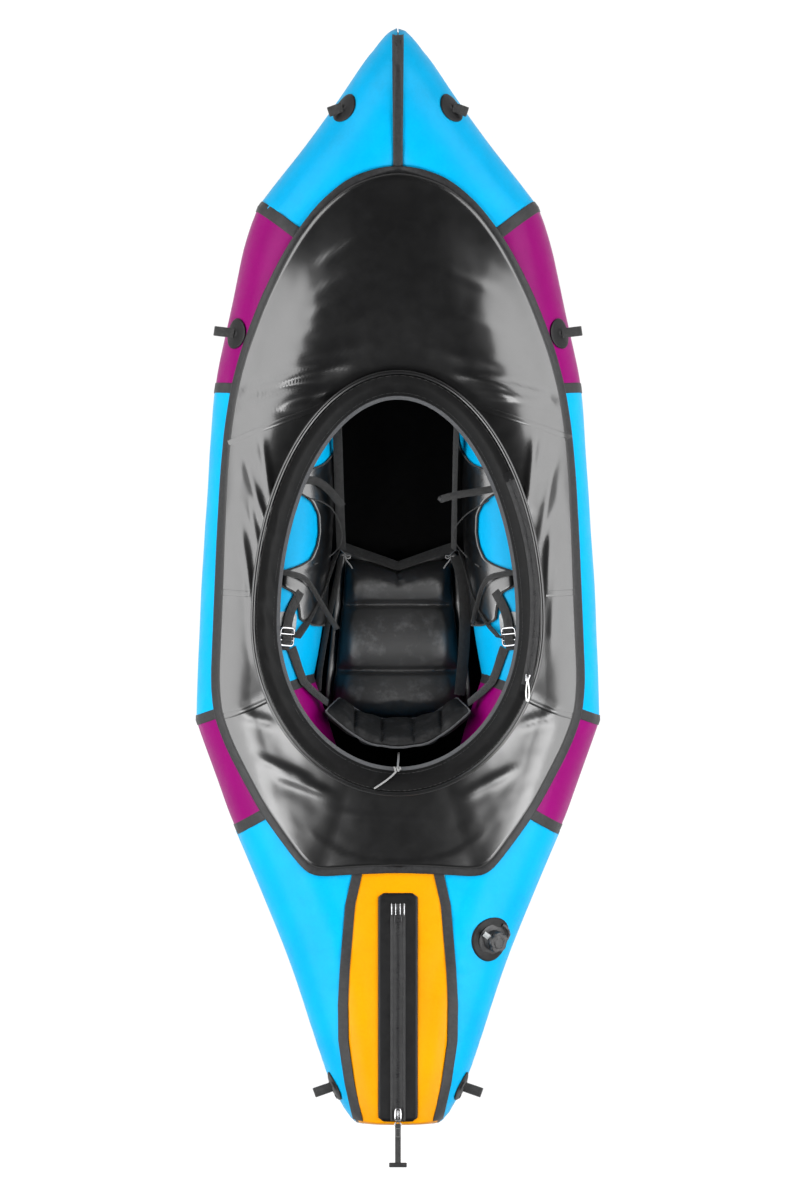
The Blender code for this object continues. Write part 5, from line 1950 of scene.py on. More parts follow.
@dataclass
class Coaming:
    """The collar round the opening: cloth band, rod sleeve and grey binding."""

    steps: int = 200
    binding: float = 0.011

    def loop(self, shape: Callable[[float], Row]) -> list[Row]:
        """Rows all the way round the opening."""
        return [shape(2 * math.pi * (i + 0.5) / self.steps) for i in range(self.steps)]

    def band_row(self, turn: float) -> Row:
        """A row across the collar's cloth, from the opening out to the rod.

        Args:
            turn: the angle about the opening's centre.

        Returns:
            The points.
        """
        row = []
        reach = OPENING.width - 2 * OPENING.rod - 0.0006
        for share in spread(0, 1, 13):
            out = 0.0003 + (reach - 0.0003) * share
            at = OPENING.oval(turn, out)
            ease = 0.0016 * math.exp(-((out - OPENING.width + OPENING.shelf) / 0.006) ** 2)
            pucker = waver(math.cos(turn) * 18, math.sin(turn) * 18, share * 3)
            rumple = waver(math.cos(turn) * 7, math.sin(turn) * 7, 4 + share)
            at.z = OPENING.face(OPENING.width - out) - ease
            left = smooth((-math.cos(turn) - 0.5) / 0.3)
            slant = waver(turn * 9 + share * 2.5, share * 1.5, 6)
            swing = 0.0005 * pucker + 0.0006 * rumple + 0.0034 * left * slant
            at.z += swing * math.sin(math.pi * share)
            row.append(at)
        return row

    def build(self) -> None:
        """Makes the collar."""
        made = grid("coaming_cloth", self.loop(self.band_row), OPENING.thickness * 0.7, loop=True)
        Made(stands_for=("coaming_band",)).place(made, Finish.COLLAR.material())
        middle = OPENING.face(0) - OPENING.thickness / 2
        path = []
        for i in range(self.steps):
            turn = 2 * math.pi * (i + 0.5) / self.steps
            at = OPENING.oval(turn, OPENING.width - OPENING.rod)
            path.append(Vector((at.x, at.y, middle)))
        loops = []
        for i, at in enumerate(path):
            ahead = (path[(i + 1) % self.steps] - path[i - 1]).normalized()
            out = ahead.cross(UP).normalized()
            thick = OPENING.rod * (0.98 + 0.05 * waver(at.x * 40, at.y * 40, 2))
            loops.append([
                at + out * (
                    thick * math.cos(a)
                ) + UP * (thick * math.sin(a))
                for a in turns(14)
            ])
        rod = loft("coaming_rod_sleeve", loops, closed=True)
        Made(stands_for=("coaming_rod",)).place(rod, Finish.DECK.material())
        self.edge_binding()
        self.stitches()
        LOG.info("the coaming is sewn")

    def edge_binding(self) -> None:
        """Grey webbing folded over the inner edge of the opening."""
        path, faces = [], []
        for i in range(self.steps):
            turn = 2 * math.pi * (i + 0.5) / self.steps
            at = OPENING.oval(turn, 0.0015)
            at.z = OPENING.face(OPENING.width - 0.0015) - 0.001
            inward = Vector((-math.cos(turn), -math.sin(turn), 0.9)).normalized()
            path.append(at)
            faces.append(inward)
        made = band("coaming_edge_binding", path, faces, self.binding, 0.0028, closed=True)
        Made(slot="webbing").place(made, Finish.BINDING.material())

    def stitches(self) -> None:
        """Two lines of thread round the collar, beside the rod and beside the binding."""
        for name, inset in (
            ("coaming_stitch_outer", OPENING.shelf * 0.42), ("coaming_stitch_inner", OPENING.width - 0.0115)
        ):
            path = []
            for i in range(2 * self.steps):
                turn = 2 * math.pi * (i + 0.5) / (2 * self.steps)
                out = OPENING.width - inset
                at = OPENING.oval(turn, out)
                at.z = OPENING.face(inset) + 0.0004 - 0.0012 * (i % 2)
                path.append(at)
            made = tube(name, path, 0.0004, closed=True, steps=2)
            Made(slot="webbing").place(made, Finish.WEB.material())


@dataclass
class CoamingZip:
    """The short curved zip let into the collar, with its slider and cord pull."""

    width: float = 0.017
    rear_y: float = -0.235
    front_y: float = 0.215
    centre: tuple[float, float] = (-0.4305, -0.0652)
    radius: float = 0.7298
    lift: float = 0.0006
    tooth: float = 0.0026
    tooth_size: tuple[float, float, float] = (0.0042, 0.0015, 0.0016)
    stagger: float = 0.0009
    slider_in: float = 0.016
    slider_sections: tuple[tuple[float, float, float], ...] = (
        (-0.008, 0.003, 0.002), (-0.0062, 0.0042, 0.0052), (0.0, 0.0046, 0.0058), (0.0045, 0.0058, 0.0052),
        (0.0078, 0.0056, 0.0022),
    )
    cord_radius: float = 0.0013
    cord_points: int = 25

    def point(self, turn: float, lift: float, off: float = 0.0) -> Vector:
        """A place along the zip's arc.

        Args:
            turn: the arc's angle.
            lift: height over the collar.
            off: distance out from the arc.

        Returns:
            The place.
        """
        reach = self.radius + off
        return Vector((
            self.centre[0] + math.cos(turn) * reach, self.centre[1] + math.sin(turn) * reach,
            OPENING.face(0) + self.lift + lift,
        ))

    def turn_at(self, y: float) -> float:
        """The arc's angle at a place along the boat."""
        return math.asin((y - self.centre[1]) / self.radius)

    def build(self) -> None:
        """Makes the zip."""
        first, last = self.turn_at(self.rear_y), self.turn_at(self.front_y)
        places = spread(first, last, 90)
        tape = band(
            "deck_zip_tape", [
                self.point(t, 0.0005) for t in places
            ], [UP] * len(places), self.width + 0.004, 0.001
        )
        Made(stands_for=("deck_zip_chain",)).place(tape, Finish.ZIP_TAPE.material())
        count = int(self.radius * (last - first) / self.tooth)
        frames = []
        for i in range(count):
            turn = first + (last - first) * (i + 0.5) / count
            at = self.point(turn, 0.0016, self.stagger * (1 if i % 2 else -1))
            frames.append(Matrix.Translation(at) @ Matrix.Rotation(turn, 4, "Z"))
        teeth = blocks("deck_zip_teeth", frames, self.tooth_size, 0.0003, 1, 50)
        Made(slot="black_plastic").place(teeth, Finish.TEETH.material())
        self.slider(first)
        self.stop_patches(first, last)
        LOG.info("the coaming zip is in")

    def stop_patches(self, first: float, last: float) -> None:
        """Small reinforcing patches over both ends of the zip.

        Args:
            first: the arc's angle at the rear end.
            last: the angle at the front end.
        """
        for name, start, end, wide in (
            ("deck_zip_stop_front", last - 0.006, last + 0.022, 0.024),
            ("deck_zip_stop_rear", first - 0.02, first - 0.002, 0.02),
        ):
            path = [self.point(t, 0.0012) for t in spread(start, end, 8)]
            made = band(name, path, [UP] * 8, wide, 0.0016, edge=0.4)
            Made(slot="deck_fabric").place(made, Finish.PATCH.material())

    def slider(self, first: float) -> None:
        """The slider and the loop of white cord on it.

        Args:
            first: the arc's angle at the rear end.
        """
        start = first + self.slider_in / self.radius
        centre = self.point(start, 0.0032)
        ahead = Vector((-math.sin(start), math.cos(start), 0))
        side = Vector((math.cos(start), math.sin(start), 0))
        loops = [
            [
                centre + ahead * along + side * (wide * math.cos(a)) + UP * (tall / 2 * math.sin(a) + 0.0006)
                for a in turns(20)
            ]
            for along, wide, tall in self.slider_sections
        ]
        body = loft("deck_zip_slider_body", loops)
        Made("deck_slider", ("deck_zip_slider",)).place(body, Finish.METAL.material())
        bridge = [
            centre + ahead * a + UP * z
            for a, z in ((-0.005, 0.003), (-0.003, 0.0058), (0.002, 0.0058), (0.004, 0.003))
        ]
        bow = tube("deck_zip_slider_bridge", bridge, 0.0008)
        Made("deck_slider", slot="silver_metal").place(bow, Finish.METAL.material())
        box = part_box("deck_zip_pull")
        low, high = Vector(box[0]), Vector(box[1])
        middle, span = (low.x + high.x) / 2, (high.y - low.y)
        z = (low.z + high.z) / 2
        path = []
        for i in range(self.cord_points):
            share = i / (self.cord_points - 1)
            loop_turn = math.pi * (2 * share - 1) * 0.9
            reach = (1 + math.cos(loop_turn)) / 2
            x = (high.x - low.x - 2 * self.cord_radius) / 2 * math.sin(loop_turn) * math.sqrt(reach) * 1.05
            path.append(Vector((middle + x, high.y - 0.0015 - (span - 0.003) * reach, z)))
        cord = tube("deck_zip_cord", path, self.cord_radius, steps=6)
        knot_at = path[self.cord_points // 2]
        Made("deck_pull", ("deck_zip_pull",)).place(cord, Finish.WHITE_CORD.material())
        knot = [
            knot_at + Vector(
                (0.0026 * math.cos(a), 0.004 * math.sin(2 * a) * 0.6 + 0.002, 0.0012 * math.sin(a))
            )
            for a in turns(12)
        ]
        tie = tube("deck_zip_cord_knot", knot, 0.0012, closed=True, steps=6)
        Made("deck_pull", slot="white_cord").place(tie, Finish.WHITE_CORD.material())
        LOG.info("the coaming zip's slider has its cord")


# The cargo zip, the valve and the grab loops

@dataclass
class CargoZip:
    """The long zip on the stern, its patch, teeth, slider and pull."""

    patch_front: float = -0.692
    patch_rear: float = -1.194
    patch_width: float = 0.087
    corner: float = 0.012
    front: float = -0.716
    rear: float = -1.192
    lift: float = 0.0027
    gap: float = 0.0003
    tape: float = 0.033
    thick: float = 0.003
    tooth: float = 0.0034
    tooth_size: tuple[float, float, float] = (0.0066, 0.0021, 0.002)
    stagger: float = 0.0012
    piping_out: float = 0.0125
    piping_radius: float = 0.0012
    prongs: tuple[float, ...] = (-0.0138, -0.005, 0.005, 0.0138)
    prong_path: tuple[tuple[float, float], ...] = (
        (0.0005, -0.0016), (-0.001, -0.0004), (-0.012, -0.0003), (-0.0235, -0.0003),
    )
    prong_radius: float = 0.0011
    rung_in: float = 0.0235
    dock_in: float = 0.0325
    slider_in: float = 0.015
    slider_sections: tuple[tuple[float, float, float], ...] = (
        (0.0148, 0.004, 0.006), (0.012, 0.0078, 0.009), (0.002, 0.0088, 0.0104), (-0.008, 0.0088, 0.0104),
        (-0.0125, 0.0074, 0.0088), (-0.0148, 0.005, 0.006),
    )
    bar_radius: float = 0.0052
    bar_half: float = 0.0195
    slider_height: float = 0.012
    strap_length: float = 0.095

    def line(self, y: float, lift: float = 0.0) -> Vector:
        """A point on the straight line over the stern's middle that the zip follows.

        Args:
            y: place along the hull.
            lift: height over the line.

        Returns:
            The point.
        """
        ends = []
        for end in (self.patch_front, self.patch_rear):
            y_out, reach = FORM.section(0, end)
            width = FORM.outline(y_out)[0]
            ends.append(FORM.middle(end) + FORM.stern_height(0, end, reach, width))
        share = (y - self.patch_front) / (self.patch_rear - self.patch_front)
        return Vector((0, y, ends[0] + (ends[1] - ends[0]) * share + lift))

    def patch(self) -> None:
        """The rounded black patch that the zip is welded to."""
        rows = []
        for y in spread(self.patch_front, self.patch_rear, 60):
            end = min(self.patch_front - y, y - self.patch_rear)
            half = self.patch_width / 2
            if end < self.corner:
                half -= self.corner - math.sqrt(max(self.corner ** 2 - (self.corner - end) ** 2, 0))
            y_out, reach = FORM.section(0, y)
            top = FORM.stern_height(0, y, reach, FORM.outline(y_out)[0])
            row = []
            for x in spread(-half, half, 17):
                y_out, reach = FORM.section(x, y)
                drop = top - FORM.stern_height(abs(x), y, reach, FORM.outline(y_out)[0])
                rumple = 0.0005 * waver(x * 40, y * 30, 3)
                row.append(self.line(y, self.lift - drop + rumple) + Vector((x, 0, 0)))
            rows.append(row)
        made = grid("cargo_zip_patch_cloth", rows, 0.0009, flip=True)
        Made(stands_for=("cargo_zip_patch",)).place(made, Finish.PATCH.material())

    def chain(self) -> None:
        """The zip's two woven tapes and the closed row of moulded teeth."""
        base = self.lift + self.gap
        rows = []
        heights = (0.0003, 0.0009, 0.0012, 0.0015, 0.0024, 0.0024, 0.0015, 0.0012, 0.0009, 0.0003)
        places = spread(-1, 1, len(heights))
        for y in spread(self.front, self.rear, 60):
            rows.append([
                self.line(y, base + high) + Vector((self.tape / 2 * x, 0, 0))
                for x, high in zip(places, heights)
            ])
        tape = grid("cargo_zip_tape", rows, 0.0006, flip=True)
        Made(stands_for=("cargo_zip_chain",)).place(tape, Finish.ZIP_TAPE.material())
        count = int((self.front - self.rear - 0.02) / self.tooth)
        frames = []
        for i in range(count):
            y = self.front - 0.012 - self.tooth * (i + 0.5)
            off = self.stagger * (1 if i % 2 else -1)
            frames.append(Matrix.Translation(self.line(y, base + 0.0031) + Vector((off, 0, 0))))
        teeth = blocks("cargo_zip_teeth", frames, self.tooth_size, 0.0005, 2, 35)
        Made(slot="black_plastic").place(teeth, Finish.TEETH.material())
        for side in Side:
            path = [
                self.line(y, base + self.piping_radius) + Vector((side.value * self.piping_out, 0, 0))
                for y in spread(self.front, self.rear, 30)
            ]
            rib = tube(f"cargo_zip_piping_{side.word}", path, self.piping_radius, steps=2)
            Made(slot="black_plastic").place(rib, Finish.ZIP_TAPE.material())

    def dock(self) -> None:
        """The moulded block at the zip's front end, where it closes tight."""
        base = self.lift + self.gap + self.thick - 0.0004
        outline = (
            (-0.5, -1), (0.5, -1), (0.62, -0.6), (0.62, 0.7), (0.4, 1), (-0.4, 1), (-0.62, 0.7), (-0.62, -0.6)
        )
        loops = []
        for shrink, high in ((1, -0.001), (1, 0.0003), (0.94, 0.0007), (0.7, 0.0009)):
            loops.append([
                self.line(
                    self.front - self.dock_in + 0.009 * y * shrink, base + high
                ) + Vector((0.0145 * x * shrink, 0, 0))
                for x, y in outline
            ])
        block = loft("cargo_zip_dock", loops, smoothing=1)
        Made(slot="black_plastic").place(block, Finish.PLASTIC.material())
        for number, x in enumerate(self.prongs):
            path = [self.line(self.front + y, base + z) + Vector((x, 0, 0)) for y, z in self.prong_path]
            prong = tube(f"cargo_zip_prong_{number}", path, self.prong_radius)
            Made(slot="silver_metal").place(prong, Finish.METAL.material())

    def slider(self) -> None:
        """The metal slider, its bridge, and the ring, strap and bar that pull it."""
        base = self.lift + self.gap + self.thick + self.gap
        centre_y = self.rear + self.slider_in
        loops = []
        for along, wide, tall in self.slider_sections:
            loops.append([
                self.line(
                    centre_y + along,
                    base + tall * 0.5 + tall / 2 * math.sin(a) * (0.9 if math.sin(a) < 0 else 0.75)
                )
                + Vector((wide * (abs(math.cos(a)) ** 0.7) * (1 if math.cos(a) > 0 else -1), 0, 0))
                for a in turns(28)
            ])
        body = loft("cargo_slider_body", loops, smoothing=1)
        Made("cargo_slider", ("cargo_zip_slider",)).place(body, Finish.METAL.material())
        arch = [
            self.line(centre_y + a, base + z)
            for a, z in ((0.009, 0.0085), (0.007, 0.0118), (-0.006, 0.0118), (-0.0095, 0.008))
        ]
        bridge = tube("cargo_slider_bridge", arch, 0.0013)
        Made("cargo_slider", slot="silver_metal").place(bridge, Finish.METAL.material())
        self.pull(base + self.slider_height / 2)

    def pull(self, lift: float) -> None:
        """The ring, the folded strap and the bar at its end.

        Args:
            lift: height over the line.
        """
        start = self.rear - 0.0006
        across = Vector((1, 0, 0))
        ring = [
            self.line(start - 0.0065 + 0.0062 * math.sin(a), lift) + across * (0.0068 * math.cos(a))
            for a in turns(20)
        ]
        eye = tube("cargo_pull_ring", ring, 0.0011, closed=True)
        Made("cargo_pull", slot="silver_metal").place(eye, Finish.METAL.material())
        low = start - self.strap_length
        places = [start - 0.0045] + spread(start - 0.01, low + 0.006, 22) + [low + 0.001]
        for name, offset in (("cargo_pull_strap", 0.0009), ("cargo_pull_strap_under", -0.0009)):
            path = [
                self.line(y, lift + offset * (0.3 if i in (0, len(places) - 1) else 1))
                for i, y in enumerate(places)
            ]
            strap = band(name, path, [UP] * len(path), 0.0125, 0.0013)
            names = ("cargo_zip_pull",) if offset > 0 else ()
            Made("cargo_pull", names, "" if names else "webbing").place(strap, Finish.WEB.material())
        stitch = []
        for a in turns(40):
            y = start - 0.024 + 0.009 * max(min(1.4 * math.sin(a), 1), -1)
            x = 0.0045 * max(min(1.4 * math.cos(a), 1), -1)
            stitch.append(self.line(y, lift + 0.00165) + across * x)
        thread = tube("cargo_pull_stitch", stitch, 0.0003, closed=True, steps=2)
        Made("cargo_pull", slot="grey_cord").place(thread, Finish.GREY_CORD.material())
        half, radius = self.bar_half, self.bar_radius
        profile = rounded(((0, -half), (radius, -half), (radius, half), (0, half)), 0.0018)
        place = Matrix.Translation(self.line(low, lift)) @ Matrix.Rotation(90 * DEG, 4, "Y")
        bar = lathe("cargo_pull_bar", profile, place, 32)
        Made("cargo_pull", slot="black_plastic").place(bar, Finish.PLASTIC.material())

    def build(self) -> None:
        """Makes the whole zip."""
        self.patch()
        self.chain()
        self.dock()
        base_lift = self.lift + self.gap + self.thick - 0.0008
        bar = [self.line(self.front - self.rung_in, base_lift) + Vector((x, 0, 0)) for x in self.prongs]
        rung = tube("cargo_zip_rung", bar, 0.0013)
        Made(slot="silver_metal").place(rung, Finish.METAL.material())
        self.slider()
        LOG.info("the cargo zip is in")


@dataclass
class Valve:
    """The inflation valve on the stern's right side."""

    x: float = 0.207
    y: float = -0.797
    lift: float = 0.0004
    skirt: float = 0.0345
    patch: float = 0.0495
    stem: Profile = (
        (0, 0.009), (0.004, 0.009), (0.004, -0.0003), (0.0155, -0.0003), (0.0155, -0.0023), (0, -0.0023),
    )
    keeper: Profile = ((0.0154, 0.0143), (0.0232, 0.0143), (0.0232, 0.0163), (0.0154, 0.0163))
    cap: Profile = (
        (0, 0.0286), (0.0135, 0.0286), (0.0145, 0.0276), (0.0215, 0.0286), (0.0235, 0.0268),
        (0.0238, 0.018), (0.0225, 0.0166), (0.0148, 0.0166), (0.0148, 0.0108), (0, 0.0108),
    )
    dish: Profile = (
        (0, 0.0274), (0.0105, 0.0274), (0.0118, 0.0288), (0.0105, 0.0292), (0.0092, 0.0284), (0, 0.0284),
    )
    lobes: int = 5
    lobe_depth: float = 0.15
    tether: tuple[tuple[float, float, float], ...] = (
        (0.021, 0.004, 0.0158), (0.027, 0.010, 0.0172), (0.031, 0.019, 0.0148), (0.030, 0.027, 0.0085),
        (0.024, 0.033, 0.0046), (0.016, 0.036, 0.004),
    )
    tab: tuple[tuple[float, float, float], ...] = (
        (-0.0225, 0.006, 0.0172), (-0.0265, 0.008, 0.0178), (-0.0325, 0.0105, 0.0165),
        (-0.037, 0.0125, 0.0142),
    )

    def build(self) -> None:
        """Makes the patch, skirt, poppet, tether and the lobed cap."""
        point, normal, _, along = FORM.skin_frame(self.x, self.y)
        across = along.cross(normal).normalized()
        frame_at = Matrix((across, along, normal)).transposed().to_4x4()
        place = Matrix.Translation(point + normal * self.lift) @ frame_at
        self.round_patch(point, across, along)
        base = ((0.0175, 0.014), (0.0225, 0.014), (0.0225, 0.0032), (0.026, 0.0026), (self.skirt, 0.0012),
                (self.skirt, 0), (0.0215, 0), (0.0215, -0.013), (0.0185, -0.013), (0.0185, 0), (0.011, 0),
                (0.011, 0.002), (0.0175, 0.002))
        body = lathe("valve_base", rounded(base, 0.0008), place, 72)
        Made(stands_for=("valve_body",)).place(body, Finish.PLASTIC.material())
        poppet = lathe("valve_disc", rounded(self.stem, 0.0005), place, 48)
        Made("valve_poppet", ("valve_poppet",)).place(poppet, Finish.PLASTIC.material())
        keeper = lathe("valve_keeper_ring", rounded(self.keeper, 0.0005), place, 64)
        Made("valve_keeper", ("valve_tether",)).place(keeper, Finish.PLASTIC.material())
        self.strap(place)
        knob = lathe("valve_knob", rounded(self.cap, 0.0012), place, 120, self.lobe)
        Made("valve_cap", ("valve_cap",)).place(knob, Finish.PLASTIC.material())
        middle = lathe("valve_knob_middle", rounded(self.dish, 0.0004), place, 48)
        Made("valve_cap", slot="black_plastic").place(middle, Finish.PLASTIC.material())
        LOG.info("the valve is fitted")

    def lobe(self, turn: float) -> float:
        """The cap's grip: shallow scoops round its rim."""
        dip = (0.5 + 0.5 * math.cos(self.lobes * turn)) ** 3
        return 1 - self.lobe_depth * dip

    def round_patch(self, point: Vector, across: Vector, along: Vector) -> None:
        """The round black patch under the valve's skirt.

        Args:
            point: its middle.
            across: one way over it.
            along: the other way over it.
        """
        rows = []
        for share in (0.45, 0.6, 0.75, 0.9, 0.97, 1.0):
            ring = []
            for a in turns(64):
                flat = point + (across * math.cos(a) + along * math.sin(a)) * (self.patch * share)
                ring.append(self.onto(flat, across.cross(along), 0.0014 if share < 0.99 else 0.0004))
            rows.append(ring)
        made = grid("valve_patch", rows, 0.0008, ring=True)
        Made(slot="deck_fabric").place(made, Finish.PATCH.material())

    def onto(self, place: Vector, normal: Vector, proud: float) -> Vector:
        """A place slid along a normal until it lies on the hull's skin.

        Args:
            place: where it starts.
            normal: the way it slides, out of the hull.
            proud: how far over the skin it stops.

        Returns:
            The place on the skin.
        """
        out, inside = 0.03, -0.05
        for _ in range(26):
            middle = (out + inside) / 2
            at = place + normal * middle
            if at.z > FORM.top(at.x, at.y):
                out = middle
            else:
                inside = middle
        return place + normal * (out + proud)

    def strap(self, place: Matrix) -> None:
        """The bendy tether from the ring to its tab, and the pale tab itself.

        Args:
            place: the valve's own frame.
        """
        line = [place @ Vector(at) for at in self.tether]
        strap = band("valve_strap", line, [UP] * len(line), 0.0075, 0.0016, edge=0.5)
        Made("valve_keeper", slot="black_plastic").place(strap, Finish.PLASTIC.material())
        line = [place @ Vector(at) for at in self.tab]
        made = band("valve_tab", line, [UP] * len(line), 0.0115, 0.0016, edge=0.5)
        Made("valve_keeper", slot="silver_metal").place(made, Finish.TAB.material())


@dataclass
class GrabLoops:
    """Six webbing loops, each on a round patch."""

    patch: float = 0.034
    width: float = 0.021
    gap: float = 0.0045
    thickness: float = 0.0016
    places: tuple[tuple[str, float, float, float], ...] = (
        ("bow", 0.118, 1.03, 0.0009), ("middle", 0.358, 0.54, 0.00215), ("stern", 0.143, -1.125, 0.0012),
    )
    patch_rings: Profile = (
        (0.02, 0.0016), (0.3, 0.0016), (0.6, 0.0016), (0.85, 0.0015), (0.96, 0.0013), (1.0, 0.0002),
    )
    patch_bend: float = 0.13
    stitch_in: float = 0.011
    stitch_half: tuple[float, float] = (0.006, 0.0075)
    ways: tuple[tuple[str, float, float, float], ...] = (
        ("bow", -0.32, 0.034, 0.35), ("middle", 0.14, 0.046, 0.3), ("stern", -0.36, 0.041, 0.12),
    )

    def hairpin(self, size: float) -> list[tuple[float, float]]:
        """Places along the loop: out, round its end and back.

        Args:
            size: the loop's length.

        Returns:
            Places out from the root and up from its middle.
        """
        half = (self.gap + self.thickness) / 2
        straight = size - half
        made = [(straight * share, -half * smooth(share * 2.2)) for share in spread(0, 1, 12)]
        made += [(straight + half * math.sin(a), -half * math.cos(a)) for a in spread(0, math.pi, 14)[1:-1]]
        made += [
            (straight * share, half + 0.0004 - half * (1 - smooth(share * 2.2)) * 0.86)
            for share in spread(1, 0, 12)
        ]
        return made

    def one(self, kind: str, side: Side, x: float, y: float, lift: float) -> None:
        """A patch and its loop.

        Args:
            kind: bow, middle or stern.
            side: which side.
            x: how far out it is.
            y: where along the hull.
            lift: the patch's height over the skin.
        """
        point, normal, around, along = FORM.skin_frame(side.value * x, y)
        rings = []
        for share, proud in self.patch_rings:
            ring = []
            for a in turns(48):
                u, v = self.patch * share * math.cos(a), self.patch * share * math.sin(a)
                bend = self.patch_bend
                at = point + along * v + (
                    around * math.sin(u / bend) - normal * (1 - math.cos(u / bend))
                ) * bend
                skin = FORM.skin_frame(at.x, at.y)
                if (skin[0] - at).length < self.patch / 2:
                    at = skin[0]
                ring.append(at + skin[1] * (lift + proud))
            rings.append(ring)
        name = f"{kind}_patch_{side.word}"
        disc = grid(f"{name}_cloth", rings, 0.0011, ring=True, flip=side.value > 0)
        Made(stands_for=(name,)).place(disc, Finish.PATCH.material())
        _, swing, reach, droop = next(way for way in self.ways if way[0] == kind)
        out = Vector((side.value, swing, -droop)).normalized()
        wide = out.cross(UP).normalized()
        up = wide.cross(out).normalized()
        root = point + normal * (lift + 0.0015 + self.thickness / 2 + 0.0003)
        body = f"{kind}_loop_{side.word}"
        half = (self.gap + self.thickness) / 2
        path = [root + out * a + up * (b + half) for a, b in self.hairpin(reach)]
        faces = []
        for i, at in enumerate(path):
            ahead = path[min(i + 1, len(path) - 1)] - path[max(i - 1, 0)]
            faces.append(ahead.cross(wide).normalized())
        strap = band(f"{body}_webbing", path, faces, self.width, self.thickness)
        bends = (root + out * 0.006, root + out * reach * 0.7)
        Made(body, (body,), bends=bends).place(strap, Finish.WEB.material())
        long, broad = self.stitch_half
        box = [
            root + out * (self.stitch_in + a * long) + wide * (b * broad) + up * 0.0046
            for a, b in ((-1, -1), (1, -1), (1, 1), (-1, 1), (-1, -1), (1, 1), (1, -1), (-1, 1))
        ]
        thread = tube(f"{body}_stitch", box, 0.00035, steps=2)
        thread.data.splines[0].order_u = 2
        thread = self.to_mesh(thread)
        sewn = Made(body, slot="grey_cord", bends=bends)
        sewn.place(thread, Finish.GREY_CORD.material())

    def to_mesh(self, thread: bpy.types.Object) -> bpy.types.Object:
        """A mesh copy of a curve.

        Args:
            thread: the curve, which is removed.

        Returns:
            The copy, under the curve's name.
        """
        bpy.context.view_layer.update()
        name, graph = thread.name, bpy.context.evaluated_depsgraph_get()
        mesh = bpy.data.meshes.new_from_object(thread.evaluated_get(graph))
        bpy.data.objects.remove(thread)
        return link(name, mesh)

    def build(self) -> None:
        """Makes every loop."""
        for side in Side:
            for kind, x, y, lift in self.places:
                self.one(kind, side, x, y, lift)
        LOG.info("the grab loops are sewn on")


# The seat, the backband and the thigh braces

def applied(obj: bpy.types.Object) -> None:
    """Makes an object's modifiers part of its mesh.

    Args:
        obj: the object.
    """
    bpy.context.view_layer.update()
    depsgraph = bpy.context.evaluated_depsgraph_get()
    mesh = bpy.data.meshes.new_from_object(obj.evaluated_get(depsgraph))
    obj.modifiers.clear()
    obj.data = mesh


@dataclass(frozen=True)
class Stuffing:
    """Fills a closed cloth form the way air or foam does, by a short cloth simulation."""

    voxel: float
    reach: float
    pressure: float = 4.0
    frames: int = 20

    def swell(self, obj: bpy.types.Object, floor: float | None = None) -> None:
        """Runs the simulation and keeps its result.

        Args:
            obj: the closed form, a little smaller than the pad.
            floor: the lowest height that its cloth may reach.
        """
        even = obj.modifiers.new("Even mesh", "REMESH")
        even.mode = "VOXEL"
        even.voxel_size = self.voxel
        applied(obj)
        start = [vertex.co.copy() for vertex in obj.data.vertices]
        cloth = obj.modifiers.new("Stuffing", "CLOTH")
        cloth.settings.quality = 4
        cloth.settings.use_pressure = True
        cloth.settings.uniform_pressure_force = self.pressure
        cloth.settings.effector_weights.gravity = 0
        cloth.point_cache.frame_start = 1
        cloth.point_cache.frame_end = self.frames
        for frame_number in range(1, self.frames + 1):
            bpy.context.scene.frame_set(frame_number)
        applied(obj)
        bpy.context.scene.frame_set(1)
        for vertex, before in zip(obj.data.vertices, start):
            move = vertex.co - before
            if move.length > self.reach:
                vertex.co = before + move * (self.reach / move.length)
            if floor is not None:
                vertex.co.z = max(vertex.co.z, floor)


def carve(obj: bpy.types.Object, depth: Callable[[Vector], Vector]) -> None:
    """Moves each point of a mesh by what `depth` gives for its place, then rounds the mesh once.

    Args:
        obj: the pad.
        depth: the move of a point at a place.
    """
    for vertex in obj.data.vertices:
        vertex.co += depth(vertex.co.copy())
    more = obj.modifiers.new("Rounding", "SUBSURF")
    more.levels = more.render_levels = 1
    for face in obj.data.polygons:
        face.use_smooth = True


def pad_ring(centre: Vector, wide: Vector, high: Vector, half: float, tall: float, count: int = 40) -> Row:
    """A rounded closed section of a pad.

    Args:
        centre: its middle.
        wide: the way across.
        high: the way up.
        half: half its width.
        tall: its height.
        count: number of points.

    Returns:
        The points.
    """
    ring = []
    for k in range(count):
        cos, sin = math.cos(2 * math.pi * k / count), math.sin(2 * math.pi * k / count)
        a = math.copysign(abs(cos) ** 0.55, cos) * half
        b = math.copysign(abs(sin) ** 0.55, sin) * tall
        ring.append(centre + wide * a + high * b)
    return ring


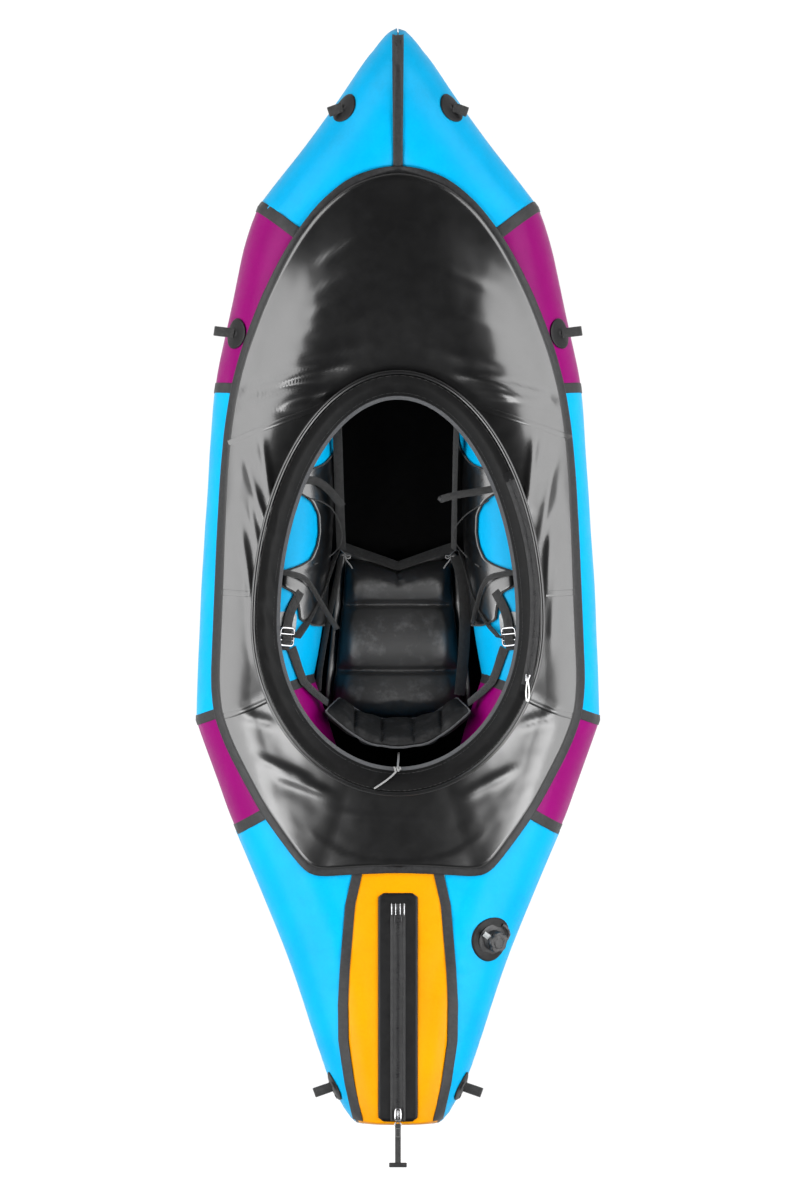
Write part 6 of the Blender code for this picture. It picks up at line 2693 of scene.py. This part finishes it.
@dataclass
class Seat:
    """The inflated seat: three cells across, with a notch at the front."""

    rear: float = -0.33
    front: float = 0.065
    rear_half: float = 0.168
    front_half: float = 0.128
    height: float = 0.096
    foot: float = 0.0018
    shrink: float = 0.007
    notch: float = 0.045
    welds: tuple[float, float] = (-0.205, -0.0625)

    def half(self, y: float) -> float:
        """Half width at a place along the seat.

        Args:
            y: place along the hull.

        Returns:
            Half the width.
        """
        share = (y - self.rear) / (self.front - self.rear)
        corner = math.sqrt(1 - (1 - min(share / 0.22, 1)) ** 2)
        return (self.rear_half + (self.front_half - self.rear_half) * share) * (0.68 + 0.32 * corner)

    def edge(self, x: float) -> float:
        """Where the front edge is, with its notch."""
        return self.front - self.notch * (1 - min(abs(x) / self.front_half, 1))

    def form(self) -> bpy.types.Object:
        """The closed form that is filled.

        Returns:
            The object.
        """
        loops = []
        length = self.front - self.rear - 2 * self.shrink
        for step in spread(0, 1, 44):
            share = 0.5 - 0.5 * math.cos(math.pi * step) if step in (0, 1) else step
            y = self.rear + self.shrink + length * share
            ends = min(min(share, 1 - share) / 0.12, 1)
            full = 0.35 + 0.65 * math.sqrt(1 - (1 - ends) ** 2)
            marks = (self.rear, *self.welds, self.front)
            first = max(mark for mark in marks[:-1] if mark <= y)
            last = min(mark for mark in marks[1:] if mark > y or mark == self.front)
            arch = 1 - abs(2 * (y - first) / (last - first) - 1) ** 2.1
            tall = (self.height - 2 * self.shrink) * full * (0.8 + 0.2 * arch)
            ring = pad_ring(
                Vector((0, y, self.foot + 0.001 + tall / 2)), Vector((1, 0, 0)), UP,
                self.half(y) - self.shrink, tall / 2,
            )
            back = self.notch * max(share - 0.8, 0) / 0.2
            for point in ring:
                point.y -= back * (1 - min(abs(point.x) / self.front_half, 1))
                point.z = max(point.z, self.foot)
            loops.append(ring)
        return loft("seat_cell", loops)

    def weld(self, place: Vector) -> Vector:
        """How the welds, the rim and the small puckers move the cloth at a place.

        Args:
            place: where.

        Returns:
            The move.
        """
        middle = self.foot + self.height / 2
        top = smooth((place.z - middle) / 0.02)
        dip = 0.0
        for number, y in enumerate(self.welds):
            bow = 0.004 * math.cos(place.x * 9) * (1 if number else -1)
            off = abs(place.y - y - bow)
            dip = max(dip, math.exp(-((off / 0.0048) ** 2)))
            pucker = waver(place.x * 60, number * 7, 2) * math.exp(-((off / 0.02) ** 2))
            dip += 0.05 * pucker
        side = 1 - smooth((self.half(place.y) - abs(place.x)) / 0.02)
        fall = 0.009 * dip * top
        creases = 0.001 * waver(place.x * 26, place.y * 18, 5) * (0.3 + side) * top
        inward = -0.006 * dip * side * (1 if place.x > 0 else -1)
        return Vector((inward, 0, creases - fall))

    def build(self) -> None:
        """Makes the seat, its rim, its front webbing and the ties at its corners."""
        pad = self.form()
        Stuffing(0.0058, 0.0068).swell(pad, self.foot)
        carve(pad, self.weld)
        for vertex in pad.data.vertices:
            vertex.co.z = max(vertex.co.z, self.foot)
        Made(stands_for=("seat_cushion",)).place(pad, Finish.PAD.material())
        self.flange()
        self.front_webbing()
        LOG.info("the seat is filled")

    def flange(self) -> None:
        """The flat welded rim round the seat."""
        rows = []
        middle = self.foot + self.height * 0.42
        path = [Vector((self.half(y), y, middle)) for y in spread(self.rear + 0.004, self.front - 0.012, 40)]
        front = [
            Vector((x, self.edge(x), middle)) for x in spread(
                self.front_half * 0.92, -self.front_half * 0.92, 21
            )
        ]
        left = [Vector((-point.x, point.y, middle)) for point in reversed(path)]
        rear = [
            Vector((x, self.rear, middle)) for x in spread(
                -self.half(self.rear) * 0.9, self.half(self.rear) * 0.9, 14
            )
        ]
        line = path + front + left + rear
        for i, point in enumerate(line):
            ahead = (line[(i + 1) % len(line)] - line[i - 1]).normalized()
            out = ahead.cross(UP)
            rumple = 0.0012 * waver(point.x * 30, point.y * 30, 1)
            rows.append([
                point - out * 0.012 + Vector((0, 0, rumple)),
                point + out * 0.0005 + Vector((0, 0, rumple)),
                point + out * 0.0035 + Vector((0, 0, rumple * 1.6)),
            ])
        rim = grid("seat_rim", rows, 0.0016, loop=True, flip=True)
        Made(slot="deck_fabric").place(rim, Finish.PAD.material())

    def front_webbing(self) -> None:
        """The strap along the front edge, with a corded tie at each corner."""
        middle = self.foot + self.height * 0.55
        path = [
            Vector((x, self.edge(x) + 0.008, middle)) for x in spread(
                -self.front_half * 0.97, self.front_half * 0.97, 31
            )
        ]
        faces = [Vector((0, 0.55, 1)).normalized()] * len(path)
        strap = band("seat_front_strap", path, faces, 0.022, 0.0018)
        Made(slot="webbing").place(strap, Finish.WEB.material())
        for side in Side:
            root = Vector((side.value * self.front_half * 0.93, self.front - 0.012, middle + 0.034))
            path = [root + Vector((side.value * a, b, c)) for a, b, c in (
                (0.012, 0.012, -0.02), (0.004, 0.004, -0.004), (-0.004, -0.004, 0.002),
                (-0.012, -0.001, 0.003),
                (-0.012, -0.008, 0.004), (-0.004, -0.009, 0.004), (0.002, -0.001, 0.003),
                (-0.003, -0.014, 0.002),
                (-0.011, -0.022, 0.001), (-0.016, -0.031, 0.0),
            )]
            cord = tube(f"seat_tie_{side.word}", path, 0.0016)
            Made(slot="grey_cord").place(cord, Finish.GREY_CORD.material())


@dataclass
class Backband:
    """The padded band behind the paddler's back, in five cells."""

    low: tuple[tuple[float, float, float], ...] = (
        (-0.135, -0.266, 0.125), (-0.07, -0.305, 0.118), (0, -0.316, 0.116), (0.07, -0.305, 0.118),
        (0.135, -0.266, 0.125),
    )
    high: tuple[tuple[float, float, float], ...] = (
        (-0.165, -0.292, 0.255), (-0.08, -0.358, 0.268), (0, -0.374, 0.272), (0.08, -0.358, 0.268),
        (0.165, -0.292, 0.255),
    )
    seams: tuple[float, ...] = (0.215, 0.395, 0.605, 0.785)
    thickness: float = 0.028
    shrink: float = 0.004
    places: list[tuple[float, float]] = field(default_factory=list)

    def point(self, share: float, table: Sequence[tuple[float, float, float]]) -> Vector:
        """A point on a smooth line through a table of points.

        Args:
            share: how far along, from 0 to 1.
            table: the points.

        Returns:
            The point.
        """
        share = min(max(share, 0.0), 1.0)
        index = min(int(share * (len(table) - 1)), len(table) - 2)
        part = share * (len(table) - 1) - index
        points = [Vector(table[min(max(index + k, 0), len(table) - 1)]) for k in (-1, 0, 1, 2)]
        before, start, end, after = points
        return start + (
            (end - before) * part + (before * 2 - start * 5 + end * 4 - after) * part ** 2
            + (start * 3 - before - end * 3 + after) * part ** 3
        ) / 2

    def frame_at(self, share: float) -> tuple[Vector, Vector, Vector, float]:
        """Middle, way up, way out and half height of the band at a share of its length.

        Args:
            share: how far along, from 0 to 1.

        Returns:
            The place, the two directions and the half height.
        """
        low, high = self.point(share, self.low), self.point(share, self.high)
        up = (high - low).normalized()
        step = self.point(share + 0.02, self.low) - self.point(share - 0.02, self.low)
        return (low + high) / 2, up, up.cross(step).normalized(), (high - low).length / 2

    def form(self) -> bpy.types.Object:
        """The closed form that is filled.

        Returns:
            The object.
        """
        loops = []
        for share in spread(0.012, 0.988, 70):
            middle, up, face, tall = self.frame_at(share)
            ends = min(min(share, 1 - share) / 0.07, 1)
            full = 0.4 + 0.6 * math.sqrt(1 - (1 - ends) ** 2)
            lobes = min(abs(share - seam) for seam in self.seams) / 0.09
            scallop = 1 - 0.045 * (1 - smooth(min(lobes, 1)))
            loops.append(pad_ring(
                middle, up, face, (tall * (0.78 + 0.22 * full)) * scallop - self.shrink,
                (self.thickness / 2 - self.shrink * 0.8) * full, 36,
            ))
        return loft("backband_pad", loops)

    def quilt(self, place: Vector) -> Vector:
        """How the sewn seams pull the pad in at a place.

        Args:
            place: where.

        Returns:
            The move.
        """
        share = self.share_of(place)
        middle, _, face, _ = self.frame_at(share)
        off = min(abs(share - seam) for seam in self.seams)
        pull = 0.6 * math.exp(-((off / 0.007) ** 2)) + 0.22 * math.exp(-((off / 0.03) ** 2))
        across = (place - middle).dot(face)
        crease = 0.0009 * waver(place.x * 70, place.z * 60, 4)
        return face * (-across * pull + crease)

    def share_of(self, place: Vector) -> float:
        """The share of the band's length nearest a place.

        Args:
            place: where.

        Returns:
            The share, from 0 to 1.
        """
        if not self.places:
            self.places.extend((self.frame_at(share)[0].x * 1.08, share) for share in spread(0, 1, 161))
        return min(self.places, key=lambda known: abs(known[0] - place.x))[1]

    def edge_line(self, sign: int) -> Row:
        """Places along the band's top or bottom edge.

        Args:
            sign: 1 for the top edge, -1 for the bottom.

        Returns:
            The places.
        """
        line = []
        for share in spread(0.02, 0.98, 90):
            middle, up, _, tall = self.frame_at(share)
            lobes = min(abs(share - seam) for seam in self.seams) / 0.09
            ends = min(min(share, 1 - share) / 0.07, 1)
            full = 0.4 + 0.6 * math.sqrt(1 - (1 - ends) ** 2)
            scallop = 1 - 0.045 * (1 - smooth(min(lobes, 1)))
            line.append(middle + up * (sign * (tall * (0.78 + 0.22 * full) * scallop - 0.0005)))
        return line

    def build(self) -> None:
        """Makes the pad, its binding and the webbing sewn along its back."""
        pad = self.form()
        Stuffing(0.0042, 0.0052).swell(pad)
        carve(pad, self.quilt)
        Made("backband", ("backband",)).place(pad, Finish.BACKREST.material())
        top, bottom = self.edge_line(1), self.edge_line(-1)
        loop = top + bottom[::-1]
        binding = tube("backband_binding", loop, 0.0022, closed=True, steps=4)
        Made("backband", slot="seam_tape").place(binding, Finish.BINDING.material())
        path, faces = [], []
        for share in spread(0.04, 0.96, 50):
            middle, up, face, tall = self.frame_at(share)
            back = -face if face.y > 0 else face
            path.append(middle + up * (tall * 0.05) + back * (self.thickness / 2 + 0.001))
            faces.append(back)
        strap = band("backband_webbing", path, faces, 0.03, 0.0018)
        Made("backband", slot="webbing").place(strap, Finish.WEB.material())
        LOG.info("the backband is sewn")


@dataclass
class BackbandStraps:
    """The straps that hold the backband, with their buckles and plates."""

    places: tuple[tuple[float, float, float], ...] = (
        (-0.2845, 160, 0.0208), (-0.25, 150, 0.006), (-0.2, 134, 0.0026), (-0.155, 123, 0.0015),
    )
    tail: tuple[tuple[float, float, float], ...] = (
        (-0.118, 116.5, 0.0072), (-0.104, 115.5, 0.0052), (-0.08, 117, 0.0042), (-0.055, 121, 0.0036),
        (-0.03, 127, 0.0035),
    )
    width: float = 0.024
    thickness: float = 0.0018
    buckle_y: float = -0.1296
    buckle_turn: float = 116

    def on_tube(self, side: Side, table: Sequence[tuple[float, float, float]], count: int) -> tuple[Row, Row]:
        """Points and normals along a strap that lies on the tube.

        Args:
            side: which side.
            table: (y, degrees round the tube, clearance) down its length.
            count: how many points to make.

        Returns:
            The middle line and the way its face looks at each point.
        """
        keys = list(range(len(table)))
        path, faces = [], []
        for share in spread(0, len(table) - 1, count):
            y, turn, lift = (
                read_table(share, [(key, row[i]) for key, row in zip(keys, table)]) for i in range(3)
            )
            point, normal, _ = FORM.wall_frame(side.value, y, turn * DEG)
            path.append(point + normal * (lift + self.thickness / 2))
            faces.append(normal)
        for _ in range(4):
            path[1:-1] = [(path[i - 1] + path[i] * 2 + path[i + 1]) / 4 for i in range(1, len(path) - 1)]
        return path, faces

    def one(self, side: Side) -> None:
        """One side's strap, buckle, plate and tail.

        Args:
            side: which side.
        """
        path, faces = self.on_tube(side, self.places, 26)
        strap = band(f"backband_strap_{side.word}_web", path, faces, self.width, self.thickness)
        Made(stands_for=(f"backband_strap_{side.word}",)).place(strap, Finish.WEB.material())
        path, faces = self.on_tube(side, self.tail, 24)
        tail = band(f"strap_tail_{side.word}", path, faces, self.width * 0.92, 0.0016)
        Made(slot="webbing").place(tail, Finish.WEB.material())
        point, normal, along = FORM.wall_frame(side.value, self.buckle_y, self.buckle_turn * DEG)
        across = along.cross(normal).normalized()
        base = Matrix((across, along, normal)).transposed().to_4x4()
        place = Matrix.Translation(point + normal * 0.0022) @ base
        self.buckle(side, place)
        plate = Matrix.Translation(point + normal * 0.0001) @ base
        loops = []
        for shrink, high in ((1, 0.0), (1, 0.0007), (0.97, 0.0011)):
            loop = []
            for a in turns(40):
                x = math.copysign(abs(math.cos(a)) ** 0.3, math.cos(a)) * 0.023 * shrink
                y = math.copysign(abs(math.sin(a)) ** 0.3, math.sin(a)) * 0.034 * shrink
                bend = (x * x) / (2 * 0.15)
                loop.append(plate @ Vector((x, y + 0.02, high - bend)))
            loops.append(loop)
        made = loft(f"buckle_plate_{side.word}", loops)
        Made(slot="seam_tape").place(made, Finish.TAB.material())

    def buckle(self, side: Side, place: Matrix) -> None:
        """The metal ladder buckle: a frame and its middle bars.

        Args:
            side: which side.
            place: its frame.
        """
        corners = []
        for a in turns(48):
            x = math.copysign(abs(math.cos(a)) ** 0.35, math.cos(a)) * 0.0165
            y = math.copysign(abs(math.sin(a)) ** 0.35, math.sin(a)) * 0.0195
            corners.append(place @ Vector((x, y, 0.0032 + 0.0009 * (y / 0.0195) ** 2)))
        name = f"strap_buckle_{side.word}"
        frame_bar = tube(f"{name}_frame", corners, 0.0026, closed=True)
        Made(stands_for=(name,)).place(frame_bar, Finish.METAL.material())
        for number, (y, high) in enumerate(((-0.0075, 0.0036), (0.006, 0.0044))):
            bar = tube(
                f"{name}_bar_{number}",
                [place @ Vector((x, y, high)) for x in (-0.0165, -0.006, 0.006, 0.0165)], 0.0021
            )
            Made(slot="silver_metal").place(bar, Finish.METAL.material())
        fold = [
            place @ Vector((0, y, z))
            for y, z in (
                (-0.030, 0.0006), (-0.018, 0.0012), (-0.0105, 0.0066), (-0.0035, 0.0072), (0.0015, 0.0028),
                (0.010, 0.0012), (0.0165, 0.003)
            )
        ]
        normal = (place.to_3x3() @ UP).normalized()
        web = band(f"{name}_web", fold, [normal] * len(fold), 0.0225, 0.0015)
        Made(slot="webbing").place(web, Finish.WEB.material())

    def build(self) -> None:
        """Makes both sides."""
        for side in Side:
            self.one(side)
        LOG.info("the backband's straps are buckled")


def eased(points: Row, count: int, rounds: int) -> Row:
    """A path with more points, its corners rounded.

    Args:
        points: the corners.
        count: points to make between each pair.
        rounds: how far to ease them.

    Returns:
        The eased path.
    """
    path = [points[0]]
    for start, end in zip(points, points[1:]):
        path += [start.lerp(end, share) for share in spread(0, 1, count + 1)[1:]]
    for _ in range(rounds * count):
        path[1:-1] = [(path[i - 1] + path[i] * 2 + path[i + 1]) / 4 for i in range(1, len(path) - 1)]
    return path


@dataclass(frozen=True)
class LooseStrap:
    """A length of webbing that hangs or stretches between its places."""

    name: str
    width: float
    places: tuple[tuple[float, float, float], ...]
    look: tuple[float, float, float]

    def build(self) -> None:
        """Makes the strap."""
        path = eased([Vector(place) for place in self.places], 7, 1)
        face = Vector(self.look).normalized()
        faces = []
        for i, point in enumerate(path):
            ahead = (path[min(i + 1, len(path) - 1)] - path[max(i - 1, 0)]).normalized()
            turned = face + Vector(
                (0.12 * waver(point.x * 12, point.y * 12, 1), 0.12 * waver(point.y * 12, 3, 2), 0)
            )
            faces.append((turned - ahead * turned.dot(ahead)).normalized())
        made = band(self.name, path, faces, self.width, 0.0017)
        Made(slot="webbing").place(made, Finish.WEB.material())


@dataclass
class ThighBraces:
    """The black braces inside the tubes, with their straps."""

    low: float = 198
    edge: tuple[tuple[float, float], ...] = (
        (-0.105, 150), (-0.095, 129), (-0.06, 125), (-0.03, 119), (-0.02, 107), (0.014, 107), (0.024, 122),
        (0.04, 136), (0.07, 143), (0.1, 145), (0.14, 142), (0.17, 132), (0.188, 118), (0.196, 107),
        (0.228, 107), (0.238, 126), (0.25, 144), (0.281, 163), (0.31, 176), (0.345, 184),
    )
    lift: float = 0.0025
    thickness: float = 0.003
    straps: tuple[LooseStrap, ...] = (
        LooseStrap("brace_strap_front_left", 0.018, (
            (-0.268, 0.208, 0.296), (-0.235, 0.213, 0.288), (-0.205, 0.216, 0.268), (-0.177, 0.214, 0.248),
            (-0.152, 0.195, 0.238), (-0.123, 0.158, 0.226)), (-0.2, 0.1, 1)),
        LooseStrap("brace_strap_front_right", 0.0165, (
            (0.268, 0.205, 0.296), (0.235, 0.2, 0.288), (0.205, 0.195, 0.268), (0.17, 0.189, 0.256),
            (0.1287, 0.183, 0.25), (0.102, 0.176, 0.246), (0.094, 0.173, 0.24), (0.101, 0.176, 0.235),
            (0.124, 0.182, 0.236)), (0.1, 0.3, 1)),
        LooseStrap("brace_strap_middle_left", 0.0125, (
            (-0.268, 0.014, 0.298), (-0.24, 0.01, 0.292), (-0.214, 0.004, 0.277), (-0.198, -0.008, 0.262),
            (-0.1835, -0.031, 0.244), (-0.162, -0.07, 0.222), (-0.1346, -0.114, 0.2)), (-0.5, 0.2, 1)),
        LooseStrap("brace_strap_middle_right", 0.0125, (
            (0.268, 0.012, 0.298), (0.24, 0.01, 0.292), (0.208, 0.004, 0.275), (0.194, -0.006, 0.262),
            (0.1837, -0.025, 0.246), (0.175, -0.06, 0.226), (0.168, -0.094, 0.213), (0.1655, -0.1, 0.207),
            (0.168, -0.092, 0.203), (0.174, -0.066, 0.207)), (0.6, 0.3, 1)),
        LooseStrap("brace_strap_low_left", 0.022, (
            (-0.136, 0.058, 0.112), (-0.148, 0.03, 0.146), (-0.16, -0.008, 0.178), (-0.176, -0.046, 0.208),
            (-0.2, -0.098, 0.246), (-0.2235, -0.132, 0.277)), (-0.7, -0.4, 1)),
        LooseStrap("brace_strap_low_right", 0.022, (
            (0.14, 0.058, 0.112), (0.152, 0.03, 0.146), (0.166, -0.02, 0.182), (0.182, -0.068, 0.212),
            (0.203, -0.11, 0.247), (0.2235, -0.132, 0.277)), (0.7, -0.4, 1)),
        LooseStrap("seat_strap_left", 0.014, (
            (-0.128, 0.05, 0.098), (-0.136, 0.0, 0.108), (-0.152, -0.07, 0.116), (-0.166, -0.15, 0.118),
            (-0.176, -0.21, 0.122), (-0.178, -0.252, 0.13)), (-0.5, 0, 1)),
        LooseStrap("seat_strap_right", 0.026, (
            (0.13, 0.05, 0.1), (0.146, 0.0, 0.108), (0.151, -0.06, 0.108), (0.149, -0.15, 0.106),
            (0.143, -0.22, 0.106), (0.138, -0.262, 0.112)), (0.3, 0, 1)),
        LooseStrap("brace_edge_left", 0.021, (
            (-0.137, 0.372, 0.236), (-0.1345, 0.33, 0.222), (-0.132, 0.24, 0.192), (-0.13, 0.16, 0.162),
            (-0.127, 0.064, 0.112)), (0.1, -0.3, 1)),
        LooseStrap("brace_edge_right", 0.021, (
            (0.133, 0.372, 0.236), (0.129, 0.33, 0.222), (0.127, 0.24, 0.192), (0.126, 0.16, 0.162),
            (0.125, 0.064, 0.112)), (-1, -0.2, 0.62)),
    )
    cords: tuple[tuple[str, float, tuple[tuple[float, float, float], ...]], ...] = (
        ("brace_piping_right", 0.0014, (
            (0.2, 0.17, 0.262), (0.178, 0.158, 0.24), (0.152, 0.142, 0.22), (0.13, 0.118, 0.2),
            (0.1228, 0.097, 0.184),
            (0.129, 0.076, 0.16), (0.142, 0.06, 0.158), (0.16, 0.04, 0.19), (0.18, 0.024, 0.236))),
        ("brace_piping_left", 0.0014, (
            (-0.2, 0.176, 0.262), (-0.17, 0.17, 0.238), (-0.146, 0.155, 0.22), (-0.13, 0.125, 0.2),
            (-0.1235, 0.098, 0.18),
            (-0.1275, 0.074, 0.15), (-0.142, 0.056, 0.158), (-0.162, 0.04, 0.192), (-0.185, 0.03, 0.24))),
    )

    def rim(self, y: float) -> float:
        """Degrees round the tube that the brace reaches at a place, its corners eased."""
        return sum(read_table(y + step, self.edge) for step in (-0.005, -0.0025, 0, 0.0025, 0.005)) / 5

    def at(self, side: Side, y: float, turn: float, proud: float = 0.0) -> tuple[Vector, Vector, Vector]:
        """A point over the brace, with its normal and the way along."""
        point, normal, along = FORM.wall_frame(side.value, y, turn * DEG)
        return point + normal * (self.lift + self.thickness + proud), normal, along

    def pad(self, side: Side) -> None:
        """The padded sheet and the binding round its edge.

        Args:
            side: which side.
        """
        first, last = self.edge[0][0], self.edge[-1][0]
        rows, line = [], []
        for y in spread(first, last, 150):
            rim = self.rim(y)
            row = []
            for share in spread(0, 1, 17):
                turn = self.low + (rim - self.low) * share
                arch = max(math.sin(math.pi * min(share * 1.05, 1)), 0) ** 0.7
                puff = 0.0024 * arch * (1 + 0.9 * waver(y * 34 + share * 3, share * 2.5, side.value))
                ends = smooth(min(y - first, last - y) / 0.012)
                row.append(self.at(side, y, turn, puff * ends - 0.0012)[0])
            rows.append(row)
            line.append(row[-1])
        name = f"thigh_brace_{side.word}"
        made = grid(f"{name}_pad", rows, 0.0024, flip=side.value < 0)
        Made(stands_for=(name,)).place(made, Finish.DECK.material())
        end = [rows[-1][i] for i in range(len(rows[-1]) - 2, -1, -2)]
        start = [rows[0][i] for i in range(0, len(rows[0]) - 1, 2)]
        binding = tube(f"{name}_binding", start + line + end, 0.0019, steps=3)
        Made(slot="webbing").place(binding, Finish.WEB.material())

    def build(self) -> None:
        """Makes both braces with their straps."""
        for side in Side:
            self.pad(side)
        for loose in self.straps:
            loose.build()
        for name, radius, places in self.cords:
            cord = tube(name, eased([Vector(place) for place in places], 14, 2), radius)
            Made(slot="webbing").place(cord, Finish.WEB.material())
        LOG.info("the thigh braces are fitted")


@dataclass
class RearCord:
    """The stretchy cord behind the backband, with its knot and tail."""

    radius: float = 0.0021
    places: tuple[tuple[float, float, float], ...] = (
        (0.002, -0.388, 0.232), (0.001, -0.398, 0.268), (0.0, -0.407, 0.308), (0.0, -0.415, 0.3275),
        (-0.004, -0.424, 0.3345), (-0.016, -0.436, 0.342), (-0.034, -0.449, 0.3505), (-0.052, -0.4605, 0.353),
    )

    def build(self) -> None:
        """Makes the cord and its knot."""
        points = [Vector(place) for place in self.places]
        cord = tube("rear_bungee", points, self.radius)
        Made(stands_for=("rear_cord",)).place(cord, Finish.GREY_CORD.material())
        centre = Vector((-0.001, -0.419, 0.333))
        turns = []
        for k in range(26):
            a = 2 * math.pi * k / 11
            turns.append(centre + Vector(((k - 13) * 0.00055, 0.0042 * math.cos(a), 0.0042 * math.sin(a))))
        knot = tube("rear_bungee_knot", turns, 0.0019)
        Made(slot="grey_cord").place(knot, Finish.GREY_CORD.material())
        LOG.info("the rear cord is tied")


PARTS = (
    Hull, Deck, Coaming, CoamingZip, CargoZip, Valve, GrabLoops, Seat, Backband, BackbandStraps, ThighBraces,
    RearCord
)


# The studio

@dataclass
class Studio:
    """A plain pale floor, soft boxes beside the boat and behind it, and a camera straight above it."""

    lens: float = 120.0
    frame_height: float = 2.679
    centre: tuple[float, float] = (0.0045, -0.049)
    focus_height: float = 0.15
    box_length: float = 6.4
    box_width: float = 2.4
    box_power: float = 245.0
    box_place: tuple[float, float] = (2.86, 2.02)
    rear_place: tuple[float, float, float] = (1.72, -1.15, 3.0)
    rear_side: float = 0.9
    rear_power: float = 30.0
    wall_radius: float = 19.0
    wall_height: float = 7.0
    world: float = 0.07
    paper: float = 0.16

    def paper_finish(self) -> bpy.types.Material:
        """White paper: it keeps the boat's shadow, and stays pale far from the lamps.

        Returns:
            The material.
        """
        desk = Desk("studio_paper")
        seen = desk.nodes.new("ShaderNodeLightPath")
        either = desk.sum_of(seen.outputs["Is Camera Ray"], seen.outputs["Is Glossy Ray"], "MAXIMUM")
        either = desk.sum_of(either, seen.outputs["Is Transmission Ray"], "MAXIMUM")
        pale = (self.paper,) * 3
        desk.set(
            Base_Color=desk.blend(desk.cloud(2, 3), pale, tint(pale, 1.03)),
            Roughness=0.9, Specular_IOR_Level=0.1, Emission_Color=(1, 1, 1, 1),
            Emission_Strength=desk.span(either, 0, 1 - self.paper),
        )
        return desk.material

    def floor(self) -> None:
        """Lays the floor and stands the round paper wall far behind the boat."""
        paper = self.paper_finish()
        work = bmesh.new()
        bmesh.ops.create_circle(work, cap_ends=True, segments=96, radius=self.wall_radius)
        wall = bmesh.ops.extrude_edge_only(work, edges=list(work.edges))
        rim = [part for part in wall["geom"] if isinstance(part, bmesh.types.BMVert)]
        bmesh.ops.translate(work, verts=rim, vec=(0, 0, self.wall_height))
        mesh = bpy.data.meshes.new("studio_floor")
        work.to_mesh(mesh)
        work.free()
        made = bpy.data.objects.new("studio_floor", mesh)
        bpy.context.scene.collection.objects.link(made)
        made.location.z = -0.0004
        mesh.materials.append(paper)

    def lamp(self, name: str, place: Vector, size: tuple[float, float], power: float) -> None:
        """Hangs a soft box that faces the middle of the boat.

        Args:
            name: its name.
            place: where it hangs.
            size: how wide and how long it is.
            power: its power in watts.
        """
        data = bpy.data.lights.new(name, "AREA")
        data.shape = "RECTANGLE"
        data.size, data.size_y = size
        data.energy = power
        made = bpy.data.objects.new(name, data)
        bpy.context.scene.collection.objects.link(made)
        made.location = place
        away = (place - Vector((0, place.y, 0.15))).normalized()
        side = Vector((0, 1, 0)).cross(away).normalized()
        made.matrix_world = Matrix.Translation(place) @ Matrix(
            (side, away.cross(side), away)
        ).transposed().to_4x4()

    def lights(self) -> None:
        """Hangs the soft boxes and sets the world's even light."""
        out, up = self.box_place
        size = (self.box_width, self.box_length)
        for side in Side:
            self.lamp(f"soft_box_{side.word}", Vector((side.value * out, 0, up)), size, self.box_power)
            x, y, z = self.rear_place
            self.lamp(
                f"rear_box_{side.word}", Vector((side.value * x, y, z)), (self.rear_side,) * 2,
                self.rear_power
            )
        world = bpy.data.worlds.new("studio_light")
        bpy.context.scene.world = world
        world.use_nodes = True
        ground = world.node_tree.nodes["Background"]
        ground.inputs["Color"].default_value = (1, 1, 1, 1)
        ground.inputs["Strength"].default_value = self.world

    def camera(self) -> None:
        """Puts the camera straight above the boat, bow up."""
        data = bpy.data.cameras.new("camera_above")
        data.lens = self.lens
        data.sensor_width = 36
        data.clip_end = 100
        made = bpy.data.objects.new("camera_above", data)
        bpy.context.scene.collection.objects.link(made)
        away = self.lens / data.sensor_width * self.frame_height
        made.location = (*self.centre, self.focus_height + away)
        bpy.context.scene.camera = made

    def build(self) -> None:
        """Sets up the whole studio."""
        bpy.context.scene.view_settings.view_transform = "Standard"
        self.floor()
        self.lights()
        self.camera()
        LOG.info("the studio is lit")


def main() -> None:
    """Builds the boat and the studio."""
    logging.basicConfig(level=logging.INFO, format="%(name)s: %(message)s")
    Studio().build()
    for part in PARTS:
        part().build()


if __name__ == "__main__":
    main()
